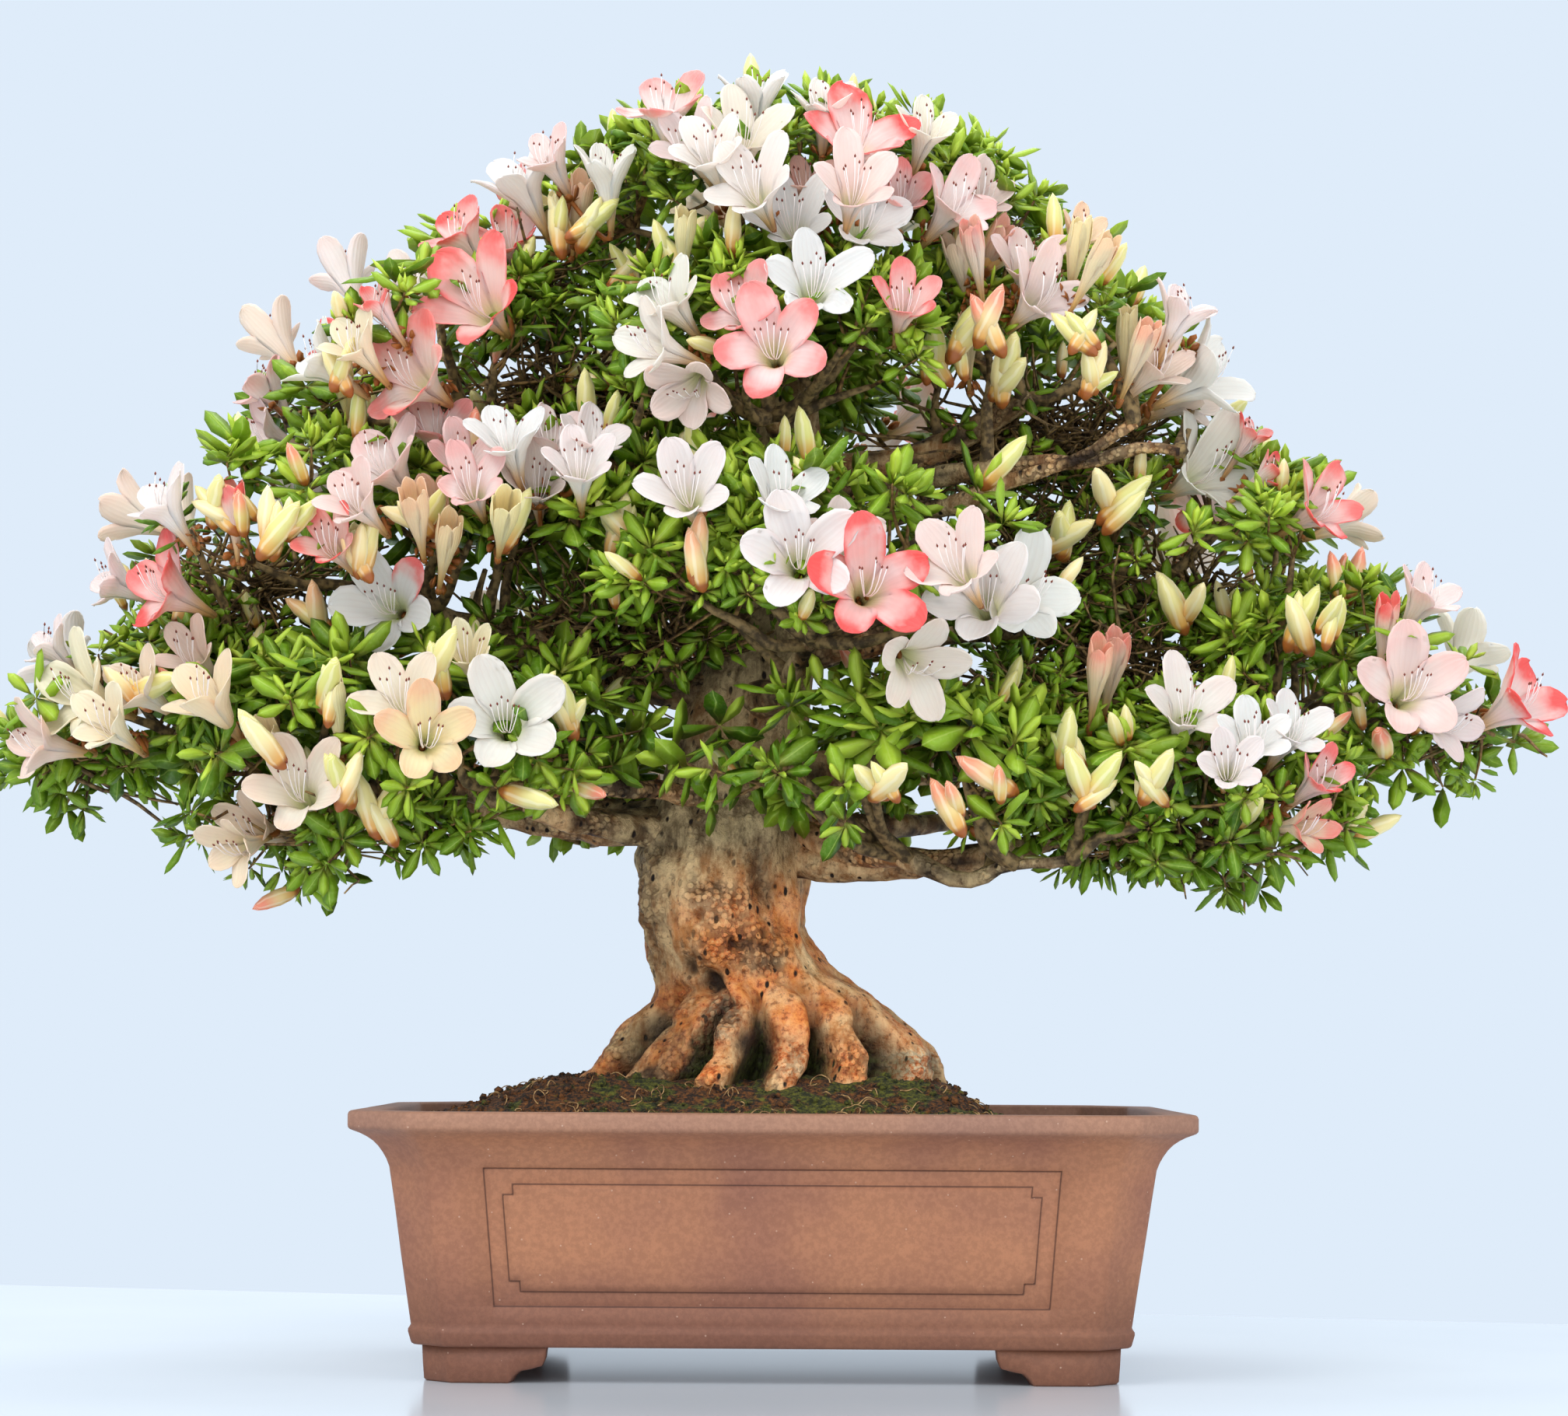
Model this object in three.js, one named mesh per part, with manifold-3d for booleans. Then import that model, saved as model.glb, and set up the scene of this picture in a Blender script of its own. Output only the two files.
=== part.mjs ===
// A satsuki azalea bonsai in flower, in its rectangular pot of unglazed clay.
// Millimetres, +Z up, the pot's long side along X and its front towards -Y.
// The pot's centre is the working origin. The finished group is moved so that
// the origin lies under the middle of the whole tree, on the surface it stands on.
import * as THREE from "three";
import { mergeVertices } from "three/addons/utils/BufferGeometryUtils.js";
import Module from "manifold-3d";

const wasm = await Module();
wasm.setup();
const { Vector3, Matrix4 } = THREE;

// Driving dimensions: the pot, a 45 cm rectangle with cut corners
const rim = { halfX: 225, halfY: 155, cut: 34, top: 142.6 };
const footHeight = 19;
// Outside of the pot from the underside up: [height, inset from the rim's half sizes, corner cut]
const potOutside = [
  [footHeight, 33.7, 19],
  [27.4, 32, 19.5],
  [29.6, 33.4, 19],
  [113, 21.5, 22],
  [124.6, 15.4, 24],
  [130.6, 8.3, 29],
  [133, 0.4, 34],
  [rim.top, 0, 34],
];
const potFloorTop = 28;
const potInside = [
  [potFloorTop, 46, 15],
  [110, 32, 17],
  [rim.top, 17, 26],
];
const drainHole = { radius: 14, offsetX: 95, sides: 12 };
// Sunk frame on each face: outer rectangle, and the panel inside it with stepped corners
const frame = { low: 40.5, high: 112.9, endMargin: 28, sunk: 1.4, lowNarrowed: 3, highWidened: 2.5 };
const panel = { inset: 9, low: 48.3, high: 104.7, step: 5.5 };
// Bracket feet: the outer length along each side, then the ogee of the inner edge
const foot = { outer: 186, outerY: 118, cut: 17, thick: 16, lengthX: 68, lengthY: 46 };
const footTaper = 2;
const footSunkIn = 1.5;
const ogee = [
  [0.41, 0],
  [0.38, 1.6],
  [0.3, 6.4],
  [0.06, 9],
  [0.02, 13],
];

// Driving dimensions: soil, gaps and the seed of every draw
const gap = 0.4;
const shortestEdge = 0.05;
const soilLevel = 133;
const soilEdgeDrop = 4;
const moundHeight = 26;
const seed = 5021;

// Driving dimensions: the trunk's rings, [height, centre x, centre y, half width, half depth]
const trunkRings = [
  [118, -4, 2, 118, 94],
  [143, -4, 2, 112, 92],
  [156, -8, 0, 95, 80],
  [172, -5, 0, 83, 70],
  [190, -3, 0, 71, 62],
  [204, -3, 0, 59, 54],
  [217, -15, 0, 52, 48],
  [233, -25, 0, 48, 45],
  [270, -30, 0, 48, 44],
  [297, -27, 0, 45, 41],
  [345, -20, 4, 38, 35],
  [410, -8, 8, 30, 28],
  [480, 0, 8, 24, 22],
  [560, 8, 4, 15, 14],
  [632, 6, 0, 7, 7],
];
// Surface roots stand out as ridges at these bearings in degrees, -90 being the front
const rootBearings = [-168, -131, -108, -82, -58, -33, -2, 30, 60, 92, 125, 157];
const rootRelief = { top: 236, low: 143, ridge: 0.1, valley: 0.2, knot: 0.035 };

// Leafy pads: one or more lumps each, [name of pad, centre, half sizes x, y, up, down]
const lumps = [
  ["foliage_crown", [2, 0, 628], 158, 108, 72, 30],
  ["foliage_crown_left", [-206, -22, 552], 90, 84, 74, 36],
  ["foliage_crown_front", [-4, -96, 538], 88, 52, 62, 40],
  ["foliage_crown_right", [166, -8, 562], 102, 92, 56, 36],
  ["foliage_middle_left", [-236, -42, 443], 134, 84, 56, 36],
  ["foliage_middle_left", [-122, -58, 452], 74, 60, 56, 36],
  ["foliage_middle_front", [24, -112, 414], 116, 58, 74, 46],
  ["foliage_middle_right", [238, 24, 452], 98, 92, 54, 38],
  ["foliage_low_left", [-346, -28, 350], 72, 58, 40, 28],
  ["foliage_low_left", [-200, -84, 334], 114, 66, 50, 46],
  ["foliage_low_right", [56, -98, 318], 92, 52, 44, 34],
  ["foliage_low_right", [214, -64, 312], 92, 66, 42, 34],
  ["foliage_far_right", [330, 10, 376], 92, 76, 50, 38],
  ["foliage_back_upper", [-10, 116, 514], 122, 60, 60, 48],
  ["foliage_back_upper", [-40, 124, 408], 134, 62, 64, 36],
  ["foliage_back_low", [-196, 92, 330], 106, 66, 44, 34],
  ["foliage_back_low", [-36, 128, 304], 104, 52, 42, 32],
  ["foliage_back_low", [134, 114, 324], 122, 62, 46, 36],
];
const lumpSides = 8;
const lumpElevations = [-58, -20, 14, 44, 70];
// Leaf tips stand out of the lumps' skin, and hollows lie between them, in mm
const leafTip = { rise: 15, lean: 0.34, hollow: 3 };

// Main branches: [index of the lump it feeds, height on the trunk, radius there, sag of its middle]
const branches = [
  [1, 470, 13, -6],
  [2, 490, 10, 4],
  [3, 500, 13, -12],
  [4, 372, 15, -4],
  [6, 370, 12, -8],
  [7, 400, 13, 0],
  [8, 300, 14, -14],
  [9, 296, 13, -10],
  [11, 282, 15, -18],
  [12, 330, 14, -6],
  [14, 400, 12, -4],
  [15, 310, 13, -8],
  [17, 305, 13, -8],
];
// A branch ends this share of the way to the pad's heart, after a bend on the way
const branchForm = { reach: 0.86, bendAt: 0.55, bendClimb: 0.35, heartDrop: 0.3, taper: 0.45 };
const branchGrid = { sides: 5, steps: 3 };

// Leaf rosettes and buds: how many to a square metre of pad, and their real sizes
const rosette = { perM2: 84, leaf: 31, width: 14, stalk: 14 };
const spindle = { perM2: 62, length: 32, radius: 4.8 };

// Where the photograph was taken from, so that a bloom can be placed by its pixel in it
const view = { x: 4.5, y: -2118, z: 183, focal: 4838, pitch: 4.98, roll: 0.35, midX: 1008, midY: 910.5 };

// Blooms in bunches that share a bud. Each: [pixel x, pixel y, turn to the right, tilt up,
// reach of its lobes in mm, how far open]. Turn and tilt are degrees, 0, 0 facing the front.
const bunches = [
  ["pink", [[855, 136, -10, 55, 25, 0.8]]],
  ["white", [[958, 171, 10, 40, 27, 0.8], [912, 197, -20, 30, 24, 0.7], [973, 119, 0, 75, 24, 0.6]]],
  ["pink", [[1104, 176, 15, 35, 29, 0.9]]],
  ["white", [[781, 222, -10, 70, 26, 0.5], [670, 237, -55, 55, 27, 0.7]]],
  ["pink", [[615, 388, -25, 5, 30, 0.9], [590, 297, -45, 40, 22, 0.8], [655, 302, -15, 40, 22, 0.7]]],
  ["pink", [[484, 388, -50, 45, 18, 0.35]]],
  ["pink", [[529, 484, -35, 0, 29, 0.9]]],
  ["white", [[408, 464, -75, 25, 24, 0.7]]],
  ["white", [[338, 494, -65, 45, 22, 0.7], [333, 559, -60, -5, 23, 0.8]]],
  ["white", [[1048, 363, 8, 5, 27, 0.9]]],
  ["pink", [[953, 393, -30, 20, 24, 0.8], [993, 444, -5, -5, 28, 0.9]]],
  ["pink", [[1164, 388, 10, 25, 22, 0.6]]],
  ["white", [[857, 383, -45, 30, 24, 0.8], [837, 444, -60, -5, 24, 0.8], [887, 504, -20, -40, 24, 0.8]]],
  ["white", [[1018, 282, -10, 20, 27, 0.8], [1114, 282, 20, 15, 27, 0.8], [1038, 232, 0, 45, 20, 0.7]]],
  ["white", [[1230, 262, 40, 25, 26, 0.8]]],
  ["white", [[1341, 378, 35, 15, 28, 0.8]]],
  ["white", [[1552, 484, 70, 15, 30, 0.8], [1522, 398, 60, 60, 22, 0.7]]],
  ["white", [[1552, 605, 45, 5, 31, 0.9]]],
  ["pink", [[1613, 554, 60, 50, 15, 0.5], [1638, 605, 60, 20, 15, 0.5], [1704, 650, 50, 10, 24, 0.8]]],
  ["white", [[494, 595, -40, 30, 28, 0.8], [595, 590, 0, 30, 24, 0.6]]],
  ["white", [[655, 564, -15, 45, 25, 0.7], [711, 564, 5, 50, 23, 0.6], [761, 564, 30, 45, 22, 0.7]]],
  ["white", [[882, 630, -10, 10, 27, 0.8]]],
  ["white", [[1008, 635, 20, 35, 27, 0.7], [1028, 716, 0, -5, 31, 0.9]]],
  ["pink", [[1119, 751, 10, -5, 30, 0.9]]],
  ["white", [[1179, 857, 25, -30, 28, 0.8]]],
  ["white", [[1265, 766, -10, 5, 31, 0.9], [1320, 766, 30, -5, 30, 0.9]]],
  ["white", [[499, 776, -10, -10, 29, 0.9]]],
  ["pink", [[423, 696, -20, 10, 21, 0.6]]],
  ["pink", [[207, 756, -55, 5, 27, 0.9], [141, 746, -75, 10, 22, 0.7]]],
  ["white", [[207, 645, -50, 45, 24, 0.7]]],
  ["white", [[60, 827, -70, 40, 18, 0.7], [101, 892, -55, 0, 29, 0.8]]],
  ["white", [[45, 958, -60, -10, 25, 0.8]]],
  ["white", [[267, 897, -40, 35, 27, 0.7]]],
  ["white", [[514, 897, -15, 20, 27, 0.8], [549, 948, 10, -10, 27, 0.8]]],
  ["white", [[650, 927, 0, -5, 29, 1.0]]],
  ["white", [[383, 1013, -10, 5, 28, 0.8], [323, 1068, -40, -10, 24, 0.6]]],
  ["white", [[1527, 912, 10, 30, 26, 0.8], [1613, 948, 10, 25, 23, 0.7], [1663, 937, 25, 30, 24, 0.7]]],
  ["white", [[1814, 887, 10, -5, 31, 0.9], [1865, 932, 40, -20, 22, 0.8]]],
  ["pink", [[1956, 902, 55, 15, 28, 0.8]]],
  ["white", [[1835, 766, 40, 40, 24, 0.7]]],
  ["pink", [[1683, 1063, 40, -15, 20, 0.5]]],
];
const bloomTube = 27;
const petalWall = 1.3;
const budScale = { radius: 4, seat: 1 };
// Radii as shares of the lobes' spread, and the turn of a lobe's shoulders from its middle
const lobe = { notch: 0.4, shoulder: 0.74, throat: 0.3, shoulderTurn: 27 };
// Blooms of the unseen back: how many bunches of two stand on each lump that faces away
const backBunches = { perLump: 1, lumps: [13, 14, 15, 17], tilt: 24, reach: 26, open: 0.85 };

// Colours and finishes
const finishes = {
  clay: { color: "#9c6450", roughness: 0.75 },
  earth: { color: "#3a2a1c", roughness: 1 },
  bark: { color: "#8a6a4c", roughness: 0.85 },
  leaf: { color: "#4f8a35", roughness: 0.5 },
  white: { color: "#f7eeea", roughness: 0.6 },
  pink: { color: "#f39a90", roughness: 0.6 },
};

// Repeatable draws between two values, the same at every run
function drawer(start) {
  let state = start >>> 0;
  return (low, high) => {
    state = (state + 0x6d2b79f5) >>> 0;
    let t = Math.imul(state ^ (state >>> 15), 1 | state);
    t = (t + Math.imul(t ^ (t >>> 7), 61 | t)) ^ t;
    return low + ((high - low) * ((t ^ (t >>> 14)) >>> 0)) / 4294967296;
  };
}

const radians = THREE.MathUtils.degToRad;
const smooth = THREE.MathUtils.smoothstep;

// A closed solid from points and triangles of point numbers
function closed(points, triangles) {
  const vertProperties = new Float32Array(points.flatMap((p) => [p.x, p.y, p.z]));
  const triVerts = new Uint32Array(triangles.flat());
  return new wasm.Manifold(new wasm.Mesh({ numProp: 3, vertProperties, triVerts }));
}

// A solid from a three.js geometry, placed by a matrix, turned back where the matrix mirrors
function solidOf(geometry, matrix = new Matrix4()) {
  const bare = geometry.clone();
  bare.deleteAttribute("normal");
  bare.deleteAttribute("uv");
  const merged = mergeVertices(bare.applyMatrix4(matrix), 1e-4);
  const at = merged.getAttribute("position");
  const points = Array.from({ length: at.count }, (_, i) => new Vector3().fromBufferAttribute(at, i));
  const index = Array.from(merged.index.array);
  const triangles = [];
  for (let i = 0; i < index.length; i += 3) {
    const [a, b, c] = index.slice(i, i + 3);
    triangles.push(matrix.determinant() < 0 ? [a, c, b] : [a, b, c]);
  }
  return closed(points, triangles);
}

// The shortest edge below the limit that can close: its ends share exactly two neighbours,
// so that closing it leaves the skin whole
function findShortEdge(points, triangles) {
  const around = points.map(() => new Set());
  triangles.forEach(([a, b, c]) => {
    around[a].add(b).add(c);
    around[b].add(a).add(c);
    around[c].add(a).add(b);
  });
  let best = null;
  triangles.forEach((triangle) => {
    triangle.forEach((a, k) => {
      const b = triangle[(k + 1) % 3];
      const length = points[a].distanceTo(points[b]);
      if (a > b || length > (best ? best.length : shortestEdge)) return;
      if ([...around[a]].filter((n) => around[b].has(n)).length === 2) best = { a, b, length };
    });
  });
  return best;
}

// A solid with its short edges closed one by one, so that its cuts leave no slivers
function closeShortEdges(solid) {
  const { vertProperties, triVerts, numProp } = solid.getMesh();
  const points = [];
  for (let i = 0; i < vertProperties.length; i += numProp) {
    points.push(new Vector3(vertProperties[i], vertProperties[i + 1], vertProperties[i + 2]));
  }
  let triangles = [];
  for (let i = 0; i < triVerts.length; i += 3) triangles.push([...triVerts.slice(i, i + 3)]);
  for (let edge = findShortEdge(points, triangles); edge; edge = findShortEdge(points, triangles)) {
    const { a, b } = edge;
    triangles = triangles
      .filter((triangle) => !(triangle.includes(a) && triangle.includes(b)))
      .map((triangle) => triangle.map((n) => (n === b ? a : n)));
  }
  const used = [...new Set(triangles.flat())];
  const place = new Map(used.map((n, i) => [n, i]));
  return closed(
    used.map((n) => points[n]),
    triangles.map((triangle) => triangle.map((n) => place.get(n))),
  );
}

// A named mesh of a solid, in the colour and finish of its material
function meshOf(name, solid, finish) {
  const made = closeShortEdges(solid).getMesh();
  const geometry = new THREE.BufferGeometry();
  geometry.setAttribute("position", new THREE.BufferAttribute(made.vertProperties, 3));
  geometry.setIndex(new THREE.BufferAttribute(made.triVerts, 1));
  geometry.computeVertexNormals();
  const material = new THREE.MeshStandardMaterial({ ...finishes[finish], metalness: 0 });
  const mesh = new THREE.Mesh(geometry, material);
  mesh.name = name;
  return mesh;
}

// The largest body of a solid: what a cut leaves loose is dropped
function largest(solid) {
  return solid.decompose().reduce((a, b) => (a.volume() > b.volume() ? a : b));
}

// A skin over rings of equal count, from the lowest to the highest, closed at both ends.
// The end rings are fanned about their own centres.
function loft(rings) {
  const count = rings[0].length;
  const points = rings.flat();
  const centre = (ring) => ring.reduce((sum, p) => sum.add(p), new Vector3()).divideScalar(count);
  const low = points.push(centre(rings[0])) - 1;
  const high = points.push(centre(rings.at(-1))) - 1;
  const last = (rings.length - 1) * count;
  const triangles = [];
  for (let i = 0; i < count; i++) {
    const next = (i + 1) % count;
    triangles.push([low, next, i], [high, last + i, last + next]);
    for (let k = 0; k < last; k += count) {
      triangles.push([k + i, k + next, k + count + next], [k + i, k + count + next, k + count + i]);
    }
  }
  return closed(points, triangles);
}

// The plan of the pot at one height: a rectangle with cut corners, run anticlockwise
function cutRectangle(halfX, halfY, cut, z) {
  const corners = [
    [halfX - cut, -halfY],
    [halfX, cut - halfY],
    [halfX, halfY - cut],
    [halfX - cut, halfY],
    [cut - halfX, halfY],
    [-halfX, halfY - cut],
    [-halfX, cut - halfY],
    [cut - halfX, -halfY],
  ];
  return corners.map(([x, y]) => new Vector3(x, y, z));
}

const potRing = ([z, inset, cut], slack = 0) =>
  cutRectangle(rim.halfX - inset - slack, rim.halfY - inset - slack, cut, z);

// The sunk frame of one face: a rectangle with the stepped panel left standing in it
function frameBand(halfFlat) {
  const share = (z) => (z - frame.low) / (frame.high - frame.low);
  const lean = (z) => frame.highWidened * share(z) - frame.lowNarrowed * (1 - share(z));
  const wide = (z) => halfFlat - frame.endMargin + lean(z);
  const outline = new THREE.Shape();
  outline.moveTo(-wide(frame.low), frame.low);
  outline.lineTo(wide(frame.low), frame.low);
  outline.lineTo(wide(frame.high), frame.high);
  outline.lineTo(-wide(frame.high), frame.high);
  const side = (z) => wide(z) - panel.inset;
  const { low, high, step } = panel;
  const right = [
    [side(low) - step, low],
    [side(low) - step, low + step],
    [side(low), low + step],
    [side(high), high - step],
    [side(high) - step, high - step],
    [side(high) - step, high],
  ];
  const left = right.map(([x, z]) => [-x, z]).reverse();
  outline.holes.push(new THREE.Path([...right, ...left].map(([x, z]) => new THREE.Vector2(x, z))));
  return new THREE.ExtrudeGeometry(outline, { depth: 2 * frame.sunk + 2, bevelEnabled: false });
}

// The four frames, each laid in its sloping face
function sinkFrames(pot) {
  const [lowZ, lowInset, lowCut] = potOutside[2];
  const [highZ, highInset, highCut] = potOutside[3];
  const slope = Math.atan2(lowInset - highInset, highZ - lowZ);
  const faces = [
    [rim.halfX, rim.halfY, 0],
    [rim.halfY, rim.halfX, 90],
    [rim.halfX, rim.halfY, 180],
    [rim.halfY, rim.halfX, 270],
  ];
  for (const [along, across, turn] of faces) {
    const flat = along - (lowInset + highInset + lowCut + highCut) / 2;
    const middle = (frame.low + frame.high) / 2;
    const inset = lowInset + ((highInset - lowInset) * (middle - lowZ)) / (highZ - lowZ);
    const place = new Matrix4()
      .makeRotationZ(radians(turn))
      .multiply(new Matrix4().makeTranslation(0, inset - across + frame.sunk, middle))
      .multiply(new Matrix4().makeRotationX(slope))
      .multiply(new Matrix4().makeRotationX(Math.PI / 2))
      .multiply(new Matrix4().makeTranslation(0, -middle, 0));
    pot = pot.subtract(solidOf(frameBand(flat), place));
  }
  return pot;
}

// One bracket foot under the corner at +x, -y: two ogee brackets that meet at the cut corner
function bracketFoot() {
  const top = footHeight + footSunkIn;
  const bracket = (outer, length) => {
    const shape = new THREE.Shape();
    shape.moveTo(outer, 0);
    shape.lineTo(outer, top);
    shape.lineTo(outer - length, top);
    for (const [part, z] of [...ogee].reverse()) {
      shape.lineTo(outer - length * (1 - part), z);
    }
    return new THREE.ExtrudeGeometry(shape, { depth: foot.thick, bevelEnabled: false });
  };
  const upright = new Matrix4().makeRotationX(Math.PI / 2);
  const front = new Matrix4().makeTranslation(0, foot.thick - foot.outerY, 0).multiply(upright);
  const side = new Matrix4()
    .makeTranslation(foot.outer - foot.thick, 0, 0)
    .multiply(new Matrix4().makeRotationZ(-Math.PI / 2))
    .multiply(upright);
  const corner = loft([
    cutRectangle(foot.outer - footTaper, foot.outerY - footTaper, foot.cut, 0),
    cutRectangle(foot.outer, foot.outerY, foot.cut, top),
  ]);
  return solidOf(bracket(foot.outer, foot.lengthX), front)
    .add(solidOf(bracket(foot.outerY, foot.lengthY), side))
    .intersect(corner);
}

// The pot, one fired piece: walls and floor, sunk frames, drain holes and four feet
function makePot() {
  const [, topInset, topCut] = potInside.at(-1);
  const pastRim = [rim.top + 2, topInset - 0.6, topCut];
  const hollow = loft([...potInside, pastRim].map((ring) => potRing(ring)));
  let pot = sinkFrames(loft(potOutside.map((ring) => potRing(ring))).subtract(hollow));
  const { radius, sides } = drainHole;
  const drain = new THREE.CylinderGeometry(radius, radius, 3 * (potFloorTop - footHeight), sides);
  for (const side of [-1, 1]) {
    const place = new Matrix4()
      .makeTranslation(side * drainHole.offsetX, 0, (potFloorTop + footHeight) / 2)
      .multiply(new Matrix4().makeRotationX(Math.PI / 2));
    pot = pot.subtract(solidOf(drain, place));
  }
  const one = meshOf("foot", bracketFoot(), "clay").geometry;
  for (const x of [-1, 1]) {
    for (const y of [-1, 1]) {
      pot = pot.add(solidOf(one, new Matrix4().makeScale(x, y, 1)));
    }
  }
  return pot;
}

// Height of the soil: a level bed with a broad mound round the trunk, lower to the right
function soilHeight(x, y) {
  const left = smooth(x, -212, -105);
  const right = 1 - smooth(x, 84, 138);
  const depth = 1 - 0.75 * smooth(Math.abs(y), 62, 128);
  const grain = 1.2 * Math.sin(x / 11 + y / 17) * Math.sin(y / 9 - x / 23);
  return soilLevel + moundHeight * left * right * depth + grain;
}

// The soil, filling the pot inside its gap, with a pocket for the roots
function makeSoil(roots) {
  const [bottom, middle, top] = potInside;
  const share = (soilLevel - soilEdgeDrop - middle[0]) / (top[0] - middle[0]);
  const edge = middle.map((value, i) => value + (top[i] - value) * share);
  // a cut corner is one step long, a short side three and a long side five
  const steps = [1, 3, 1, 5, 1, 3, 1, 5];
  const ringOf = (ring) => {
    const corners = potRing(ring, gap);
    return corners.flatMap((p, i) => {
      const next = corners[(i + 1) % corners.length];
      return Array.from({ length: steps[i] }, (_, k) => p.clone().lerp(next, k / steps[i]));
    });
  };
  const rings = [ringOf([bottom[0] + gap, bottom[1], bottom[2]]), ringOf(middle), ringOf(edge)];
  for (const scale of [0.8, 0.56, 0.28]) {
    rings.push(
      ringOf(edge).map((p) => {
        const [x, y] = [p.x * scale, p.y * scale];
        return new Vector3(x, y, soilHeight(x, y));
      }),
    );
  }
  return loft(rings).subtract(roots);
}

// Values of the trunk's rings at a height, found between the rings
function trunkAt(z) {
  const upper = Math.max(1, trunkRings.findIndex((ring) => ring[0] >= z));
  const [a, b] = [trunkRings[upper - 1], trunkRings[upper]];
  const share = (z - a[0]) / (b[0] - a[0]);
  return a.map((value, i) => value + (b[i] - value) * share);
}

// The trunk's ridges and hollows: roots stand out low down and fade into the trunk above
function trunk(grow) {
  const bearings = rootBearings.flatMap((ridge, i) => {
    const next = i + 1 < rootBearings.length ? rootBearings[i + 1] : rootBearings[0] + 360;
    return [ridge, (ridge + next) / 2];
  });
  const rings = trunkRings.map(([z, cx, cy, halfX, halfY], k) =>
    bearings.map((bearing, i) => {
      const low = 1 - smooth(z, rootRelief.low, rootRelief.top);
      const knot = rootRelief.knot * Math.sin(k * 2.3 + i * 1.9);
      const relief = 1 + knot + low * (i % 2 ? -rootRelief.valley : rootRelief.ridge);
      const [c, s] = [Math.cos(radians(bearing)), Math.sin(radians(bearing))];
      return new Vector3(cx + (halfX * relief + grow) * c, cy + (halfY * relief + grow) * s, z);
    }),
  );
  rings[0].forEach((p) => (p.z -= grow));
  rings.at(-1).forEach((p) => (p.z += grow));
  return loft(rings);
}

// A round limb along a path: rings square to it, from one radius to another
function limb(path, startRadius, endRadius, sides, steps) {
  const rings = Array.from({ length: steps + 1 }, (_, k) => {
    const t = k / steps;
    const along = path.getTangentAt(t);
    const across = new Vector3(0, 0, 1).cross(along).normalize();
    const up = along.clone().cross(across);
    const radius = startRadius + (endRadius - startRadius) * t;
    return Array.from({ length: sides }, (_, i) => {
      const angle = (2 * Math.PI * i) / sides;
      return path
        .getPointAt(t)
        .addScaledVector(across, radius * Math.cos(angle))
        .addScaledVector(up, radius * Math.sin(angle));
    });
  });
  return loft(rings);
}

// A main branch from the trunk's middle into the lump it feeds
function branch([lump, height, radius, sag], grow) {
  const [, cx, cy] = trunkAt(height);
  const start = new Vector3(cx, cy, height);
  const [, centre, , , , down] = lumps[lump];
  const heart = new Vector3(...centre).sub(new Vector3(0, 0, down * branchForm.heartDrop));
  const end = start.clone().lerp(heart, branchForm.reach);
  const bend = start.clone().lerp(end, branchForm.bendAt);
  bend.z = start.z + (end.z - start.z) * branchForm.bendClimb + sag;
  end.add(end.clone().sub(bend).setLength(grow));
  const path = new THREE.QuadraticBezierCurve3(start, bend, end);
  const tip = radius * branchForm.taper;
  return limb(path, radius + grow, tip + grow, branchGrid.sides, branchGrid.steps);
}

// Trunk, roots and main branches, grown as one piece. grow widens it all for clearance cuts.
function wood(grow = 0) {
  return branches.reduce((all, one) => all.add(branch(one, grow)), trunk(grow));
}

// A point on a lump: a flattened ball with a waved outline, flatter below than above
function lumpPoint([, centre, halfX, halfY, up, down], bearing, elevation) {
  const phase = centre[0] * 0.05 + centre[2] * 0.03;
  const wave =
    1 + 0.07 * Math.sin(3 * bearing + phase) + 0.05 * Math.sin(5 * bearing + 2 * phase + 3 * elevation);
  const flat = wave * Math.cos(elevation);
  return new Vector3(
    centre[0] + halfX * flat * Math.cos(bearing),
    centre[1] + halfY * flat * Math.sin(bearing),
    centre[2] + (elevation > 0 ? up : down) * Math.sin(elevation),
  );
}

// Corner points and triangles of a lump: rings at set elevations, closed by a point at each end.
// Each cell between two rings is a leaf tip: a point raised off the skin that leans up or aside.
function lumpFaces(lump) {
  const centre = new Vector3(...lump[1]);
  const inward = (p) => p.add(centre.clone().sub(p).setLength(leafTip.hollow));
  const step = (2 * Math.PI) / lumpSides;
  const points = lumpElevations.flatMap((elevation, k) =>
    Array.from({ length: lumpSides }, (_, i) =>
      inward(lumpPoint(lump, (i + (k % 2) / 2) * step, radians(elevation))),
    ),
  );
  const low = points.push(lumpPoint(lump, 0, -Math.PI / 2)) - 1;
  const high = points.push(lumpPoint(lump, 0, Math.PI / 2)) - 1;
  const last = (lumpElevations.length - 1) * lumpSides;
  const triangles = [];
  for (let i = 0; i < lumpSides; i++) {
    const next = (i + 1) % lumpSides;
    triangles.push([low, next, i], [high, last + i, last + next]);
    for (let k = 0; k < lumpElevations.length - 1; k++) {
      const [a, b] = [k * lumpSides + i, k * lumpSides + next];
      // every other ring is turned half a cell, so from an odd ring the cell leans one step on
      const [above, aboveNext] = [i, next].map((n) => (k + 1) * lumpSides + ((n + (k % 2)) % lumpSides));
      const cell = [a, b, aboveNext, above];
      const middle = cell.reduce((sum, n) => sum.add(points[n]), new Vector3()).divideScalar(4);
      const out = middle.clone().sub(centre).normalize();
      const rise = leafTip.rise * (k === 0 ? 0.45 : 1) * (1 + 0.35 * Math.sin(7 * i + 5 * k));
      const aside = points[b].clone().sub(points[a]).multiplyScalar(leafTip.lean * Math.sin(3 * i + 4 * k));
      const upward = points[above].clone().sub(points[a]).multiplyScalar(leafTip.lean * 0.8);
      const tip = points.push(middle.addScaledVector(out, rise).add(aside).add(upward)) - 1;
      cell.forEach((n, m) => triangles.push([n, cell[(m + 1) % 4], tip]));
    }
  }
  return { points, triangles };
}

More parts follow.
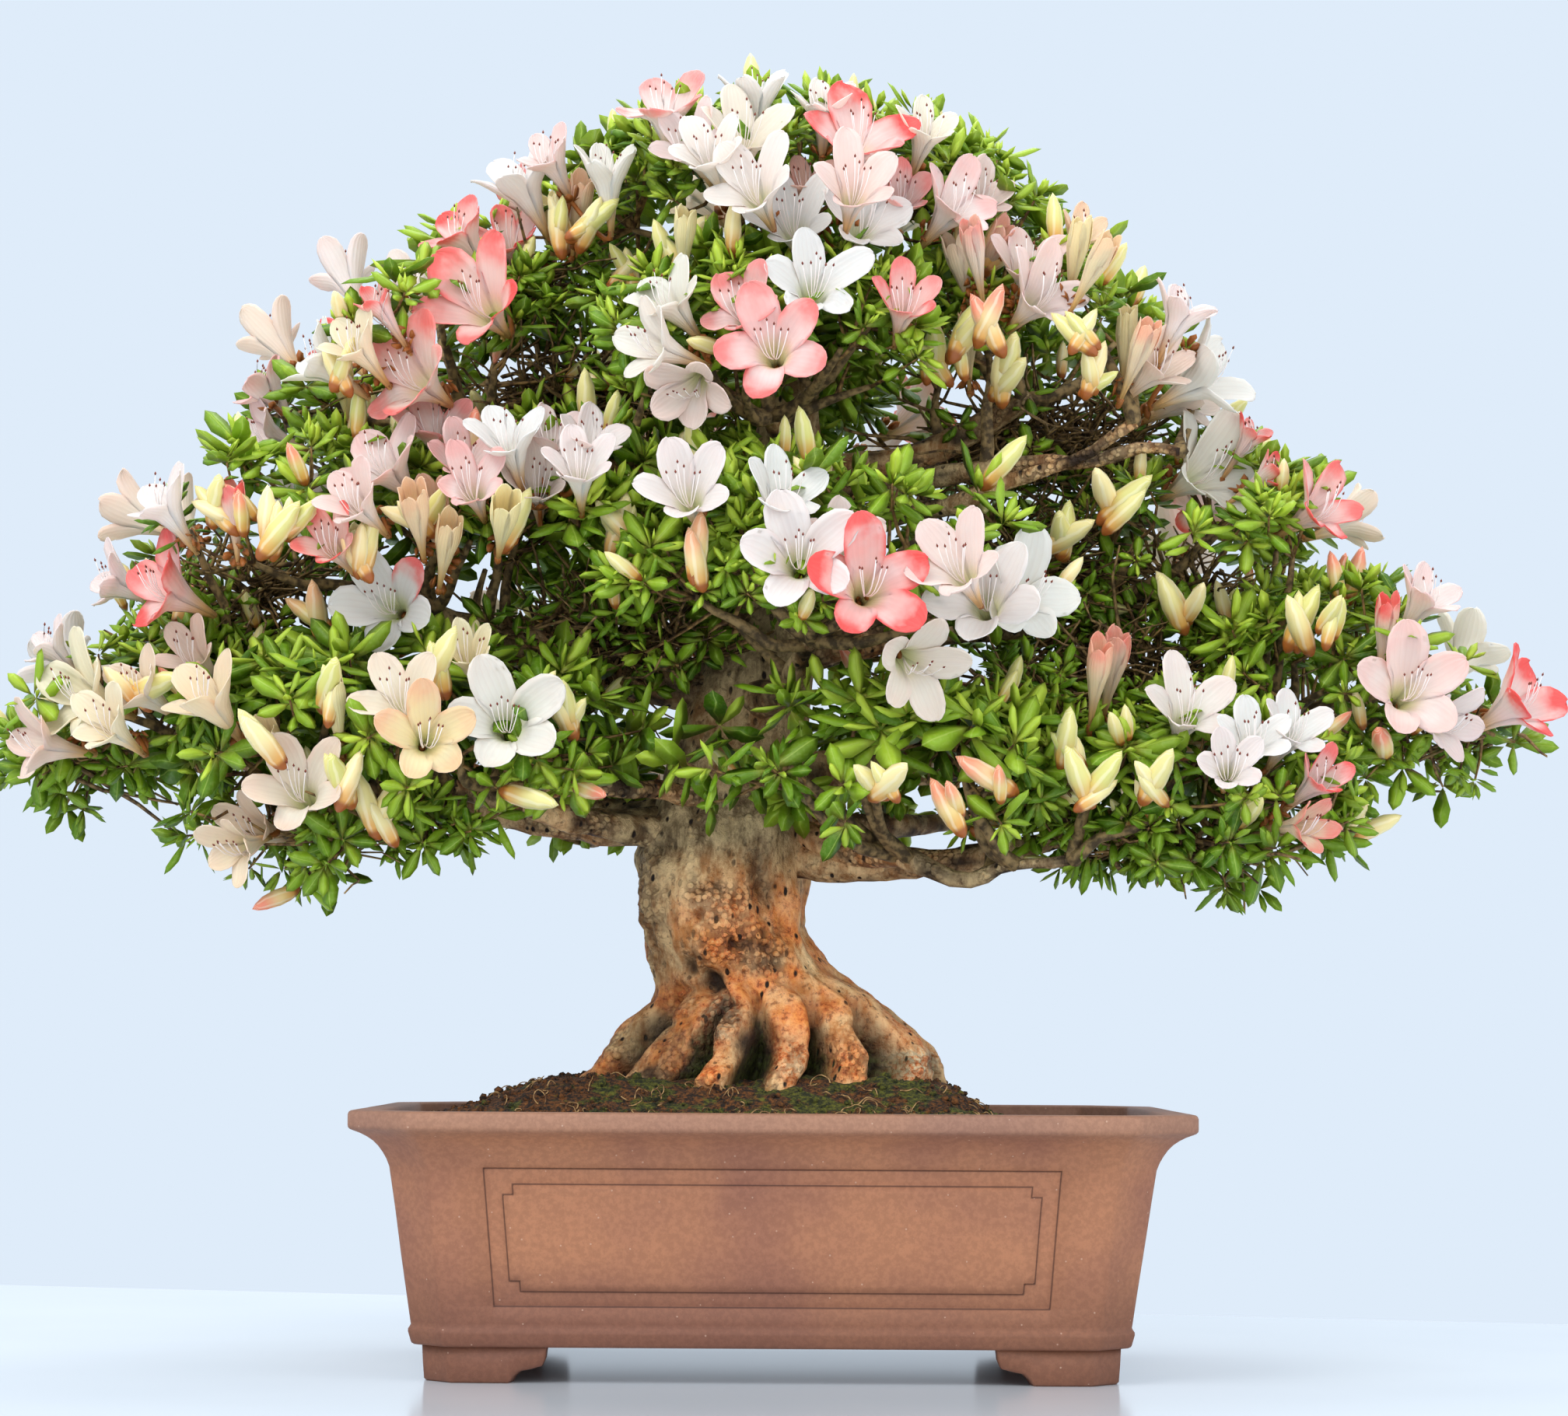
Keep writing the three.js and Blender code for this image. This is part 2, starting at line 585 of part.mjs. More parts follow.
const lumpMeshes = lumps.map(lumpFaces);

// Where a ray first meets a lump's faces, with the face's outward direction, or null
function hitLump({ points, triangles }, from, direction) {
  const ray = new THREE.Ray(from, direction);
  let best = null;
  for (const [a, b, c] of triangles) {
    const at = ray.intersectTriangle(points[a], points[b], points[c], false, new Vector3());
    if (!at) continue;
    const far = at.distanceTo(from);
    if (best && best.far <= far) continue;
    const normal = new THREE.Triangle(points[a], points[b], points[c]).getNormal(new Vector3());
    best = { at, far, normal };
  }
  return best;
}

// The point of a lump's faces nearest to a line, for a bloom that stands out past the pad
function nearestToLine({ points, triangles }, from, direction) {
  let best = null;
  for (const [a, b, c] of triangles) {
    const middle = points[a].clone().add(points[b]).add(points[c]).divideScalar(3);
    const offset = middle.clone().sub(from);
    const along = offset.dot(direction);
    const off = offset.addScaledVector(direction, -along).length();
    if (best && best.off <= off) continue;
    const normal = new THREE.Triangle(points[a], points[b], points[c]).getNormal(new Vector3());
    best = { at: middle, off, far: along, normal };
  }
  return best;
}

// The line of sight through a pixel of the photograph
function sight(pixelX, pixelY) {
  const [pitch, roll] = [radians(view.pitch), radians(view.roll)];
  const forward = new Vector3(0, Math.cos(pitch), Math.sin(pitch));
  const level = new Vector3(1, 0, 0);
  const upright = new Vector3(0, -Math.sin(pitch), Math.cos(pitch));
  const right = level.clone().multiplyScalar(Math.cos(roll)).addScaledVector(upright, Math.sin(roll));
  const up = upright.multiplyScalar(Math.cos(roll)).addScaledVector(level, -Math.sin(roll));
  const direction = forward
    .multiplyScalar(view.focal)
    .addScaledVector(right, pixelX - view.midX)
    .addScaledVector(up, view.midY - pixelY)
    .normalize();
  return { from: new Vector3(view.x, view.y, view.z), direction };
}

// The way a bloom faces, from its turn to the right and its tilt up
function facing(turn, tilt) {
  const [a, b] = [radians(turn), radians(tilt)];
  return new Vector3(Math.sin(a) * Math.cos(b), -Math.cos(a) * Math.cos(b), Math.sin(b));
}

// A seen bloom's mouth and the spot of a pad that its stalk comes from, on one lump if it is given
function placeSeen([pixelX, pixelY, turn, tilt, reach, open], only = null) {
  const axis = facing(turn, tilt);
  const { from, direction } = sight(pixelX, pixelY);
  const shifted = from.clone().addScaledVector(axis, -bloomTube);
  let best = null;
  const tried = only === null ? [...lumps.keys()] : [only];
  for (const lump of tried) {
    const hit = hitLump(lumpMeshes[lump], shifted, direction);
    if (hit && (!best || hit.far < best.far)) best = { ...hit, lump };
  }
  if (!best) {
    for (const lump of tried) {
      const near = nearestToLine(lumpMeshes[lump], shifted, direction);
      if (!best || near.off < best.off) best = { ...near, lump };
    }
  }
  const mouth = shifted.clone().addScaledVector(direction, best.far).addScaledVector(axis, bloomTube);
  return standClear({ ...best, mouth, axis, reach, open }, direction);
}

// Blooms placed so far, and the room that two of them leave between their mouths
const standing = [];
const roomShare = 0.62;

// The bloom moved along the line of sight, as little as lets it clear those already standing
function standClear(bloomAt, direction) {
  const tries = [0, -9, 9, -18, 18, -27, 27].map((offset) => {
    const mouth = bloomAt.mouth.clone().addScaledVector(direction, offset);
    const room = standing.map((one) => one.mouth.distanceTo(mouth) / (one.reach + bloomAt.reach));
    return { mouth, room: Math.min(1, ...room) };
  });
  const roomiest = tries.reduce((a, b) => (b.room > a.room ? b : a));
  const best = tries.find((one) => one.room > roomShare) ?? roomiest;
  const placed = { ...bloomAt, mouth: best.mouth };
  standing.push(placed);
  return placed;
}

// An unseen bloom on the back of a lump, at a bearing and elevation of it
function placeUnseen(lump, bearing, elevation, tilt) {
  const centre = new Vector3(...lumps[lump][1]);
  const outward = lumpPoint(lumps[lump], radians(bearing), radians(elevation)).sub(centre).normalize();
  const hit = hitLump(lumpMeshes[lump], centre, outward);
  const axis = facing(bearing + 90, tilt);
  const mouth = hit.at.clone().addScaledVector(axis, bloomTube);
  return { ...hit, lump, mouth, axis, reach: backBunches.reach, open: backBunches.open };
}

// The bud that a bunch's stalks share: the spot of the pad straight behind the middle of the
// bunch, or under it where nothing lies straight behind
function shareBud(placed) {
  const mesh = lumpMeshes[placed[0].lump];
  const mean = (key) => placed.reduce((sum, one) => sum.add(one[key]), new Vector3());
  const back = mean("axis").normalize().negate();
  const middle = mean("mouth").divideScalar(placed.length);
  const centre = new Vector3(...lumps[placed[0].lump][1]);
  return hitLump(mesh, middle, back) ?? hitLump(mesh, centre, middle.sub(centre).normalize());
}

// A bloom: a funnel from its stalk's end to five lobes, each with two shoulders and a tip.
// Inner and outer skins meet at the lobes' edges and stand apart by the petals' wall inside.
function bloom({ mouth, axis, reach, open }, stalk, grow = 0) {
  const turn = new THREE.Quaternion().setFromUnitVectors(new Vector3(0, 0, 1), axis);
  const across = new Vector3(1, 0, 0).applyQuaternion(turn);
  const aside = new Vector3(0, 1, 0).applyQuaternion(turn);
  const at = (radius, degrees, height) =>
    mouth
      .clone()
      .addScaledVector(across, radius * Math.cos(radians(degrees)))
      .addScaledVector(aside, radius * Math.sin(radians(degrees)))
      .addScaledVector(axis, height);
  const spread = reach * (0.35 + 0.65 * open);
  const rise = reach * (0.95 - 0.75 * open);
  const points = [stalk.clone()];
  const inner = points.push(at(0, 0, -bloomTube * 0.55)) - 1;
  const ring = (radius, offset, height) =>
    Array.from({ length: 5 }, (_, i) => points.push(at(radius, 72 * i + offset, height)) - 1);
  const notch = ring(spread * lobe.notch + grow, 0, rise * 0.1);
  const outer = ring(spread * lobe.throat + grow + petalWall, 36, -bloomTube * 0.14 - grow);
  const left = ring(spread * lobe.shoulder + grow, 36 - lobe.shoulderTurn, rise * 0.62);
  const tip = ring(spread + grow, 36, rise * 0.7);
  const right = ring(spread * lobe.shoulder + grow, 36 + lobe.shoulderTurn, rise * 0.62);
  const throat = ring(spread * lobe.throat, 36, -bloomTube * 0.1 + grow);
  const triangles = [];
  for (let i = 0; i < 5; i++) {
    const n = (i + 1) % 5;
    triangles.push([0, outer[i], notch[i]], [0, notch[n], outer[i]]);
    triangles.push([inner, notch[i], throat[i]], [inner, throat[i], notch[n]]);
    const edge = [notch[i], left[i], tip[i], right[i], notch[n]];
    for (let k = 0; k < 4; k++) {
      triangles.push([outer[i], edge[k + 1], edge[k]], [throat[i], edge[k], edge[k + 1]]);
    }
  }
  return closed(points, triangles);
}

// The knob of bud scales that joins the stalks of a bunch, seated with its point in the pad
function budScales(at, normal, grow = 0) {
  const turn = new THREE.Quaternion().setFromUnitVectors(new Vector3(0, 0, 1), normal);
  const centre = at.clone().addScaledVector(normal, budScale.seat);
  const place = new Matrix4().compose(centre, turn, new Vector3(1, 1, 1));
  return solidOf(new THREE.OctahedronGeometry(budScale.radius + grow), place);
}

// The room round a bloom that leaves keep out of: a six-sided cone from its stalk to its lobes
function bloomRoom({ mouth, axis, reach }, stalk) {
  const turn = new THREE.Quaternion().setFromUnitVectors(new Vector3(0, 0, 1), axis);
  const points = [stalk.clone()];
  for (let i = 0; i < 6; i++) {
    const around = new Vector3(reach + 1.5, 0, 0).applyAxisAngle(new Vector3(0, 0, 1), (i * Math.PI) / 3);
    around.z = reach * 0.5;
    points.push(around.applyQuaternion(turn).add(mouth));
  }
  const sides = [1, 2, 3, 4, 5, 6].map((i) => [0, (i % 6) + 1, i]);
  return closed(points, [...sides, [1, 2, 3], [1, 3, 4], [1, 4, 5], [1, 5, 6]]);
}

// A bunch: every bloom from the shared bud, joined there. A bloom whose bud isn't well behind it
// has a straight tube of its own and a slim stalk that leads to it from the side. form makes each
// bloom, or the room round it.
function makeBunch(placed, form, grow = 0) {
  const { at, normal } = placed.length > 1 ? shareBud(placed) : placed[0];
  const bud = at.clone().addScaledVector(normal, placed.length > 1 ? budScale.seat : gap);
  const solids = placed.flatMap((one) => {
    const way = bud.clone().sub(one.mouth);
    const behind = -way.dot(one.axis);
    if (behind > bloomTube * 0.8 && way.length() < behind * 1.35) return [form(one, bud, grow)];
    const back = one.mouth.clone().addScaledVector(one.axis, -bloomTube * 0.95);
    const inside = back.clone().addScaledVector(one.axis, 6);
    const stalk = limb(new THREE.LineCurve3(bud, inside), 1.8 + grow, 1.4 + grow, 3, 1);
    return [form(one, back, grow), stalk];
  });
  if (placed.length > 1) solids.push(budScales(at, normal, grow));
  return solids.reduce((a, b) => a.add(b));
}

// Every bunch with its solid and a slightly fuller one for clearance
function makeBunches() {
  const draw = drawer(seed);
  const seen = bunches.map(([tint, [first, ...rest]]) => {
    const leader = placeSeen(first);
    return { tint, placed: [leader, ...rest.map((one) => placeSeen(one, leader.lump))] };
  });
  const unseen = backBunches.lumps.flatMap((lump, i) =>
    Array.from({ length: backBunches.perLump }, () => {
      const bearing = draw(60, 120);
      const placed = [0, 1].map((k) =>
        placeUnseen(lump, bearing + 18 * (k - 0.5), draw(14, 34), draw(0, 2) * backBunches.tilt),
      );
      return { tint: i % 3 ? "white" : "pink", placed };
    }),
  );
  const made = [];
  for (const bunch of [...seen, ...unseen]) {
    let solid = makeBunch(bunch.placed, bloom);
    for (const { full } of made) {
      if (!apart(solid, full)) solid = largest(solid.subtract(full));
    }
    const full = solid.add(makeBunch(bunch.placed, bloom, 0.5));
    made.push({ ...bunch, solid, full, room: makeBunch(bunch.placed, bloomRoom, 0.5) });
  }
  return made;
}

// A leaf rosette: five blades round a shoot, each widest past its middle, with a keel.
// The shoot is a slim three-sided stalk whose end is sunk in the pad.
function leafRosette(base, outward, size, twist, lift, grow = 0) {
  const turn = new THREE.Quaternion().setFromUnitVectors(new Vector3(0, 0, 1), outward);
  const points = [];
  const add = (radius, degrees, height) => {
    const [c, s] = [Math.cos(radians(degrees + twist)), Math.sin(radians(degrees + twist))];
    const local = new Vector3(radius * c, radius * s, height).applyQuaternion(turn);
    return points.push(local.add(base)) - 1;
  };
  const top = rosette.stalk;
  const wide = THREE.MathUtils.radToDeg(Math.atan2(rosette.width / 2 + grow, rosette.leaf * 0.6));
  const edge = [];
  for (let i = 0; i < 5; i++) {
    const angle = 72 * i;
    const slope = radians(lift + (i % 2 ? 14 : -8));
    const long = ((rosette.leaf + (i % 3) * 2) * size + grow) * Math.cos(slope);
    const raise = Math.tan(slope);
    edge.push(add(3 + grow, angle - 36, top));
    edge.push(add(long * 0.6, angle - wide, top + long * 0.6 * raise + 1.6));
    edge.push(add(long, angle, top + long * raise));
    edge.push(add(long * 0.6, angle + wide, top + long * 0.6 * raise + 1.6));
  }
  const crown = add(0, 0, top + 1.4 + grow);
  const under = [0, 120, 240].map((degrees) => add(1.6 + grow, degrees - 36, top - 1.4 - grow));
  const root = add(0, 0, -9);
  const triangles = [0, 1, 2].map((k) => [under[k], root, under[(k + 1) % 3]]);
  edge.forEach((from, j) => {
    const to = edge[(j + 1) % edge.length];
    const k = Math.floor((j * 3) / edge.length);
    const after = Math.floor(((j + 1) * 3) / edge.length) % 3;
    triangles.push([crown, from, to], [under[k], to, from]);
    if (after !== k) triangles.push([under[k], under[after], to]);
  });
  return closed(points, triangles);
}

// A flower bud: a four-sided spindle with its lower end sunk in the pad
function flowerBud(base, outward, size) {
  const turn = new THREE.Quaternion().setFromUnitVectors(new Vector3(0, 0, 1), outward);
  const length = spindle.length * size;
  const radius = spindle.radius * size;
  const local = [new Vector3(0, 0, -6), new Vector3(0, 0, length)];
  for (let i = 0; i < 4; i++) {
    local.push(new Vector3(radius, 0, length * 0.42).applyAxisAngle(new Vector3(0, 0, 1), (i * Math.PI) / 2));
  }
  const points = local.map((p) => p.applyQuaternion(turn).add(base));
  const triangles = [2, 3, 4, 5].flatMap((i) => {
    const next = i === 5 ? 2 : i + 1;
    return [
      [0, next, i],
      [1, i, next],
    ];
  });
  return closed(points, triangles);
}

// True where two solids share no space, tried by their boxes first
function apart(a, b) {
  const [p, q] = [a.boundingBox(), b.boundingBox()];
  const clear = [0, 1, 2].some((i) => p.min[i] > q.max[i] || q.min[i] > p.max[i]);
  return clear || a.intersect(b).volume() < 1e-6;
}

// The surface of a lump that shows, in square metres: the dome above and the rim below it
function shownArea([, , halfX, halfY, up, down]) {
  const around = Math.PI * (halfX + halfY);
  return (around * (up + down * 0.5) * 0.8 + Math.PI * halfX * halfY * 0.5) / 1e6;
}

// Spots spread evenly over a lump by the golden angle, from a little below its rim to its top
function spreadSpots(lump, count, draw) {
  const golden = 137.508;
  const lowest = Math.sin(radians(-24));
  return Array.from({ length: count }, (_, i) => {
    const share = ((i + 0.5) / count) ** 0.8;
    const elevation = Math.asin(lowest + (1 - lowest) * share) * 0.96;
    const bearing = radians(golden * i + draw(-12, 12));
    const centre = new Vector3(...lumps[lump][1]);
    const outward = lumpPoint(lumps[lump], bearing, elevation).sub(centre).normalize();
    const hit = hitLump(lumpMeshes[lump], centre, outward);
    return { at: hit.at, outward: hit.normal.clone().add(outward).normalize() };
  });
}

// The leaves and buds of one lump, each kept only where it clears all that isn't its own pad
function growOn(lump, others, own, draw) {
  const area = shownArea(lumps[lump]);
  const grown = [];
  const free = (solid) => others.every((one) => apart(solid, one)) && !apart(solid, own);
  for (const spot of spreadSpots(lump, Math.round(rosette.perM2 * area), draw)) {
    const twist = draw(0, 72);
    for (const [size, lift] of [[1, 22], [0.85, 40], [0.8, 62]]) {
      const full = leafRosette(spot.at, spot.outward, size, twist, lift, 0.5);
      if (!free(full)) continue;
      grown.push(leafRosette(spot.at, spot.outward, size, twist, lift));
      break;
    }
  }
  for (const spot of spreadSpots(lump, Math.round(spindle.perM2 * area), draw)) {
    const lean = new Vector3(draw(-0.4, 0.4), draw(-0.4, 0.4), 0.5);
    const outward = spot.outward.clone().add(lean).normalize();
    const full = flowerBud(spot.at, outward, 1.1);
    if (free(full)) grown.push(flowerBud(spot.at, outward, draw(0.85, 1.05)));
  }
  return grown.reduce((all, one) => all.add(one), own);
}

// A fuller copy of a lump's ball, for cutting its neighbours clear of it
function fullLump(lump) {
  const { points, triangles } = lumpMeshes[lump];
  const centre = new Vector3(...lumps[lump][1]);
  const moved = points.map((p) => {
    const out = p.clone().sub(centre);
    return p.clone().add(out.clone().setLength(1));
  });
  return closed(moved, triangles);
}

// The pads: balls cut clear of wood, blooms and each other, then set with leaves and buds
function makePads(fullWood, bunchList) {
  const draw = drawer(seed + 1);
  const names = [...new Set(lumps.map(([name]) => name))];
  const pads = new Map();
  for (const name of names) {
    const own = lumps.flatMap(([pad], i) => (pad === name ? [i] : []));
    let core = own
      .map((i) => closed(lumpMeshes[i].points, lumpMeshes[i].triangles))
      .reduce((a, b) => a.add(b));
    lumps.forEach(([pad], i) => {
      if (names.indexOf(pad) < names.indexOf(name) && !apart(core, fullLump(i))) {
        core = core.subtract(fullLump(i));
      }
    });
    for (const { room, full } of bunchList) {
      if (!apart(core, room)) core = core.subtract(room);
      if (!apart(core, full)) core = core.subtract(full);
    }
    pads.set(name, largest(core.subtract(fullWood)));
  }
  for (const name of names) {
    const others = [fullWood, ...bunchList.flatMap(({ full, room }) => [full, room])];
    pads.forEach((solid, other) => other !== name && others.push(solid));
    lumps.forEach(([pad], i) => {
      if (pad === name) pads.set(name, growOn(i, others, pads.get(name), draw));
    });
  }
  return pads;
}

// The whole tree in its pot, built about the pot's centre
function assemble() {
  const bonsai = new THREE.Group();
  const fullWood = wood(gap);
  bonsai.add(meshOf("pot", makePot(), "clay"));
  bonsai.add(meshOf("soil", makeSoil(trunk(gap)), "earth"));
  bonsai.add(meshOf("wood", wood(), "bark"));
  const bunchList = makeBunches();
  for (const [name, solid] of makePads(fullWood, bunchList)) {
    bonsai.add(meshOf(name, solid, "leaf"));
  }
  bunchList.forEach(({ tint, solid }, i) => {
    bonsai.add(meshOf(`bloom_${tint}_${i + 1}`, solid, tint));
  });
  const box = new THREE.Box3().setFromObject(bonsai);
  const middle = box.getCenter(new Vector3());
  bonsai.position.set(-middle.x, -middle.y, -box.min.z);
  return bonsai;
}

const group = assemble();
export default group;
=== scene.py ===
import math
from functools import lru_cache, partial

import bpy
import numpy as np
from mathutils import Matrix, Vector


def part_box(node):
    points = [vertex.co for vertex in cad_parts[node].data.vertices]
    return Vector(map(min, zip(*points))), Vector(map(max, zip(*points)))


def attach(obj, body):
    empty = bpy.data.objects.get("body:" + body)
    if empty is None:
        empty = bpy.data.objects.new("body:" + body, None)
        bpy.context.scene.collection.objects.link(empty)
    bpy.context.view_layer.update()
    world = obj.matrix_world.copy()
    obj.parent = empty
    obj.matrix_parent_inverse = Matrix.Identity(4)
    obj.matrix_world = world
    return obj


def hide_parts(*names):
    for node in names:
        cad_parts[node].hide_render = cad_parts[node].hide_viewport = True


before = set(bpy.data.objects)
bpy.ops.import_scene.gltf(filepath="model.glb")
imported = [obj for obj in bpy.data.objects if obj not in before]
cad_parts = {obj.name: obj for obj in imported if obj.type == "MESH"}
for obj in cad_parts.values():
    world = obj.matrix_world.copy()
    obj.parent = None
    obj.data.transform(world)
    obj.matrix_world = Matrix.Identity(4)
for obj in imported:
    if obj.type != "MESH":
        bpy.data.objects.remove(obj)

bl_info = {
    "name": "Satsuki Azalea Bonsai",
    "version": (1, 0, 0),
    "blender": (4, 5, 0),
    "location": "View3D > Sidebar > Bonsai",
    "description": "A flowering azalea bonsai in its unglazed clay pot, built on a fixed frame",
    "category": "Add Mesh",
}

# Shapes are worked out in millimetres about the pot's centre, where the front is towards -Y.
# The pot's place in the frame turns them into metres when a piece is made.
MM = 0.001
# Divided by the size of a pattern's cells in mm, this is the pattern's scale in object coordinates
METRE = 1000
POT_LOW, POT_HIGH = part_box("pot")
POT_AT = np.array([(POT_LOW.x + POT_HIGH.x) / 2, (POT_LOW.y + POT_HIGH.y) / 2, 0.0])
RIM_X = (POT_HIGH.x - POT_LOW.x) / 2 / MM
RIM_Y = (POT_HIGH.y - POT_LOW.y) / 2 / MM
RIM_TOP = POT_HIGH.z / MM
BODY = "root"
# The golden angle spreads spots evenly over a round shape
GOLDEN = math.radians(137.508)

# Outside of the pot from the underside up: height, inset from the rim, cut of the corners
POT_OUTSIDE = [
    (19.0, 35.2, 19), (19.6, 34.2, 19), (20.6, 33.7, 19), (25.8, 32.2, 19.5), (27.2, 32.2, 19.5),
    (28.4, 33.0, 19.2), (29.6, 33.6, 19), (31.5, 33.3, 19), (39.6, 32.1, 19.3), (113, 21.5, 22),
    (117, 20.0, 22.4), (120.5, 18.1, 23), (123.8, 15.8, 24), (126.6, 13.0, 26), (128.8, 9.8, 28),
    (130.6, 6.2, 31), (131.8, 3.0, 33), (132.6, 1.1, 34), (133.6, 0.2, 34), (135, 0, 34),
    (140.4, 0, 34), (141.7, 0.5, 34), (142.4, 1.5, 33.6), (142.6, 3, 33),
]
# Its inside from the lip down, in the same numbers
POT_INSIDE = [
    (142.6, 14.8, 27), (142.3, 16.2, 26.4), (141.2, 17, 26), (138, 17.5, 25), (110, 32, 17),
    (40, 43, 15), (30, 45, 15), (28, 48, 14),
]
# The sunk frame of each face: its lower and upper edge, how far it ends from the corner, and how much
# narrower it is at its foot and wider at its top
PANEL = {"low": 40.5, "high": 112.9, "end": 28, "narrow": 3, "widen": 2.5}
# The stepped panel inside it: how far in from the frame's end, its edges, and its step
INNER = {"inset": 9, "low": 48.3, "high": 104.7, "step": 5.5}
# Feet: outer faces, cut of the corner, thickness, lengths along both faces, and top
FOOT = {"x": 186, "y": 118, "cut": 17, "thick": 16, "length_x": 68, "length_y": 46, "top": 20.5}
# Share of a foot's length from its inner end, and how high its underside is there
OGEE = [(0, 20), (0.02, 13), (0.06, 9), (0.16, 7.6), (0.3, 6.2), (0.37, 3.2), (0.41, 0), (1, 0)]
# Where a foot has its rings, as the same share
FOOT_STEPS = [0, 0.012, 0.02, 0.04, 0.06, 0.1, 0.16, 0.22, 0.3, 0.34, 0.37, 0.39, 0.41, 0.44, 0.55,
              0.68, 0.75]
# Drain holes in the floor, one on each side
DRAIN = {"radius": 14, "x": 95}
# The line cut along both frames: half its width and its depth
LINE = {"half": 0.9, "deep": 1.0}

# Height of the soil, and its edge at the pot's inner wall
SOIL_LEVEL = 133
SOIL_EDGE = {"inset": 20.4, "cut": 25}
# Its skirt from the pot's floor up: inset from the rim, cut of the corners, height
SOIL_SKIRT = [(46.4, 15, 28.5), (32.4, 17, 110), (24, 22, 124)]

# The trunk from the roots up: height, centre x, centre y, half width, half depth
TRUNK = [
    (118, -10, 2, 110, 84), (143, -10, 2, 105, 82), (156, -8, 0, 96, 76), (172, -3, 0, 87, 69),
    (190, -2, 0, 73, 62), (204, -3, 0, 59, 54), (217, -15, 0, 52, 48), (233, -25, 0, 48, 45),
    (270, -30, 0, 48, 44), (297, -27, 0, 45, 41), (345, -20, 4, 38, 35), (410, -8, 8, 30, 28),
    (480, 0, 8, 24, 22), (560, 8, 4, 15, 14), (632, 6, 0, 7, 7),
]
# Bearings of the crests of the surface roots, in degrees from +X
ROOT_BEARINGS = [-168, -131, -108, -82, -58, -33, -2, 30, 60, 92, 125, 157]

# Spots on the front of the trunk: centre x and z, half width, half height, how far it swells, and how
# rusty, pale, knobbly and dark it is; the dark is painted shade in the hollows
BARK_SPOTS = [
    (-20, 233, 23, 14, 6, 0.8, 0, 1, 0), (-35, 212, 9, 6, -9, 0, 0, 0.3, 1),
    (-47, 223, 4.5, 9, -5, 0, 0, 0, 0.9),
    (-52, 203, 13, 10, 4, 0.85, 0, 0.5, 0), (-27, 196, 10, 11, 1, 0.2, 0.6, 1, 0.35),
    (-36, 163, 13, 7, 8, 1, 0.1, 0.3, 0), (-33, 181, 11, 8, 6, 0, 0.6, 0.6, 0),
    (13, 195, 12, 13, 1.5, 1, 0, 0, 0), (9, 168, 10, 12, 2, 0.75, 0.5, 0.6, 0),
    (41, 171, 11, 14, 2, 1, 0.1, 0.7, 0), (33, 198, 15, 7, 0, 0.8, 0, 0.2, 0),
    (74, 167, 16, 11, 4, 0.25, 1, 0.6, 0), (62, 186, 20, 9, 1, 0.5, 0.2, 0, 0),
    (-92, 164, 20, 11, 1, 0.8, 0, 0.4, 0), (-13, 172, 8, 20, -7, 0, 0, 0, 1),
    (25, 172, 5, 15, -6, 0, 0, 0, 1), (-47, 170, 4.5, 17, -5, 0, 0, 0, 1),
    (-70, 160, 7, 10, -4, 0, 0, 0, 0.9), (53, 163, 4, 12, -4, 0, 0, 0, 0.8),
    (-30, 256, 15, 13, 4, 0.5, 0.25, 0.8, 0), (-70, 258, 13, 42, 0, 0, 0, 0.7, 0.4),
    (-8, 270, 7, 20, -3, 0, 0, 0.6, 0.6), (-60, 168, 9, 20, -2, 0.2, 0, 0.6, 0.5),
    (-4, 222, 9, 5, -2, 0, 0.2, 1, 0.4),
]

# Leafy pads, one or more lumps each: name, centre, half sizes x and y, height above, depth below
LUMPS = [
    ("foliage_crown", (2, 0, 628), 158, 108, 72, 30),
    ("foliage_crown_left", (-206, -22, 552), 90, 84, 74, 36),
    ("foliage_crown_front", (-4, -96, 538), 88, 52, 62, 40),
    ("foliage_crown_right", (166, -8, 562), 102, 92, 56, 36),
    ("foliage_middle_left", (-236, -42, 443), 134, 84, 56, 36),
    ("foliage_middle_left", (-122, -58, 452), 74, 60, 56, 36),
    ("foliage_middle_front", (24, -112, 414), 116, 58, 74, 46),
    ("foliage_middle_right", (238, 24, 452), 98, 92, 54, 38),
    ("foliage_low_left", (-346, -28, 350), 72, 58, 40, 28),
    ("foliage_low_left", (-200, -84, 334), 114, 66, 50, 46),
    ("foliage_low_right", (56, -98, 318), 92, 52, 44, 34),
    ("foliage_low_right", (214, -64, 312), 92, 66, 42, 34),
    ("foliage_far_right", (330, 10, 376), 92, 76, 50, 38),
    ("foliage_back_upper", (-10, 116, 514), 122, 60, 60, 48),
    ("foliage_back_upper", (-40, 124, 408), 134, 62, 64, 36),
    ("foliage_back_low", (-196, 92, 330), 106, 66, 44, 34),
    ("foliage_back_low", (-36, 128, 304), 104, 52, 42, 32),
    ("foliage_back_low", (134, 114, 324), 122, 62, 46, 36),
]
# How many sides a lump has, the elevations of its rings in degrees, and the leaf tips on its skin: rise and
# lean, and how far the skin between them lies in
LUMP_SIDES = 8
LUMP_ELEVATIONS = [-58, -20, 14, 44, 70]
LEAF_TIP = {"rise": 15, "lean": 0.34, "hollow": 3}
# Leaves are larger on the low and shaded pads, and smaller towards the crown and the right
LEAF_SCALE = [0.84, 0.86, 0.84, 0.82, 0.86, 0.84, 0.86, 0.8, 0.94, 1.05, 1.05, 0.9, 0.78,
              0.86, 0.86, 0.9, 0.9, 0.88]
# Where the leaves of a pad thin out, as the sine of the elevation: the low pads hang lower
LEAF_EDGE = [0.0, -0.05, 0.0, 0.0, -0.05, -0.1, -0.15, -0.05, -0.2, -0.4, -0.3, -0.25, -0.2,
             0.0, 0.0, -0.1, -0.1, -0.1]
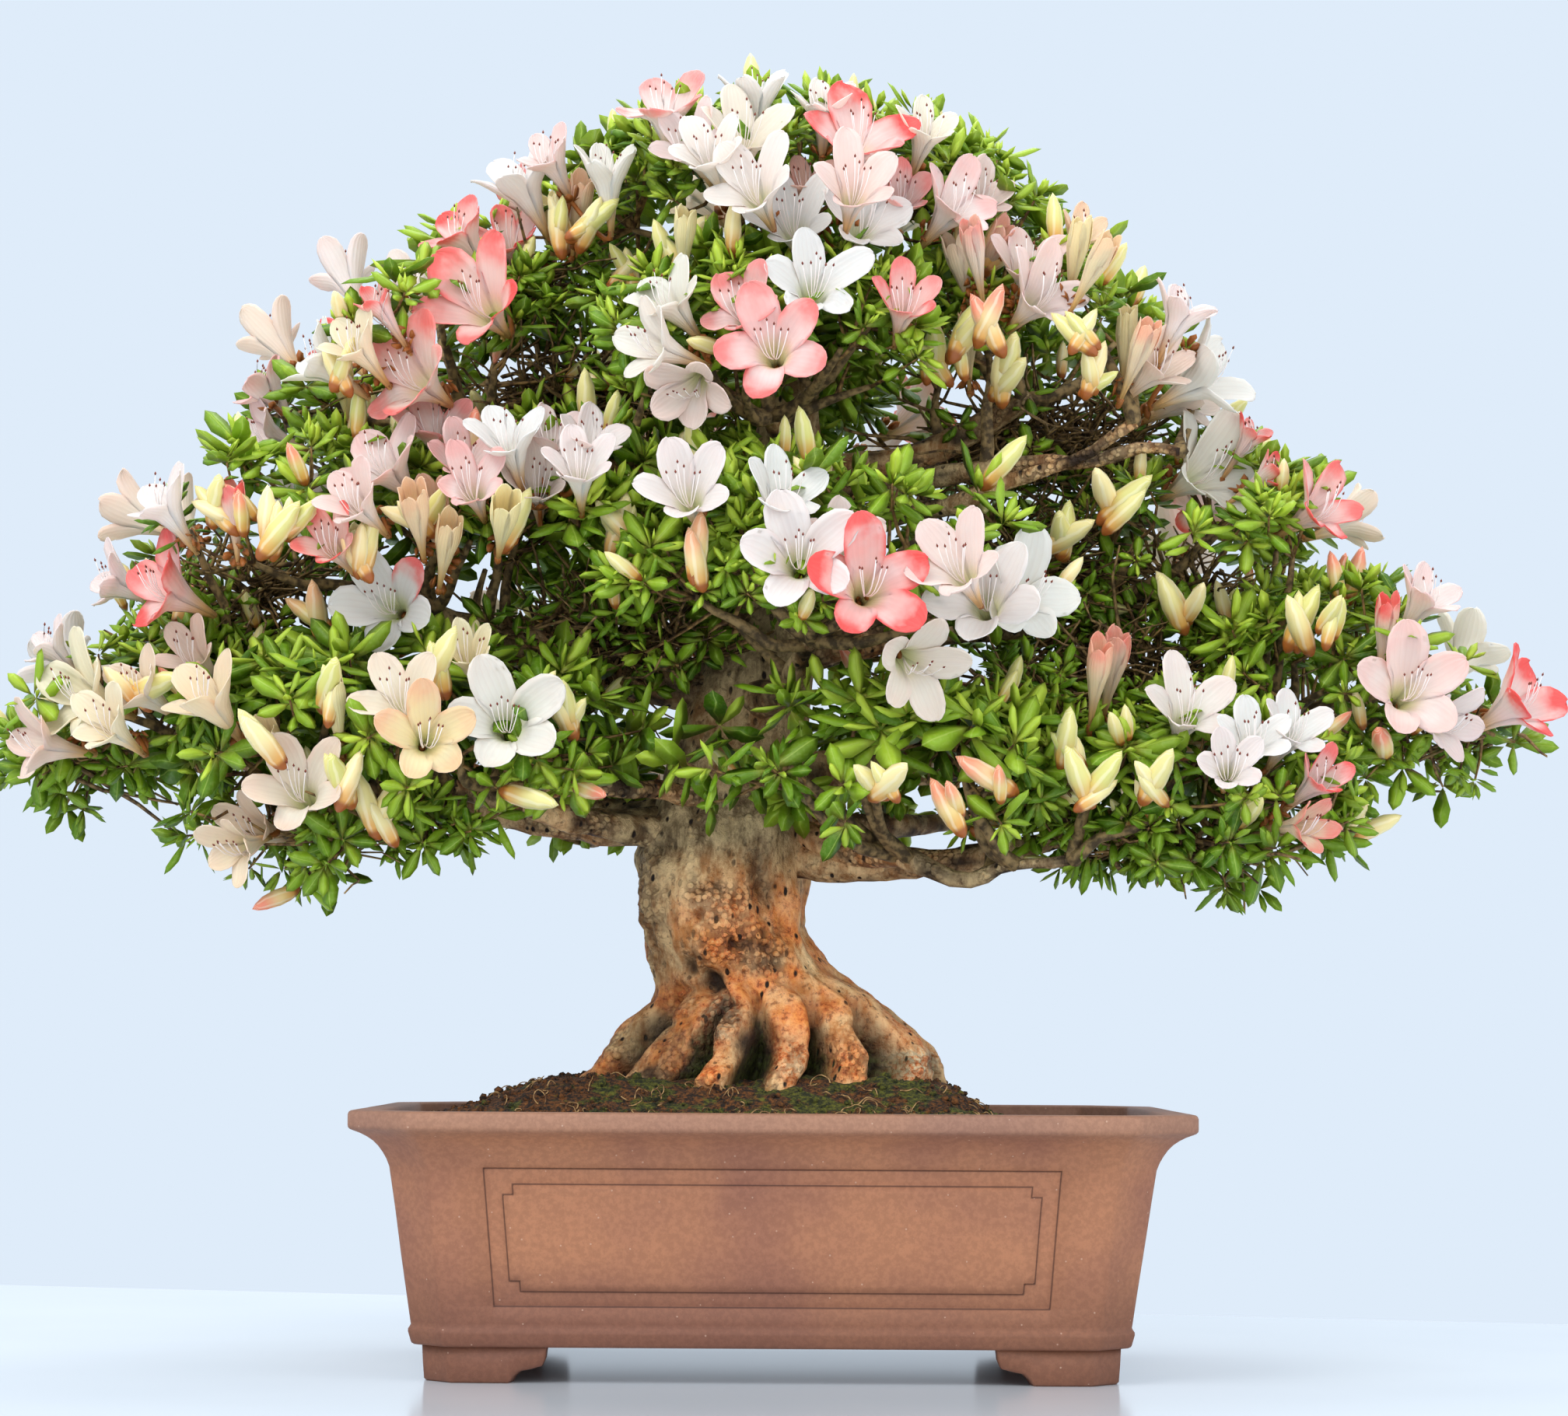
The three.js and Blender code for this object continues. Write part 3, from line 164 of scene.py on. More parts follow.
# Twiggy spaces between the pads: centre, half sizes, and how many sparse shoots and bare twigs they hold
THICKETS = [
    ((-122, 10, 540), (72, 46, 44), 80, 260), ((158, 34, 520), (112, 52, 30), 80, 340),
    ((146, 36, 446), (80, 52, 56), 90, 260), ((200, 16, 386), (84, 50, 30), 60, 200),
    ((-292, 14, 398), (86, 48, 22), 50, 120), ((-92, -20, 400), (80, 50, 34), 50, 220),
    ((140, -16, 358), (92, 56, 26), 50, 110), ((-210, 36, 490), (92, 52, 26), 50, 100),
    ((-20, 40, 470), (80, 46, 40), 70, 60), ((352, 0, 342), (40, 50, 13), 24, 16),
    ((-390, -20, 328), (44, 40, 12), 44, 24), ((-236, -84, 288), (90, 44, 15), 60, 40),
    ((232, -62, 286), (92, 50, 14), 70, 60), ((406, 0, 352), (28, 40, 12), 24, 12),
    ((-262, 0, 532), (28, 40, 24), 26, 30), ((238, 34, 438), (52, 36, 26), 40, 90),
    ((-290, -16, 432), (46, 40, 26), 40, 90), ((-138, -6, 606), (30, 36, 28), 30, 40),
]

# The first of the thickets whose leaves are larger
FIRST_LOW = 9
# The lowest shoots of a pad, as the sine of the elevation
LOWEST_SHOOT = -0.55

# Parts of the picture where few leaves hide the twigs: pixel x and y of the middle, half width, half height,
# and the share of the leaves that stay
SPARSE = [
    (1250, 668, 170, 62, 0.3), (1290, 578, 235, 38, 0.12), (706, 489, 110, 55, 0.15), (780, 800, 95, 60, 0.4),
    (408, 765, 100, 32, 0.25), (1540, 690, 130, 42, 0.6), (1440, 880, 70, 40, 0.4),
    (1010, 945, 115, 42, 0.25), (560, 768, 90, 34, 0.35), (660, 860, 60, 26, 0.4),
    (1640, 860, 110, 26, 0.45), (1180, 980, 110, 30, 0.45), (1240, 520, 160, 26, 0.3),
    (990, 560, 90, 30, 0.4),
]

# Outline of the canopy in the photograph, in pixels, clockwise from the top
OUTLINE = np.array([
    (927, 80), (1109, 85), (1230, 108), (1310, 151), (1411, 282), (1452, 358), (1572, 423), (1603, 494),
    (1734, 600), (1760, 716), (1875, 776), (1935, 830), (1998, 930), (2012, 972), (1885, 1018), (1814, 1050),
    (1712, 1120), (1708, 1165), (1562, 1190), (1411, 1150), (1340, 1122), (1139, 1142), (1068, 1110),
    (1018, 1155), (940, 1090), (816, 1010), (766, 1078), (706, 1058), (484, 1128), (433, 1178), (295, 1172),
    (285, 1120), (200, 1075), (30, 1036), (-4, 1008), (0, 890), (40, 800), (95, 760), (160, 650), (200, 608),
    (395, 600), (300, 592), (276, 550), (326, 440), (397, 397), (430, 347), (530, 306), (620, 228),
    (700, 146),
], float)

# Main branches: which lump, height on the trunk, radius there, sag of the middle
BRANCHES = [
    (1, 470, 13, -6), (2, 490, 10, 4), (3, 500, 13, -12), (4, 372, 15, -4), (6, 370, 12, -8),
    (7, 400, 13, 0), (8, 300, 11, -14), (9, 296, 10, -10), (11, 282, 12, -18), (12, 330, 12, -6),
    (14, 400, 12, -4), (15, 310, 11, -8), (17, 305, 11, -8),
]

# Bare limbs in front of the trunk: start, bend and end
BARE_LIMBS = [
    ((24, -6, 486), (118, -62, 506), (222, -66, 505)), ((14, -10, 468), (96, -50, 470), (196, -70, 520)),
    ((-6, -8, 470), (-60, -70, 498), (-150, -92, 492)), ((10, -6, 300), (80, -70, 262), (160, -96, 278)),
    ((-20, -14, 322), (-84, -66, 306), (-150, -90, 318)),
]

# Where the photograph was taken from, in the same millimetres, the focal length in pixels, pitch and roll in
# degrees, and the photograph's middle and width in pixels
VIEW = {"x": 4.5, "y": -2118, "z": 183, "focal": 4838, "pitch": 4.98, "roll": 0.35,
        "mid_x": 1008, "mid_y": 910.5, "width": 2016}

# Blooms in bunches that share a bud. Each bloom: pixel x and y of its mouth, turn to the right,
# tilt up, reach of its lobes, how far open, and how much coral, blush and cream it has
BUNCHES = [
    ("pink", [(855, 136, -10, 55, 25, 0.8, 0.7, 0.3, 0)]),
    ("white", [(958, 171, 10, 40, 27, 0.8, 0, 0.1, 0.3), (912, 197, -20, 30, 24, 0.7, 0, 0.1, 0.1),
               (973, 119, 0, 75, 24, 0.6, 0, 0, 0)]),
    ("pink", [(1104, 176, 15, 35, 29, 0.9, 1.0, 0.6, 0)]),
    ("white", [(781, 222, -10, 70, 26, 0.5, 0, 0, 0.1), (670, 237, -55, 55, 27, 0.7, 0, 0.1, 0)]),
    ("pink", [(615, 388, -25, 5, 30, 0.9, 0.95, 0.8, 0.1), (590, 297, -45, 40, 22, 0.8, 0.9, 0.5, 0),
              (655, 302, -15, 40, 22, 0.7, 0.9, 0.5, 0)]),
    ("pink", [(484, 388, -50, 45, 18, 0.35, 0.9, 0.5, 0)]),
    ("pink", [(529, 484, -35, 0, 29, 0.9, 0.75, 0.5, 0.2)]),
    ("white", [(408, 464, -75, 25, 24, 0.7, 0, 0, 0.1)]),
    ("white", [(338, 494, -65, 45, 22, 0.7, 0.4, 0.3, 0), (333, 559, -60, -5, 23, 0.8, 0.25, 0.3, 0)]),
    ("white", [(1048, 363, 8, 5, 27, 0.9, 0, 0, 0)]),
    ("pink", [(953, 393, -30, 20, 24, 0.8, 0.7, 0.6, 0), (993, 444, -5, -5, 28, 0.9, 0.75, 0.7, 0)]),
    ("pink", [(1164, 388, 10, 25, 22, 0.6, 0.75, 0.7, 0)]),
    ("white", [(857, 383, -45, 30, 24, 0.8, 0, 0, 0.2), (837, 444, -60, -5, 24, 0.8, 0, 0.1, 0.2),
               (887, 504, -20, -40, 24, 0.8, 0.1, 0.3, 0.2)]),
    ("white", [(1018, 282, -10, 20, 27, 0.8, 0, 0, 0), (1114, 282, 20, 15, 27, 0.8, 0, 0.05, 0),
               (1038, 232, 0, 45, 20, 0.7, 0.1, 0.7, 0.4)]),
    ("white", [(1230, 262, 40, 25, 26, 0.8, 0.3, 0.3, 0)]),
    ("white", [(1341, 378, 35, 15, 28, 0.8, 0.12, 0.3, 0)]),
    ("white", [(1552, 484, 70, 15, 30, 0.8, 0, 0, 0.1), (1522, 398, 60, 60, 22, 0.7, 0.15, 0.2, 0)]),
    ("white", [(1552, 605, 45, 5, 31, 0.9, 0, 0, 0.2)]),
    ("pink", [(1613, 554, 60, 50, 15, 0.5, 0.9, 0.5, 0), (1638, 605, 60, 20, 15, 0.5, 0.9, 0.5, 0),
              (1704, 650, 50, 10, 24, 0.8, 0.9, 0.7, 0)]),
    ("white", [(494, 595, -40, 30, 28, 0.8, 0.25, 0.35, 0), (595, 590, 0, 30, 24, 0.6, 0.35, 0.35, 0)]),
    ("white", [(655, 564, -15, 45, 25, 0.7, 0, 0, 0), (711, 564, 5, 50, 23, 0.6, 0.15, 0.3, 0),
               (761, 564, 30, 45, 22, 0.7, 0.1, 0.1, 0)]),
    ("white", [(882, 630, -10, 10, 27, 0.8, 0.05, 0.15, 0)]),
    ("white", [(1008, 635, 20, 35, 27, 0.7, 0, 0, 0), (1028, 716, 0, -5, 31, 0.9, 0.05, 0.1, 0)]),
    ("pink", [(1119, 751, 10, -5, 30, 0.9, 1.0, 0.9, 0)]),
    ("white", [(1179, 857, 25, -30, 28, 0.8, 0.1, 0.1, 0.25)]),
    ("white", [(1265, 766, -10, 5, 31, 0.9, 0, 0.1, 0), (1320, 766, 30, -5, 30, 0.9, 0, 0, 0.1)]),
    ("white", [(499, 776, -10, -10, 29, 0.9, -0.9, 0, 0)]),
    ("pink", [(423, 696, -20, 10, 21, 0.6, 0.9, 0.7, 0.2)]),
    ("pink", [(207, 756, -55, 5, 27, 0.9, 0.8, 0.9, 0), (141, 746, -75, 10, 22, 0.7, 0.1, 0.2, 0)]),
    ("white", [(207, 645, -50, 45, 24, 0.7, 0.05, 0.15, 0)]),
    ("white", [(60, 827, -70, 40, 18, 0.7, 0.1, 0.2, 0), (101, 892, -55, 0, 29, 0.8, 0, 0, 0.6)]),
    ("white", [(45, 958, -60, -10, 25, 0.8, 0.1, 0.4, 0.3)]),
    ("white", [(267, 897, -40, 35, 27, 0.7, 0.05, 0.25, 0.7)]),
    ("white", [(514, 897, -15, 20, 27, 0.8, 0.1, 0.1, 0.4), (549, 948, 10, -10, 27, 0.8, 0.3, 0.1, 0.9)]),
    ("white", [(650, 927, 0, -5, 29, 1.0, 0.05, 0, 0.15)]),
    ("white", [(383, 1013, -10, 5, 28, 0.8, 0.15, 0.1, 0.35), (323, 1068, -40, -10, 24, 0.6, 0.1, 0.3, 0.6)]),
    ("white", [(1527, 912, 10, 30, 26, 0.8, 0.1, 0.1, 0.1), (1613, 948, 10, 25, 23, 0.7, 0, 0, 0),
               (1663, 937, 25, 30, 24, 0.7, 0.1, 0, 0)]),
    ("white", [(1814, 887, 10, -5, 31, 0.9, 0.2, 0.4, 0.1), (1865, 932, 40, -20, 22, 0.8, 0.1, 0.2, 0)]),
    ("pink", [(1956, 902, 55, 15, 28, 0.8, 1.0, 0.6, 0)]),
    ("white", [(1835, 766, 40, 40, 24, 0.7, 0.2, 0.3, 0)]),
    ("pink", [(1683, 1063, 40, -15, 20, 0.5, 0.7, 0.4, 0.6)]),
]
# More flowers that show less, in the same numbers; the last ones are only half open
MORE_BLOOMS = [
    (968, 240, -20, 15, 28, 0.75, 0, 0.15, 0.1), (1099, 240, 8, 20, 27, 0.7, 0.15, 0.4, 0.1),
    (1192, 166, 20, 40, 22, 0.6, 0, 0, 0.3), (887, 186, -25, 20, 25, 0.65, 0.1, 0.25, 0),
    (1320, 340, 15, 30, 25, 0.7, 0.15, 0.35, 0), (605, 622, -10, 15, 25, 0.6, 0.35, 0.4, 0),
    (244, 840, -35, 20, 23, 0.6, 0.15, 0.3, 0.3), (176, 884, -45, 15, 24, 0.65, 0.05, 0.2, 0.4),
    (1392, 296, 30, 35, 20, 0.5, 0.2, 0.3, 0.7), (1160, 250, 20, 30, 22, 0.5, 0.6, 0.5, 0),
    (455, 440, -40, 30, 23, 0.6, 0, 0.1, 0.6), (745, 600, 0, 30, 24, 0.6, 0.1, 0.1, 0),
    (1232, 726, -25, 20, 28, 0.7, 0.1, 0.3, 0.1), (1700, 1000, 40, 20, 20, 0.5, 0.8, 0.5, 0),
    (455, 642, -30, 15, 24, 0.6, 0.2, 0.3, 0.1), (560, 548, -10, 45, 24, 0.7, 0.6, 0.5, 0),
    (690, 622, 0, 20, 24, 0.6, 0.1, 0.2, 0.1), (602, 838, -5, 30, 22, 0.5, 0, 0, 0.7),
    (1082, 700, 20, 15, 24, 0.7, 0.1, 0.2, 0.1), (1582, 985, 0, 0, 22, 0.6, 0.1, 0.1, 0),
    (1060, 135, 5, 60, 22, 0.6, 0, 0.05, 0.1), (1262, 250, 30, 25, 24, 0.6, 0.1, 0.3, 0.1),
    (705, 200, -35, 40, 22, 0.6, 0.2, 0.3, 0), (1490, 470, 40, 20, 24, 0.6, 0.1, 0.3, 0.3),
    (1532, 508, 55, 5, 26, 0.75, 0.05, 0.2, 0.2), (300, 1092, -30, -25, 22, 0.6, 0.1, 0.2, 0.6),
    (136, 930, -30, 10, 24, 0.6, 0, 0.1, 0.6), (560, 668, -15, 45, 31, 0.14, 0.2, 0.4, 0.7),
    (1385, 318, 15, 60, 25, 0.08, 0, 0.1, 1), (1412, 336, 40, 45, 25, 0.08, 0.2, 0.2, 0.9),
    (1432, 852, 18, 62, 27, 0.1, 0.6, 0.4, 0.7), (1232, 334, -25, 50, 26, 0.1, 0.1, 0.3, 0.6),
    (1448, 430, 5, 65, 25, 0.08, 0, 0.1, 1), (1468, 446, 30, 50, 25, 0.1, 0.4, 0.3, 0.8),
    (535, 660, -5, 35, 27, 0.12, 0.2, 0.3, 0.9), (575, 696, 15, 40, 25, 0.1, 0.1, 0.2, 1),
    (648, 668, 10, 20, 27, 0.12, 0, 0, 1), (462, 712, -5, 60, 24, 0.08, 0, 0, 1),
    (745, 262, 15, 55, 25, 0.12, 0.2, 0.3, 0.8), (705, 285, -10, 50, 24, 0.1, 0, 0, 1),
    (1252, 320, -20, 55, 24, 0.1, 0.5, 0.4, 0.5), (1280, 316, 35, 45, 24, 0.1, 0.4, 0.4, 0.5),
    (300, 650, -5, 65, 23, 0.1, 0.9, 0.6, 0.5), (1412, 862, 12, 60, 25, 0.1, 0.5, 0.4, 0.9),
    (1782, 800, 10, 65, 23, 0.1, 0.8, 0.5, 0.4), (440, 490, -10, 50, 24, 0.1, 0, 0, 1),
    (880, 300, 5, 60, 22, 0.1, 0, 0, 1), (1245, 432, -5, 60, 22, 0.08, 0.3, 0.2, 1),
    (350, 960, -25, 45, 24, 0.12, 0.1, 0.1, 1), (430, 905, -10, 60, 23, 0.1, 0, 0, 1),
]
# In mm: length of a bloom's tube, how far forward and back petals may reach, how far a bloom is set back
# into the leaves, and how far a shared bud and a single one stand off the pad
BLOOM_TUBE = 27
FRONT_MOST = -233
SET_BACK = 9
BUD_SEAT = 1.0
GAP = 0.4
# The least distance between two blooms, as a share of both their reaches
ROOM_SHARE = 0.62
# Single flowers on the sides and the back of the pads: pad, middle bearing and half range in degrees
AROUND = [(0, 90, 80), (1, 140, 50), (3, 40, 50), (4, 150, 45), (7, 50, 50), (8, 150, 45), (12, 30, 50),
          (13, 90, 60), (14, 95, 60), (15, 120, 50), (16, 90, 50), (17, 60, 50)]
# Bunches of two on the back: their lumps, and tilt, reach and opening of their flowers
BACK_BUNCHES = {"lumps": [13, 14, 15, 17], "tilt": 24, "reach": 26, "open": 0.85, "seed": 5021}


# Numbers, noise and curves

def linear(hex_colour):
    """The linear colour of an sRGB hex value, with full alpha."""
    channels = [int(hex_colour[i:i + 2], 16) / 255 for i in (1, 3, 5)]
    return tuple(c / 12.92 if c <= 0.04045 else ((c + 0.055) / 1.055) ** 2.4 for c in channels) + (1.0,)


def unit(vectors):
    """Each vector divided by its length."""
    return vectors / np.maximum(np.linalg.norm(vectors, axis=-1, keepdims=True), 1e-9)


def smooth(x, low, high):
    """Zero below low, one above high, and the cubic 3t^2 - 2t^3 between them."""
    t = np.clip((np.asarray(x, float) - low) / (high - low), 0, 1)
    return t * t * (3 - 2 * t)


def spline(knots, values, at):
    """A smooth curve through rows of values: cubic pieces whose slope at a knot is the mean slope
    beside it."""
    slope = np.gradient(values, knots, axis=0)
    i = np.clip(np.searchsorted(knots, at, side="right") - 1, 0, len(knots) - 2)
    width = (knots[i + 1] - knots[i])[:, None]
    t = (np.clip(at, knots[0], knots[-1]) - knots[i])[:, None] / width
    bend = (1 - t) * slope[i] * width - t * slope[i + 1] * width
    return values[i] + (values[i + 1] - values[i]) * t * t * (3 - 2 * t) + t * (1 - t) * bend


def noise(points, size, seed):
    """Smooth noise from -1 to 1: a repeatable value at each corner of a lattice of that size,
    blended between."""
    cells = np.floor(points / size).astype(np.int64)
    part = points / size - cells
    part = part * part * (3 - 2 * part)
    total = np.zeros(points.shape[:-1])
    for corner in np.ndindex(2, 2, 2):
        key = cells + corner
        mixed = (key[..., 0] * 374761393 + key[..., 1] * 668265263 + key[..., 2] * 974634777 + seed * 40503)
        mixed = ((mixed & 0xFFFFFFFF) ^ ((mixed & 0xFFFFFFFF) >> 13)) * 1274126177 & 0xFFFFFFFF
        value = ((mixed ^ (mixed >> 16)) & 0xFFFF) / 32767.5 - 1
        total += value * np.prod(np.where(corner, part, 1 - part), axis=-1)
    return total


def rough(points, size, octaves, seed):
    """Noise on noise: each layer half as wide and half as strong as the last."""
    return sum(noise(points, size / 2 ** k, seed + k) / 2 ** k for k in range(octaves))


def shake(points, size, seed):
    """Noise of that size along each of the three axes."""
    return np.stack([noise(points, size, seed + k) for k in range(3)], axis=-1)


def upright_frames(directions):
    """For each direction, three axes as columns: across, aside and the direction itself.
    It is the shortest turn that takes +Z to the direction."""
    a = unit(directions)
    x, y, z = a[..., 0], a[..., 1], a[..., 2]
    k = 1 / np.maximum(1 + z, 1e-6)
    across = np.stack([1 - x * x * k, -x * y * k, -x], axis=-1)
    aside = np.stack([-x * y * k, 1 - y * y * k, -y], axis=-1)
    return np.stack([across, aside, a], axis=-1)


def to_frame(points):
    """Millimetres about the pot's centre to metres in the frame."""
    return np.asarray(points, float) * MM + POT_AT


def stacked(*values):
    """Arrays, stretched to one shape, as the numbers along a new last axis."""
    return np.stack(np.broadcast_arrays(*values), axis=-1)


def bow(start, bend, end, t):
    """A curve from start to end drawn towards bend: (1 - t)^2 of start, 2t(1 - t) of bend and t^2 of end."""
    return (1 - t) ** 2 * start + 2 * t * (1 - t) * bend + t * t * end


# Mesh making

def add_piece(name, shape, material, replaced=(), keys=()):
    """A smooth shaded mesh piece that rides on the body. shape holds points in mm, blocks of triangles
    or quads, and marks where there are any: four numbers a point for each attribute that keys names."""
    points, faces, *marks = shape
    faces = [np.asarray(block, np.int32) for block in faces]
    corners = np.concatenate([block.ravel() for block in faces])
    totals = np.concatenate([np.full(len(block), block.shape[1], np.int32) for block in faces])
    mesh = bpy.data.meshes.new(name)
    mesh.vertices.add(len(points))
    mesh.vertices.foreach_set("co", to_frame(points).astype(np.float32).ravel())
    mesh.loops.add(len(corners))
    mesh.loops.foreach_set("vertex_index", corners)
    mesh.polygons.add(len(totals))
    mesh.polygons.foreach_set("loop_start", (np.cumsum(totals) - totals).astype(np.int32))
    mesh.polygons.foreach_set("loop_total", totals)
    mesh.update(calc_edges=True)
    mesh.shade_smooth()
    for k, key in enumerate(keys):
        layer = mesh.attributes.new(key, "FLOAT_COLOR", "POINT")
        layer.data.foreach_set("color", marks[0][:, 4 * k:4 * k + 4].astype(np.float32).ravel())
    mesh.materials.append(material)
    piece = bpy.data.objects.new(name, mesh)
    bpy.context.scene.collection.objects.link(piece)
    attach(piece, BODY)
    if replaced:
        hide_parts(*replaced)


def grid_quads(rows, columns, wrap=False):
    """Quads of a grid of points numbered row by row; wrap joins the last column to the first."""
    k = np.arange(rows - 1)[:, None] * columns
    i = np.arange(columns if wrap else columns - 1)[None, :]
    j = (i + 1) % columns
    return np.stack([k + i, k + j, k + columns + j, k + columns + i], axis=-1).reshape(-1, 4)


def fan(ring, centre):
    """Triangles from a centre point to a ring of point numbers."""
    return np.stack([np.full(len(ring), centre), ring, np.roll(ring, -1)], axis=-1)


def closed_rings(grid, ends):
    """Points and faces of a skin of closed rings, row by row, with one point to close each end."""
    rows, columns = grid.shape[:2]
    number = rows * columns
    caps = [fan(np.arange(columns)[::-1], number), fan(np.arange(columns) + number - columns, number + 1)]
    return np.concatenate([grid.reshape(-1, 3), ends]), [grid_quads(rows, columns, wrap=True)] + caps


def tubes(paths, radii, sides):
    """Round tubes along many paths: rings square to each path, closed by a point at both ends.
    paths is count x steps x 3 and radii count x steps. Returns points and face blocks."""
    count, steps, _ = paths.shape
    along = unit(np.gradient(paths, axis=1))
    helper = np.where(np.abs(along[:, :1, 2:]) > 0.8, [[[1.0, 0.0, 0.0]]], [[[0.0, 0.0, 1.0]]])
    across = unit(np.cross(along, np.broadcast_to(helper, along.shape)))
    aside = np.cross(along, across)
    angle = np.arange(sides) * 2 * math.pi / sides
    spoke = np.cos(angle)[:, None] * across[:, :, None] + np.sin(angle)[:, None] * aside[:, :, None]
    rings = paths[:, :, None] + radii[:, :, None, None] * spoke
    ends = np.stack([paths[:, 0] - along[:, 0] * radii[:, :1] * 0.5,
                     paths[:, -1] + along[:, -1] * radii[:, -1:] * 0.5], axis=1)
    points = np.concatenate([rings.reshape(count, -1, 3), ends], axis=1)
    each = points.shape[1]
    first, last = np.arange(sides), np.arange(sides) + (steps - 1) * sides
    quads = grid_quads(steps, sides, wrap=True)
    caps = np.concatenate([fan(first[::-1], each - 2), fan(last, each - 1)])
    start = (np.arange(count) * each)[:, None, None]
    return points.reshape(-1, 3), [(quads + start).reshape(-1, 4), (caps + start).reshape(-1, 3)]


def sheets(top, lift):
    """Thin closed sheets from grids of points, count x rows x columns x 3: each grid and a copy of it
    moved back by lift along its own normals, joined round the edge."""
    count, rows, columns, _ = top.shape
    along = np.gradient(top, axis=1)
    across = np.gradient(top, axis=2)
    normal = unit(np.cross(across, along))
    back = top - normal * lift
    points = np.concatenate([top.reshape(count, -1, 3), back.reshape(count, -1, 3)], axis=1)
    size = rows * columns
    front = grid_quads(rows, columns)
    number = np.arange(size).reshape(rows, columns)
    edge = np.concatenate([number[0, :], number[1:, -1], number[-1, -2::-1], number[-2:0:-1, 0]])
    after = np.roll(edge, -1)
    rim = np.stack([after, edge, edge + size, after + size], axis=-1)
    quads = np.concatenate([front, front[:, ::-1] + size, rim])
    start = (np.arange(count) * 2 * size)[:, None, None]
    return points.reshape(-1, 3), [(quads + start).reshape(-1, 4)]


def copies(shape, faces, origins, axes, scales):
    """Copies of a small shape: its points scaled, turned by the axes and moved to the origins."""
    points = np.einsum("cij,ckj->cki", axes, shape[None] * scales[:, None]) + origins[:, None]
    start = (np.arange(len(origins)) * len(shape))[:, None, None]
    return points.reshape(-1, 3), (faces[None] + start).reshape(-1, faces.shape[1])


def joined(parts):
    """Several (points, face blocks, marks) as one."""
    points, faces, marks, start = [], [], [], 0
    for p, f, m in parts:
        points.append(p)
        marks.append(m)
        faces.extend(block + start for block in f)
        start += len(p)
    return np.concatenate(points), faces, np.concatenate(marks)


# Materials

SMOOTH = {"interpolation_type": "SMOOTHSTEP"}
TIMES = {"operation": "MULTIPLY"}


def new_material(name):
    """An empty node material and the function that adds a node to it."""
    material = bpy.data.materials.new(name)
    material.use_nodes = True
    material.node_tree.nodes.clear()
    return material, partial(node, material.node_tree)


def node(tree, kind, inputs=(), **settings):
    """A shader node of that kind with its settings and links. inputs lists its sockets in order or maps
    them by name. Each is a value, an sRGB hex value, a node for its first output, or a pair of a node and
    an output."""
    made = tree.nodes.new("ShaderNode" + kind)
    for key, value in settings.items():
        setattr(made, key, value)
    for key, value in (inputs.items() if isinstance(inputs, dict) else enumerate(inputs)):
        if isinstance(value, bpy.types.Node):
            value = (value, 0)
        if isinstance(value, tuple) and isinstance(value[0], bpy.types.Node):
            tree.links.new(value[0].outputs[value[1]], made.inputs[key])
        else:
            made.inputs[key].default_value = linear(value) if isinstance(value, str) else value
    return made


def fired_clay(settings):
    """Unglazed stoneware clay, pressed and fired: dry and matte, with kiln shading, fine grain and pale
    specks, and painted shade towards the foot. The cut lines' mark holds where a line is cut; shade is
    painted there."""
    material, add = new_material("fired_clay")
    place = (add("TexCoord"), 3)
    height = (add("SeparateXYZ", [place]), 2)
    wide = add("TexNoise", {"Vector": place, "Scale": METRE / 95, "Detail": 3.0})
    fine = add("TexNoise", {"Vector": place, "Scale": METRE / 3.2, "Detail": 4.0, "Roughness": 0.7})
    # Grit about half a millimetre wide
    grit = add("TexVoronoi", {"Vector": place, "Scale": METRE / 8})
    groove_shade = add("Attribute", attribute_name="groove_shade")
    flame = add("MapRange", [wide, 0.36, 0.66], **SMOOTH)
    lip = add("MapRange", [height, (RIM_TOP - 16) * MM, (RIM_TOP - 6) * MM, 0, 0.6], **SMOOTH)
    # Painted shade: the clay darkens towards the foot of the pot
    foot = add("MapRange", [height, 0.075, 0.02, 0, 0.7], **SMOOTH)
    dark = add("MapRange", [fine, 0.62, 0.4, 0, 0.2], **SMOOTH)
    # Painted shade: the cut lines are darkened along their hollow
    cut = add("MapRange", [groove_shade, 0.25, 0.9, 0, 0.72], **SMOOTH)
    speck = add("MapRange", [grit, 0.075, 0.045, 0, 0.4], **SMOOTH)
    colour = add("MixRGB", [flame, settings.clay, settings.clay_warm])
    for share, own in ((lip, settings.clay_lip), (foot, "#6E4636"), (dark, "#4C2A20"), (cut, "#3A1D15"),
                       (speck, "#D9B9A2")):
        colour = add("MixRGB", [share, colour, own])
    relief = add("Bump", {"Height": fine, "Distance": 0.35 * MM, "Strength": 0.6})
    shader = add("BsdfPrincipled", {"Base Color": colour, "Roughness": 0.6, "Specular IOR Level": 0.35,
                                    "Normal": relief})
    add("OutputMaterial", [shader])
    return material


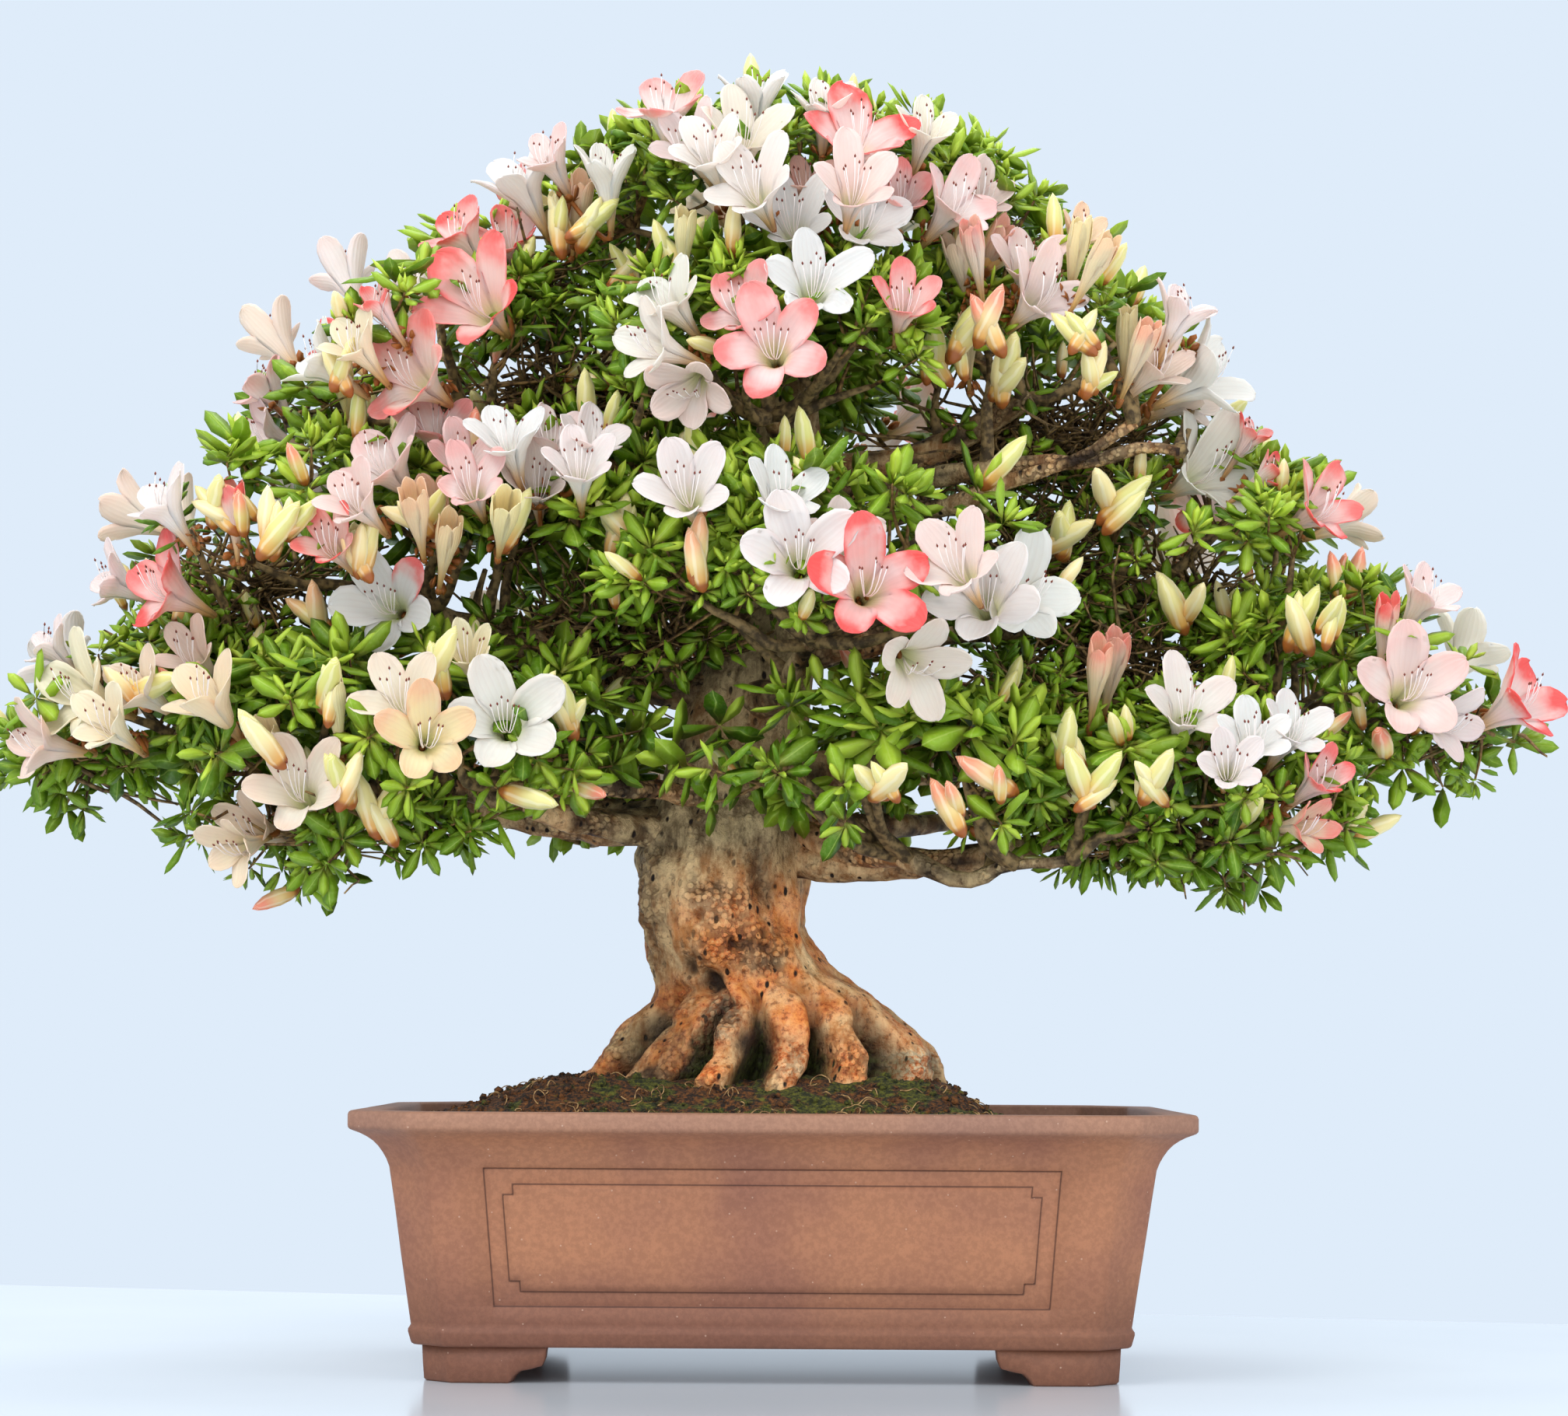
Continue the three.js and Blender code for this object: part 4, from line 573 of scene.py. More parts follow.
def potting_soil():
    """Moist potting soil of dark crumbs: rough, almost black-brown, with lighter grains and patches of moss,
    thickest round the trunk's foot."""
    material, add = new_material("potting_soil")
    place = (add("TexCoord"), 3)
    fine = add("TexNoise", {"Vector": place, "Scale": METRE / 2.5, "Detail": 3.0, "Roughness": 0.7})
    coarse = add("TexNoise", {"Vector": place, "Scale": METRE / 14, "Detail": 4.0})
    off = add("Math", [add("SeparateXYZ", [place]), -float(POT_AT[0])])
    away = add("MapRange", [add("Math", [off], operation="ABSOLUTE"), 0.075, 0.125, 0.12, 0], **SMOOTH)
    moss = add("MapRange", [add("Math", [coarse, away]), 0.57, 0.66, 0, 0.8], **SMOOTH)
    light = add("MapRange", [fine, 0.38, 0.68], **SMOOTH)
    crumb = add("MixRGB", [light, "#1A0F06", "#744418"])
    green = add("MixRGB", [light, "#1E2406", "#5A6418"])
    colour = add("MixRGB", [moss, crumb, green])
    relief = add("Bump", {"Height": fine, "Distance": 1.4 * MM})
    shader = add("BsdfPrincipled", {"Base Color": colour, "Roughness": 0.95, "Normal": relief})
    add("OutputMaterial", [shader])
    return material


def azalea_bark():
    """Old azalea bark: tan skin flaking over rust-orange cork, pitted, with painted shade in its creases, in
    each pit and round each knob, a painted highlight on each knob, and moss low down. The mark 'bark' holds
    the painted shade of the creases, rust, moss and grey; the second mark holds how pale and how knobbly it
    is."""
    material, add = new_material("azalea_bark")
    place = (add("TexCoord"), 3)
    mark = add("Attribute", attribute_name="bark")
    part = add("SeparateColor", [mark])
    pale_and_knob_shading = add("SeparateColor", [add("Attribute", attribute_name="pale_and_knob_shading")])
    upright = add("Mapping", {"Vector": place, "Scale": (1, 1, 0.45)})
    streaks = add("TexNoise", {"Vector": upright, "Scale": METRE / 10, "Detail": 5.0, "Roughness": 0.68})
    flakes = add("TexNoise", {"Vector": place, "Scale": METRE / 3.6, "Detail": 4.0, "Roughness": 0.7})
    wide = add("TexNoise", {"Vector": place, "Scale": METRE / 24, "Detail": 3.0})
    cells = add("TexVoronoi", {"Vector": place, "Scale": METRE / 3.6})
    pores = add("TexVoronoi", {"Vector": upright, "Scale": METRE / 6.5})
    light = add("MapRange", [streaks, 0.36, 0.64], **SMOOTH)
    fleck = add("MapRange", [flakes, 0.35, 0.65], **SMOOTH)
    dry = add("MapRange", [flakes, 0.45, 0.34, 0, 0.5], **SMOOTH)
    worn = add("MapRange", [wide, 0.3, 0.6, 0.35, 1], **SMOOTH)
    bare = add("MapRange", [flakes, 0.42, 0.6], **SMOOTH)
    # Knobs a few millimetres wide, with a painted highlight on top and painted shade round their rim
    rim = add("MapRange", [cells, 0.4, 0.66, 0, 0.66], **SMOOTH)
    top = add("MapRange", [cells, 0.3, 0.08, 0, 0.6], **SMOOTH)
    often = add("MapRange", [wide, 0.38, 0.54, 0.35, 1], **SMOOTH)
    # Pores, darkened inside as painted shade
    hole = add("MapRange", [pores, 0.23, 0.13], **SMOOTH)
    rust, bleached, knob_rim_shade, knob_top_highlight, pit_shade = (add("Math", pair, **TIMES) for pair in (
        [(part, 1), worn], [(pale_and_knob_shading, 0), bare], [(pale_and_knob_shading, 1), rim], [(pale_and_knob_shading, 1), top], [often, hole]))
    tan = add("MixRGB", [light, "#C68246", "#FFD49A"])
    grey = add("MixRGB", [light, "#6E5A3C", "#CCB182"])
    orange = add("MixRGB", [fleck, "#D65A1C", "#FF9E4C"])
    moss = add("MixRGB", [fleck, "#141C08", "#4B5A1E"])
    colour = add("MixRGB", [(mark, 3), tan, grey])
    # Painted shade: the first part of the bark mark darkens the creases
    for share, own in ((rust, orange), (bleached, "#E5D0A8"), (knob_top_highlight, "#F2BE7C"), (knob_rim_shade, "#4E2C16"),
                       (dry, "#3B2414"), (pit_shade, "#1F120A"), ((part, 0), "#170D07"), ((part, 2), moss)):
        colour = add("MixRGB", [share, colour, own])
    height = add("Math", [streaks, add("Math", [flakes, 0.8], **TIMES)])
    for low, depth in ((pit_shade, 0.5), (knob_rim_shade, 0.9)):
        height = add("Math", [height, add("Math", [low, depth], **TIMES)], operation="SUBTRACT")
    relief = add("Bump", {"Height": height, "Distance": 1.8 * MM})
    shader = add("BsdfPrincipled", {"Base Color": colour, "Roughness": 0.7, "Specular IOR Level": 0.3,
                                    "Normal": relief})
    add("OutputMaterial", [shader])
    return material


def twig_bark():
    """Bark of young twigs: dark red-brown and thin, greyer on the older limbs. The mark 'bark' holds
    the age."""
    material, add = new_material("twig_bark")
    spots = add("TexNoise", {"Vector": (add("TexCoord"), 3), "Scale": METRE / 5, "Detail": 3.0})
    light = add("MapRange", [spots, 0.35, 0.65], **SMOOTH)
    young = add("MixRGB", [light, "#4C3014", "#A07C46"])
    old = add("MixRGB", [light, "#44341C", "#94794C"])
    colour = add("MixRGB", [(add("Attribute", attribute_name="bark"), 3), young, old])
    relief = add("Bump", {"Height": spots, "Distance": 0.8 * MM})
    shader = add("BsdfPrincipled", {"Base Color": colour, "Roughness": 0.8, "Normal": relief})
    add("OutputMaterial", [shader])
    return material


def azalea_leaf(settings):
    """A leathery evergreen leaf: dark on old leaves, bright on this year's, lighter towards the base,
    with a pale midrib and a soft gloss. The mark 'leaf' holds the way along, the way across, a random
    value and the youth."""
    material, add = new_material("azalea_leaf")
    mark = add("Attribute", attribute_name="leaf")
    part = add("SeparateColor", [mark])
    spots = add("TexNoise", {"Vector": (add("TexCoord"), 3), "Scale": METRE / 2.0, "Detail": 2.0})
    across = add("Math", [(part, 1), 0.5], operation="SUBTRACT")
    off = add("Math", [across], operation="ABSOLUTE")
    rib = add("MapRange", [off, 0.05, 0.012, 0, 0.4], **SMOOTH)
    base = add("MapRange", [(part, 0), 0.4, 0.0, 0, 0.5], **SMOOTH)
    dull = add("MapRange", [spots, 0.45, 0.7, 0, 0.12], **SMOOTH)
    old = add("MixRGB", [(part, 2), settings.leaf_dark, settings.leaf_mid])
    colour = add("MixRGB", [(mark, 3), old, settings.leaf_young])
    for share, own in ((rib, "#B4C85C"), (base, "#A89048"), (dull, "#BCCB74")):
        colour = add("MixRGB", [share, colour, own])
    relief = add("Bump", {"Height": rib, "Distance": 0.3 * MM, "Strength": 0.5}, invert=True)
    shader = add("BsdfPrincipled", {
        "Base Color": colour, "Roughness": 0.45, "Specular IOR Level": 0.3, "Normal": relief,
        "Subsurface Weight": 0.15, "Subsurface Radius": (0.6, 1.0, 0.2), "Subsurface Scale": 1.5 * MM})
    add("OutputMaterial", [shader])
    return material


def azalea_petal(settings):
    """A thin moist petal: white to blush, coral that bleeds in from its rim, cream in the throat and
    amber where the tube shows outside. The mark 'petal' holds the way along, the way across, whether it is
    the outer side and a random value; 'tint' holds coral, blush, cream and the part of the flower."""
    material, add = new_material("azalea_petal")
    place = (add("TexCoord"), 3)
    part = add("SeparateColor", [add("Attribute", attribute_name="petal")])
    tint = add("Attribute", attribute_name="tint")
    tone = add("SeparateColor", [tint])
    wander = add("TexNoise", {"Vector": place, "Scale": METRE / 24, "Detail": 2.0})
    blots = add("TexNoise", {"Vector": place, "Scale": METRE / 11, "Detail": 3.0})
    across = add("Math", [(part, 1), 0.5], operation="SUBTRACT")
    off = add("Math", [add("Math", [across], operation="ABSOLUTE"), 2], **TIMES)
    patch = add("MapRange", [wander, 0.36, 0.6, 0.65, 1], **SMOOTH)
    wash = add("Math", [(tone, 1), patch], **TIMES)
    # Coral is strongest at the tip and along the rim of a lobe
    near_tip = add("MapRange", [(part, 0), 0.5, 1.0], **SMOOTH)
    outer = add("MapRange", [(part, 0), 0.42, 0.7, 0, 0.85], **SMOOTH)
    rim = add("Math", [add("Math", [off, 3.0], operation="POWER"), outer], **TIMES)
    edge = add("Math", [near_tip, rim], operation="MAXIMUM")
    uneven = add("MapRange", [blots, 0.3, 0.7, 0.6, 1.25])
    bleed = add("MapRange", [add("Math", [edge, uneven], **TIMES), 0.02, 0.95], **SMOOTH)
    bleed = add("Math", [bleed, (tone, 0)], **TIMES)
    # Faint veins along the petal
    vein = add("Math", [add("Math", [(part, 1), 44], **TIMES)], operation="SINE")
    faint = add("MapRange", [vein, 0.4, 1.0, 0, 0.06])
    colour = settings.petal_white
    for share, own in (((tone, 2), settings.petal_cream), (wash, settings.petal_blush),
                       (bleed, settings.petal_coral), (faint, "#B98A80")):
        colour = add("MixRGB", [share, colour, own])
    throat = add("MapRange", [(part, 0), 0.52, 0.2, 0, 0.7], **SMOOTH)
    amber = add("MapRange", [(part, 0), 0.46, 0.06, 0, 0.9], **SMOOTH)
    inner = add("MixRGB", [throat, colour, settings.petal_throat])
    outside = add("MixRGB", [amber, colour, "#D69A50"])
    colour = add("MixRGB", [(part, 2), inner, outside])
    # The other parts of the flower: bud scales and stalk, filaments, anthers
    for above, own in ((0.2, "#9A5C2A"), (0.5, "#F8EAE2"), (0.85, "#6E3024")):
        own_part = add("Math", [(tint, 3), above], operation="GREATER_THAN")
        colour = add("MixRGB", [own_part, colour, own])
    relief = add("Bump", {"Height": vein, "Distance": 0.1 * MM, "Strength": 0.5})
    shader = add("BsdfPrincipled", {
        "Base Color": colour, "Roughness": 0.5, "Specular IOR Level": 0.3, "Normal": relief,
        "Subsurface Weight": 0.4, "Subsurface Radius": (1.0, 0.75, 0.65), "Subsurface Scale": 3 * MM})
    add("OutputMaterial", [shader])
    return material


def bud_skin():
    """Closed petals and bud scales: waxy cream to yellow-green, orange-brown scales at the base, some
    coral tips. The mark 'bud' holds the way along, the way round, how coral and how green."""
    material, add = new_material("bud_skin")
    mark = add("Attribute", attribute_name="bud")
    part = add("SeparateColor", [mark])
    amber = add("MapRange", [(part, 0), 0.6, 0.14, 0, 0.92], **SMOOTH)
    tip = add("Math", [add("MapRange", [(part, 0), 0.35, 0.85], **SMOOTH), (part, 2)], **TIMES)
    turn = add("Math", [add("Math", [(part, 1), 31.4], **TIMES)], operation="SINE")
    folds = add("MapRange", [turn, 0.3, 1.0, 0, 0.35], **SMOOTH)
    scales = add("MapRange", [(part, 0), 0.2, 0.1], **SMOOTH)
    colour = "#F8E2A8"
    for share, own in (((mark, 3), "#D9D57C"), (amber, "#E2A048"), (tip, "#F2826A"), (folds, "#FFF6D8"),
                       (scales, "#A45A24")):
        colour = add("MixRGB", [share, colour, own])
    relief = add("Bump", {"Height": folds, "Distance": 0.3 * MM, "Strength": 0.5})
    shader = add("BsdfPrincipled", {
        "Base Color": colour, "Roughness": 0.48, "Normal": relief, "Subsurface Weight": 0.25,
        "Subsurface Radius": (1.0, 0.8, 0.4), "Subsurface Scale": 2 * MM})
    add("OutputMaterial", [shader])
    return material


def dry_rootlets():
    """Dry fibrous roots on the soil: matte, pale and dark brown in spots."""
    material, add = new_material("dry_rootlets")
    spots = add("TexNoise", {"Vector": (add("TexCoord"), 3), "Scale": METRE / 4, "Detail": 3.0})
    light = add("MapRange", [spots, 0.35, 0.65], **SMOOTH)
    mixed = add("MixRGB", [light, "#6A4628", "#B9935F"])
    add("OutputMaterial", [add("BsdfPrincipled", {"Base Color": mixed, "Roughness": 0.85})])
    return material


def table_paint():
    """Satin white paint on a table top: smooth, with a soft reflection."""
    material, add = new_material("table_paint")
    wide = add("TexNoise", {"Vector": (add("TexCoord"), 3), "Scale": METRE / 220, "Detail": 2.0})
    tinted = add("MixRGB", [wide, "#D0D6DC", "#DEE3E8"])
    shader = add("BsdfPrincipled", {"Base Color": tinted, "Roughness": 0.17, "Specular IOR Level": 0.55})
    add("OutputMaterial", [shader])
    return material


# The pot

def cut_corners(half_x, half_y, cut):
    """The eight corners of a rectangle with cut corners, anticlockwise from the front right."""
    x, y, c = half_x, half_y, cut
    pairs = [(x - c, -y), (x, c - y), (x, y - c), (x - c, y),
             (c - x, y), (-x, y - c), (-x, c - y), (c - x, -y)]
    return np.stack([np.stack(pair, axis=-1) for pair in pairs], axis=1)


def step_in(distance):
    """Zero outside an edge and one inside it, with a slope as wide as the cut line."""
    return np.clip(distance / (2 * LINE["half"]) + 0.5, 0, 1)


def face_columns(rows_z, half_flat, face_half, sunk):
    """Places of the columns along one face, for each row: three on each edge of the sunk frame and of the
    stepped panel, and even ones between. Also how deep the face is there, and where the cut lines run."""
    share = (rows_z - PANEL["low"]) / (PANEL["high"] - PANEL["low"])
    wide = face_half - PANEL["end"] + PANEL["widen"] * share - PANEL["narrow"] * (1 - share)
    side = wide - INNER["inset"]
    stepped = side - INNER["step"]
    near = [half_flat - 6] + [edge + k * LINE["half"] for edge in (wide, side, stepped) for k in (1, 0, -1)]
    inner = near[-1][:, None] * np.linspace(1, -1, 21)[None, 1:-1]
    place = np.concatenate([np.stack(near, axis=1), inner, -np.stack(near[::-1], axis=1)], axis=1)[:, ::-1]
    z = rows_z[:, None]

    def within(half, low, high):
        """One inside a rectangle of the face and zero outside it."""
        across = step_in(half[:, None] - np.abs(place))
        return np.minimum(across, np.minimum(step_in(z - low), step_in(high - z)))
    inside = within(wide, PANEL["low"], PANEL["high"])
    panel = np.maximum(within(stepped, INNER["low"], INNER["high"]),
                       within(side, INNER["low"] + INNER["step"], INNER["high"] - INNER["step"]))
    line = np.maximum(1 - np.abs(2 * inside - 1), 1 - np.abs(2 * panel - 1))
    return place, sunk * inside * (1 - panel) + LINE["deep"] * line, line


def pot_rows():
    """Rows of the pot's skin from the underside, up the outside, over the lip and down the inside."""
    outside = np.array(POT_OUTSIDE, float)
    wanted = [PANEL["low"], INNER["low"], INNER["low"] + INNER["step"],
              INNER["high"] - INNER["step"], INNER["high"], PANEL["high"]]
    close = np.concatenate([[z - LINE["half"], z, z + LINE["half"]] for z in wanted])
    between = np.linspace(INNER["low"] + INNER["step"] + 4, INNER["high"] - INNER["step"] - 4, 7)
    heights = np.unique(np.concatenate([close, between, outside[:, 0]]))
    rows = np.stack([heights] + [np.interp(heights, outside[:, 0], outside[:, k]) for k in (1, 2)], axis=1)
    return np.concatenate([rows, np.array(POT_INSIDE, float)]), len(rows)


def pot_shell(sunk):
    """The pot's skin: each row is a rectangle with cut, softly rounded corners; the rows follow the profile.
    Floor and underside are strips between each half's outline and its round drain hole. The marks show the
    cut lines."""
    rows, outside_count = pot_rows()
    z, inset, cut = rows.T
    corners = cut_corners(RIM_X - inset, RIM_Y - inset, cut)
    way = np.roll(corners, -1, axis=1) - corners
    span = np.linalg.norm(way, axis=2, keepdims=True)
    way = way / span
    # Corners are rounded over 3 mm to each side
    turn = 3.0
    t = np.linspace(0, 1, 5)[None, :, None]
    columns, lines = [], []
    (_, low_inset, low_cut), (_, high_inset, high_cut) = POT_OUTSIDE[7], POT_OUTSIDE[9]
    for k in range(8):
        corner, ahead, long = (one[:, k, None] for one in (corners, way, span))
        columns.append(bow(corner - turn * way[:, k - 1, None], corner, corner + turn * ahead, t))
        middle = corner + ahead * long / 2
        if k % 2:
            face_half = (RIM_X if k in (3, 7) else RIM_Y) - (low_inset + high_inset + low_cut + high_cut) / 2
            place, sink, line = face_columns(z, long[:, 0, 0] / 2, face_half, sunk)
            sink[outside_count:] = 0
            line[outside_count:] = 0
            inward = ahead[..., ::-1] * [-1, 1]
            columns.append(middle + ahead * place[..., None] + inward * sink[..., None])
        else:
            columns.append(middle + ahead * long * np.array([-0.15, 0.15])[None, :, None])
            line = np.zeros((len(z), 2))
        lines += [np.zeros((len(z), 5)), line]
    plan = np.concatenate(columns, axis=1)
    count = plan.shape[1]
    points = stacked(plan[..., 0], plan[..., 1], z[:, None])
    waver = 0.35 * rough(points, 46, 2, 11)
    points[..., :2] *= (1 + waver / 190)[..., None]
    points = points.reshape(-1, 3)
    # Underside and floor, each in a right and a left half with a hole
    sizes = [column.shape[1] for column in columns]
    front = sum(sizes[:-1]) + sizes[-1] // 2
    back = sum(sizes[:7]) + sizes[7] // 2
    right = np.roll(np.arange(count), -front)[: (back - front) % count + 1]
    left = np.roll(np.arange(count), -back)[: (front - back) % count + 1]
    faces, holes = [grid_quads(len(rows), count, wrap=True)], {}
    for row in (0, len(rows) - 1):
        parting = len(points) + np.arange(5)
        half_y = points[row * count + back, 1]
        points = np.concatenate([points, stacked(0, np.linspace(0.8, -0.8, 5) * half_y, z[row])])
        for side, outline in ((1, right), (-1, left)):
            edge = np.concatenate([row * count + outline, parting[::side]])
            hole_x = side * DRAIN["x"]
            angle = np.arctan2(points[edge, 1], points[edge, 0] - hole_x)
            hole = len(points) + np.arange(len(edge))
            circle = DRAIN["radius"] * stacked(np.cos(angle), np.sin(angle), 0) + [hole_x, 0, z[row]]
            points = np.concatenate([points, circle])
            strip = np.stack([edge, np.roll(edge, -1), np.roll(hole, -1), hole], axis=1)
            if side in holes:
                low = holes[side]
                faces += [strip, np.stack([np.roll(low, -1), low, hole, np.roll(hole, -1)], axis=1)]
            else:
                faces.append(strip[:, ::-1])
                holes[side] = hole
    marks = np.zeros((len(points), 4))
    marks[:plan[..., 0].size] = np.concatenate(lines, axis=1).reshape(-1, 1)
    return points, faces, marks


def pot_foot():
    """One bracket foot under the front right corner: a thick section carried round the corner,
    whose underside steps up in an ogee towards both ends."""
    x, y, cut, thick, top = (FOOT[key] for key in ("x", "y", "cut", "thick", "top"))
    end_x, end_y = x - FOOT["length_x"], FOOT["length_y"] - y
    outer = [(end_x, -y), (x - cut, -y), (x, cut - y), (x, end_y)]
    x, y, cut = x - thick, y - thick, cut - thick * (2 - math.sqrt(2))
    inner = [(end_x, -y), (x - cut, -y), (x, cut - y), (x, end_y)]
    along = np.concatenate([FOOT_STEPS, 1 + np.linspace(0.04, 0.96, 6), 3 - np.array(FOOT_STEPS[::-1])])
    out, inn = (np.stack([np.interp(along, range(4), way) for way in zip(*path)], axis=1)
                for path in (outer, inner))
    low = np.interp(np.clip(np.minimum(along, 3 - along), 0, 1), *np.array(OGEE, float).T)
    reach = np.linalg.norm(inn - out, axis=1, keepdims=True)
    # Corners of the section: how far in and how high, in mm, and how far the flare moves them in
    bevel = 1.3
    section = [(0, top, 0), (0, (low + top) / 2, 0.6), (0, low + bevel, 1.4), (bevel, low, 1.6),
               (thick - bevel, low, 0), (thick, low + bevel, 0), (thick, top, 0)]
    rings = []
    for offset, height, taper in section:
        plan = out + unit(inn - out) * ((offset / thick) * reach + taper)
        rings.append(stacked(plan[:, 0], plan[:, 1], np.minimum(height, top)))
    grid = np.stack(rings[::-1], axis=1)
    return closed_rings(grid, grid[[0, -1]].mean(axis=1))


def mirrored(points, faces, sx, sy):
    """A shape mirrored about the planes X = 0 and Y = 0, its faces turned back where that flips them."""
    turned = points * [sx, sy, 1]
    return turned, [block[:, ::-1] if sx * sy < 0 else block for block in faces]


# The soil

def bed_height(x, y):
    """Height of the soil: a level bed with a broad mound round the trunk, lower to the right."""
    left, right = smooth(x, -212, -105), 1 - smooth(x, 84, 138)
    depth = 1 - 0.75 * smooth(np.abs(y), 62, 128)
    grain_wave = 1.2 * np.sin(x / 11 + y / 17) * np.sin(y / 9 - x / 23)
    return SOIL_LEVEL + 26 * left * right * depth + grain_wave


def lumpy_bed(x, y):
    """The soil's height with the lumps of its crumbs."""
    flat = stacked(x, y, 0)
    return bed_height(x, y) + 1.6 * rough(flat, 15, 2, 31) + 1.3 * noise(flat, 4.5, 35)


def soil_bed():
    """The bed: rings of the pot's inner outline shrunk towards the middle at the soil's height,
    with a skirt down to the pot's floor and a flat underside."""
    def outline(inset, cut):
        corners = cut_corners(*(np.array([v]) for v in (RIM_X - inset, RIM_Y - inset, cut)))[0]
        after = np.roll(corners, -1, axis=0)
        return np.concatenate([a + (b - a) * np.arange(n)[:, None] / n
                               for a, b, n in zip(corners, after, [8, 32, 8, 58] * 2)])
    edge = outline(SOIL_EDGE["inset"], SOIL_EDGE["cut"])
    scale = 1 - np.linspace(0, 0.98 ** 0.8, 58) ** 1.25
    x, y = np.moveaxis(edge[None] * scale[:, None, None], -1, 0)
    top = stacked(x, y, lumpy_bed(x, y) - 4 * smooth(scale, 0.955, 1.0)[:, None])
    skirt = [stacked(*outline(inset, cut).T, height) for inset, cut, height in SOIL_SKIRT]
    ends = np.array([(0, 0, SOIL_SKIRT[0][2]), (0, 0, lumpy_bed(np.zeros(1), np.zeros(1))[0])])
    return closed_rings(np.concatenate([np.stack(skirt), top]), ends)


def ball_shape():
    """A ball of twenty triangles: the corners of three golden rectangles."""
    g = (1 + math.sqrt(5)) / 2
    points = unit(np.array([(-1, g, 0), (1, g, 0), (-1, -g, 0), (1, -g, 0), (0, -1, g), (0, 1, g),
                            (0, -1, -g), (0, 1, -g), (g, 0, -1), (g, 0, 1), (-g, 0, -1), (-g, 0, 1)]))
    faces = [(0, 11, 5), (0, 5, 1), (0, 1, 7), (0, 7, 10), (0, 10, 11), (1, 5, 9), (5, 11, 4), (11, 10, 2),
             (10, 7, 6), (7, 1, 8), (3, 9, 4), (3, 4, 2), (3, 2, 6), (3, 6, 8), (3, 8, 9), (4, 9, 5),
             (2, 4, 11), (6, 2, 10), (8, 6, 7), (9, 8, 1)]
    return points, np.array(faces)


def bed_spots(rng, count, inset=24):
    """Random spots of the bed, inside the pot's wall and outside the trunk."""
    x = rng.uniform(-1, 1, count * 3) * (RIM_X - inset)
    y = rng.uniform(-1, 1, count * 3) * (RIM_Y - inset)
    corner = np.abs(x) + np.abs(y) < RIM_X + RIM_Y - 2 * inset - SOIL_EDGE["cut"] - 4
    clear = ((x + 4) / 96) ** 2 + (y / 80) ** 2 > 1
    keep = np.flatnonzero(corner & clear)[:count]
    return x[keep], y[keep]


# The trunk and limbs

def ring_at(z):
    """Centre and half sizes of the trunk at each height, on a smooth curve through its rings."""
    table = np.array(TRUNK, float)
    return spline(table[:, 0], table[:, 1:], z)


def root_share(bearing):
    """How far a bearing is from the nearest root's crest, from 0 on it to 1 midway between two."""
    crest = np.radians(ROOT_BEARINGS + [ROOT_BEARINGS[0] + 360])
    turn = (bearing - crest[0]) % (2 * math.pi) + crest[0]
    i = np.clip(np.searchsorted(crest, turn, side="right") - 1, 0, len(crest) - 2)
    return 1 - np.abs(1 - 2 * (turn - crest[i]) / (crest[i + 1] - crest[i]))


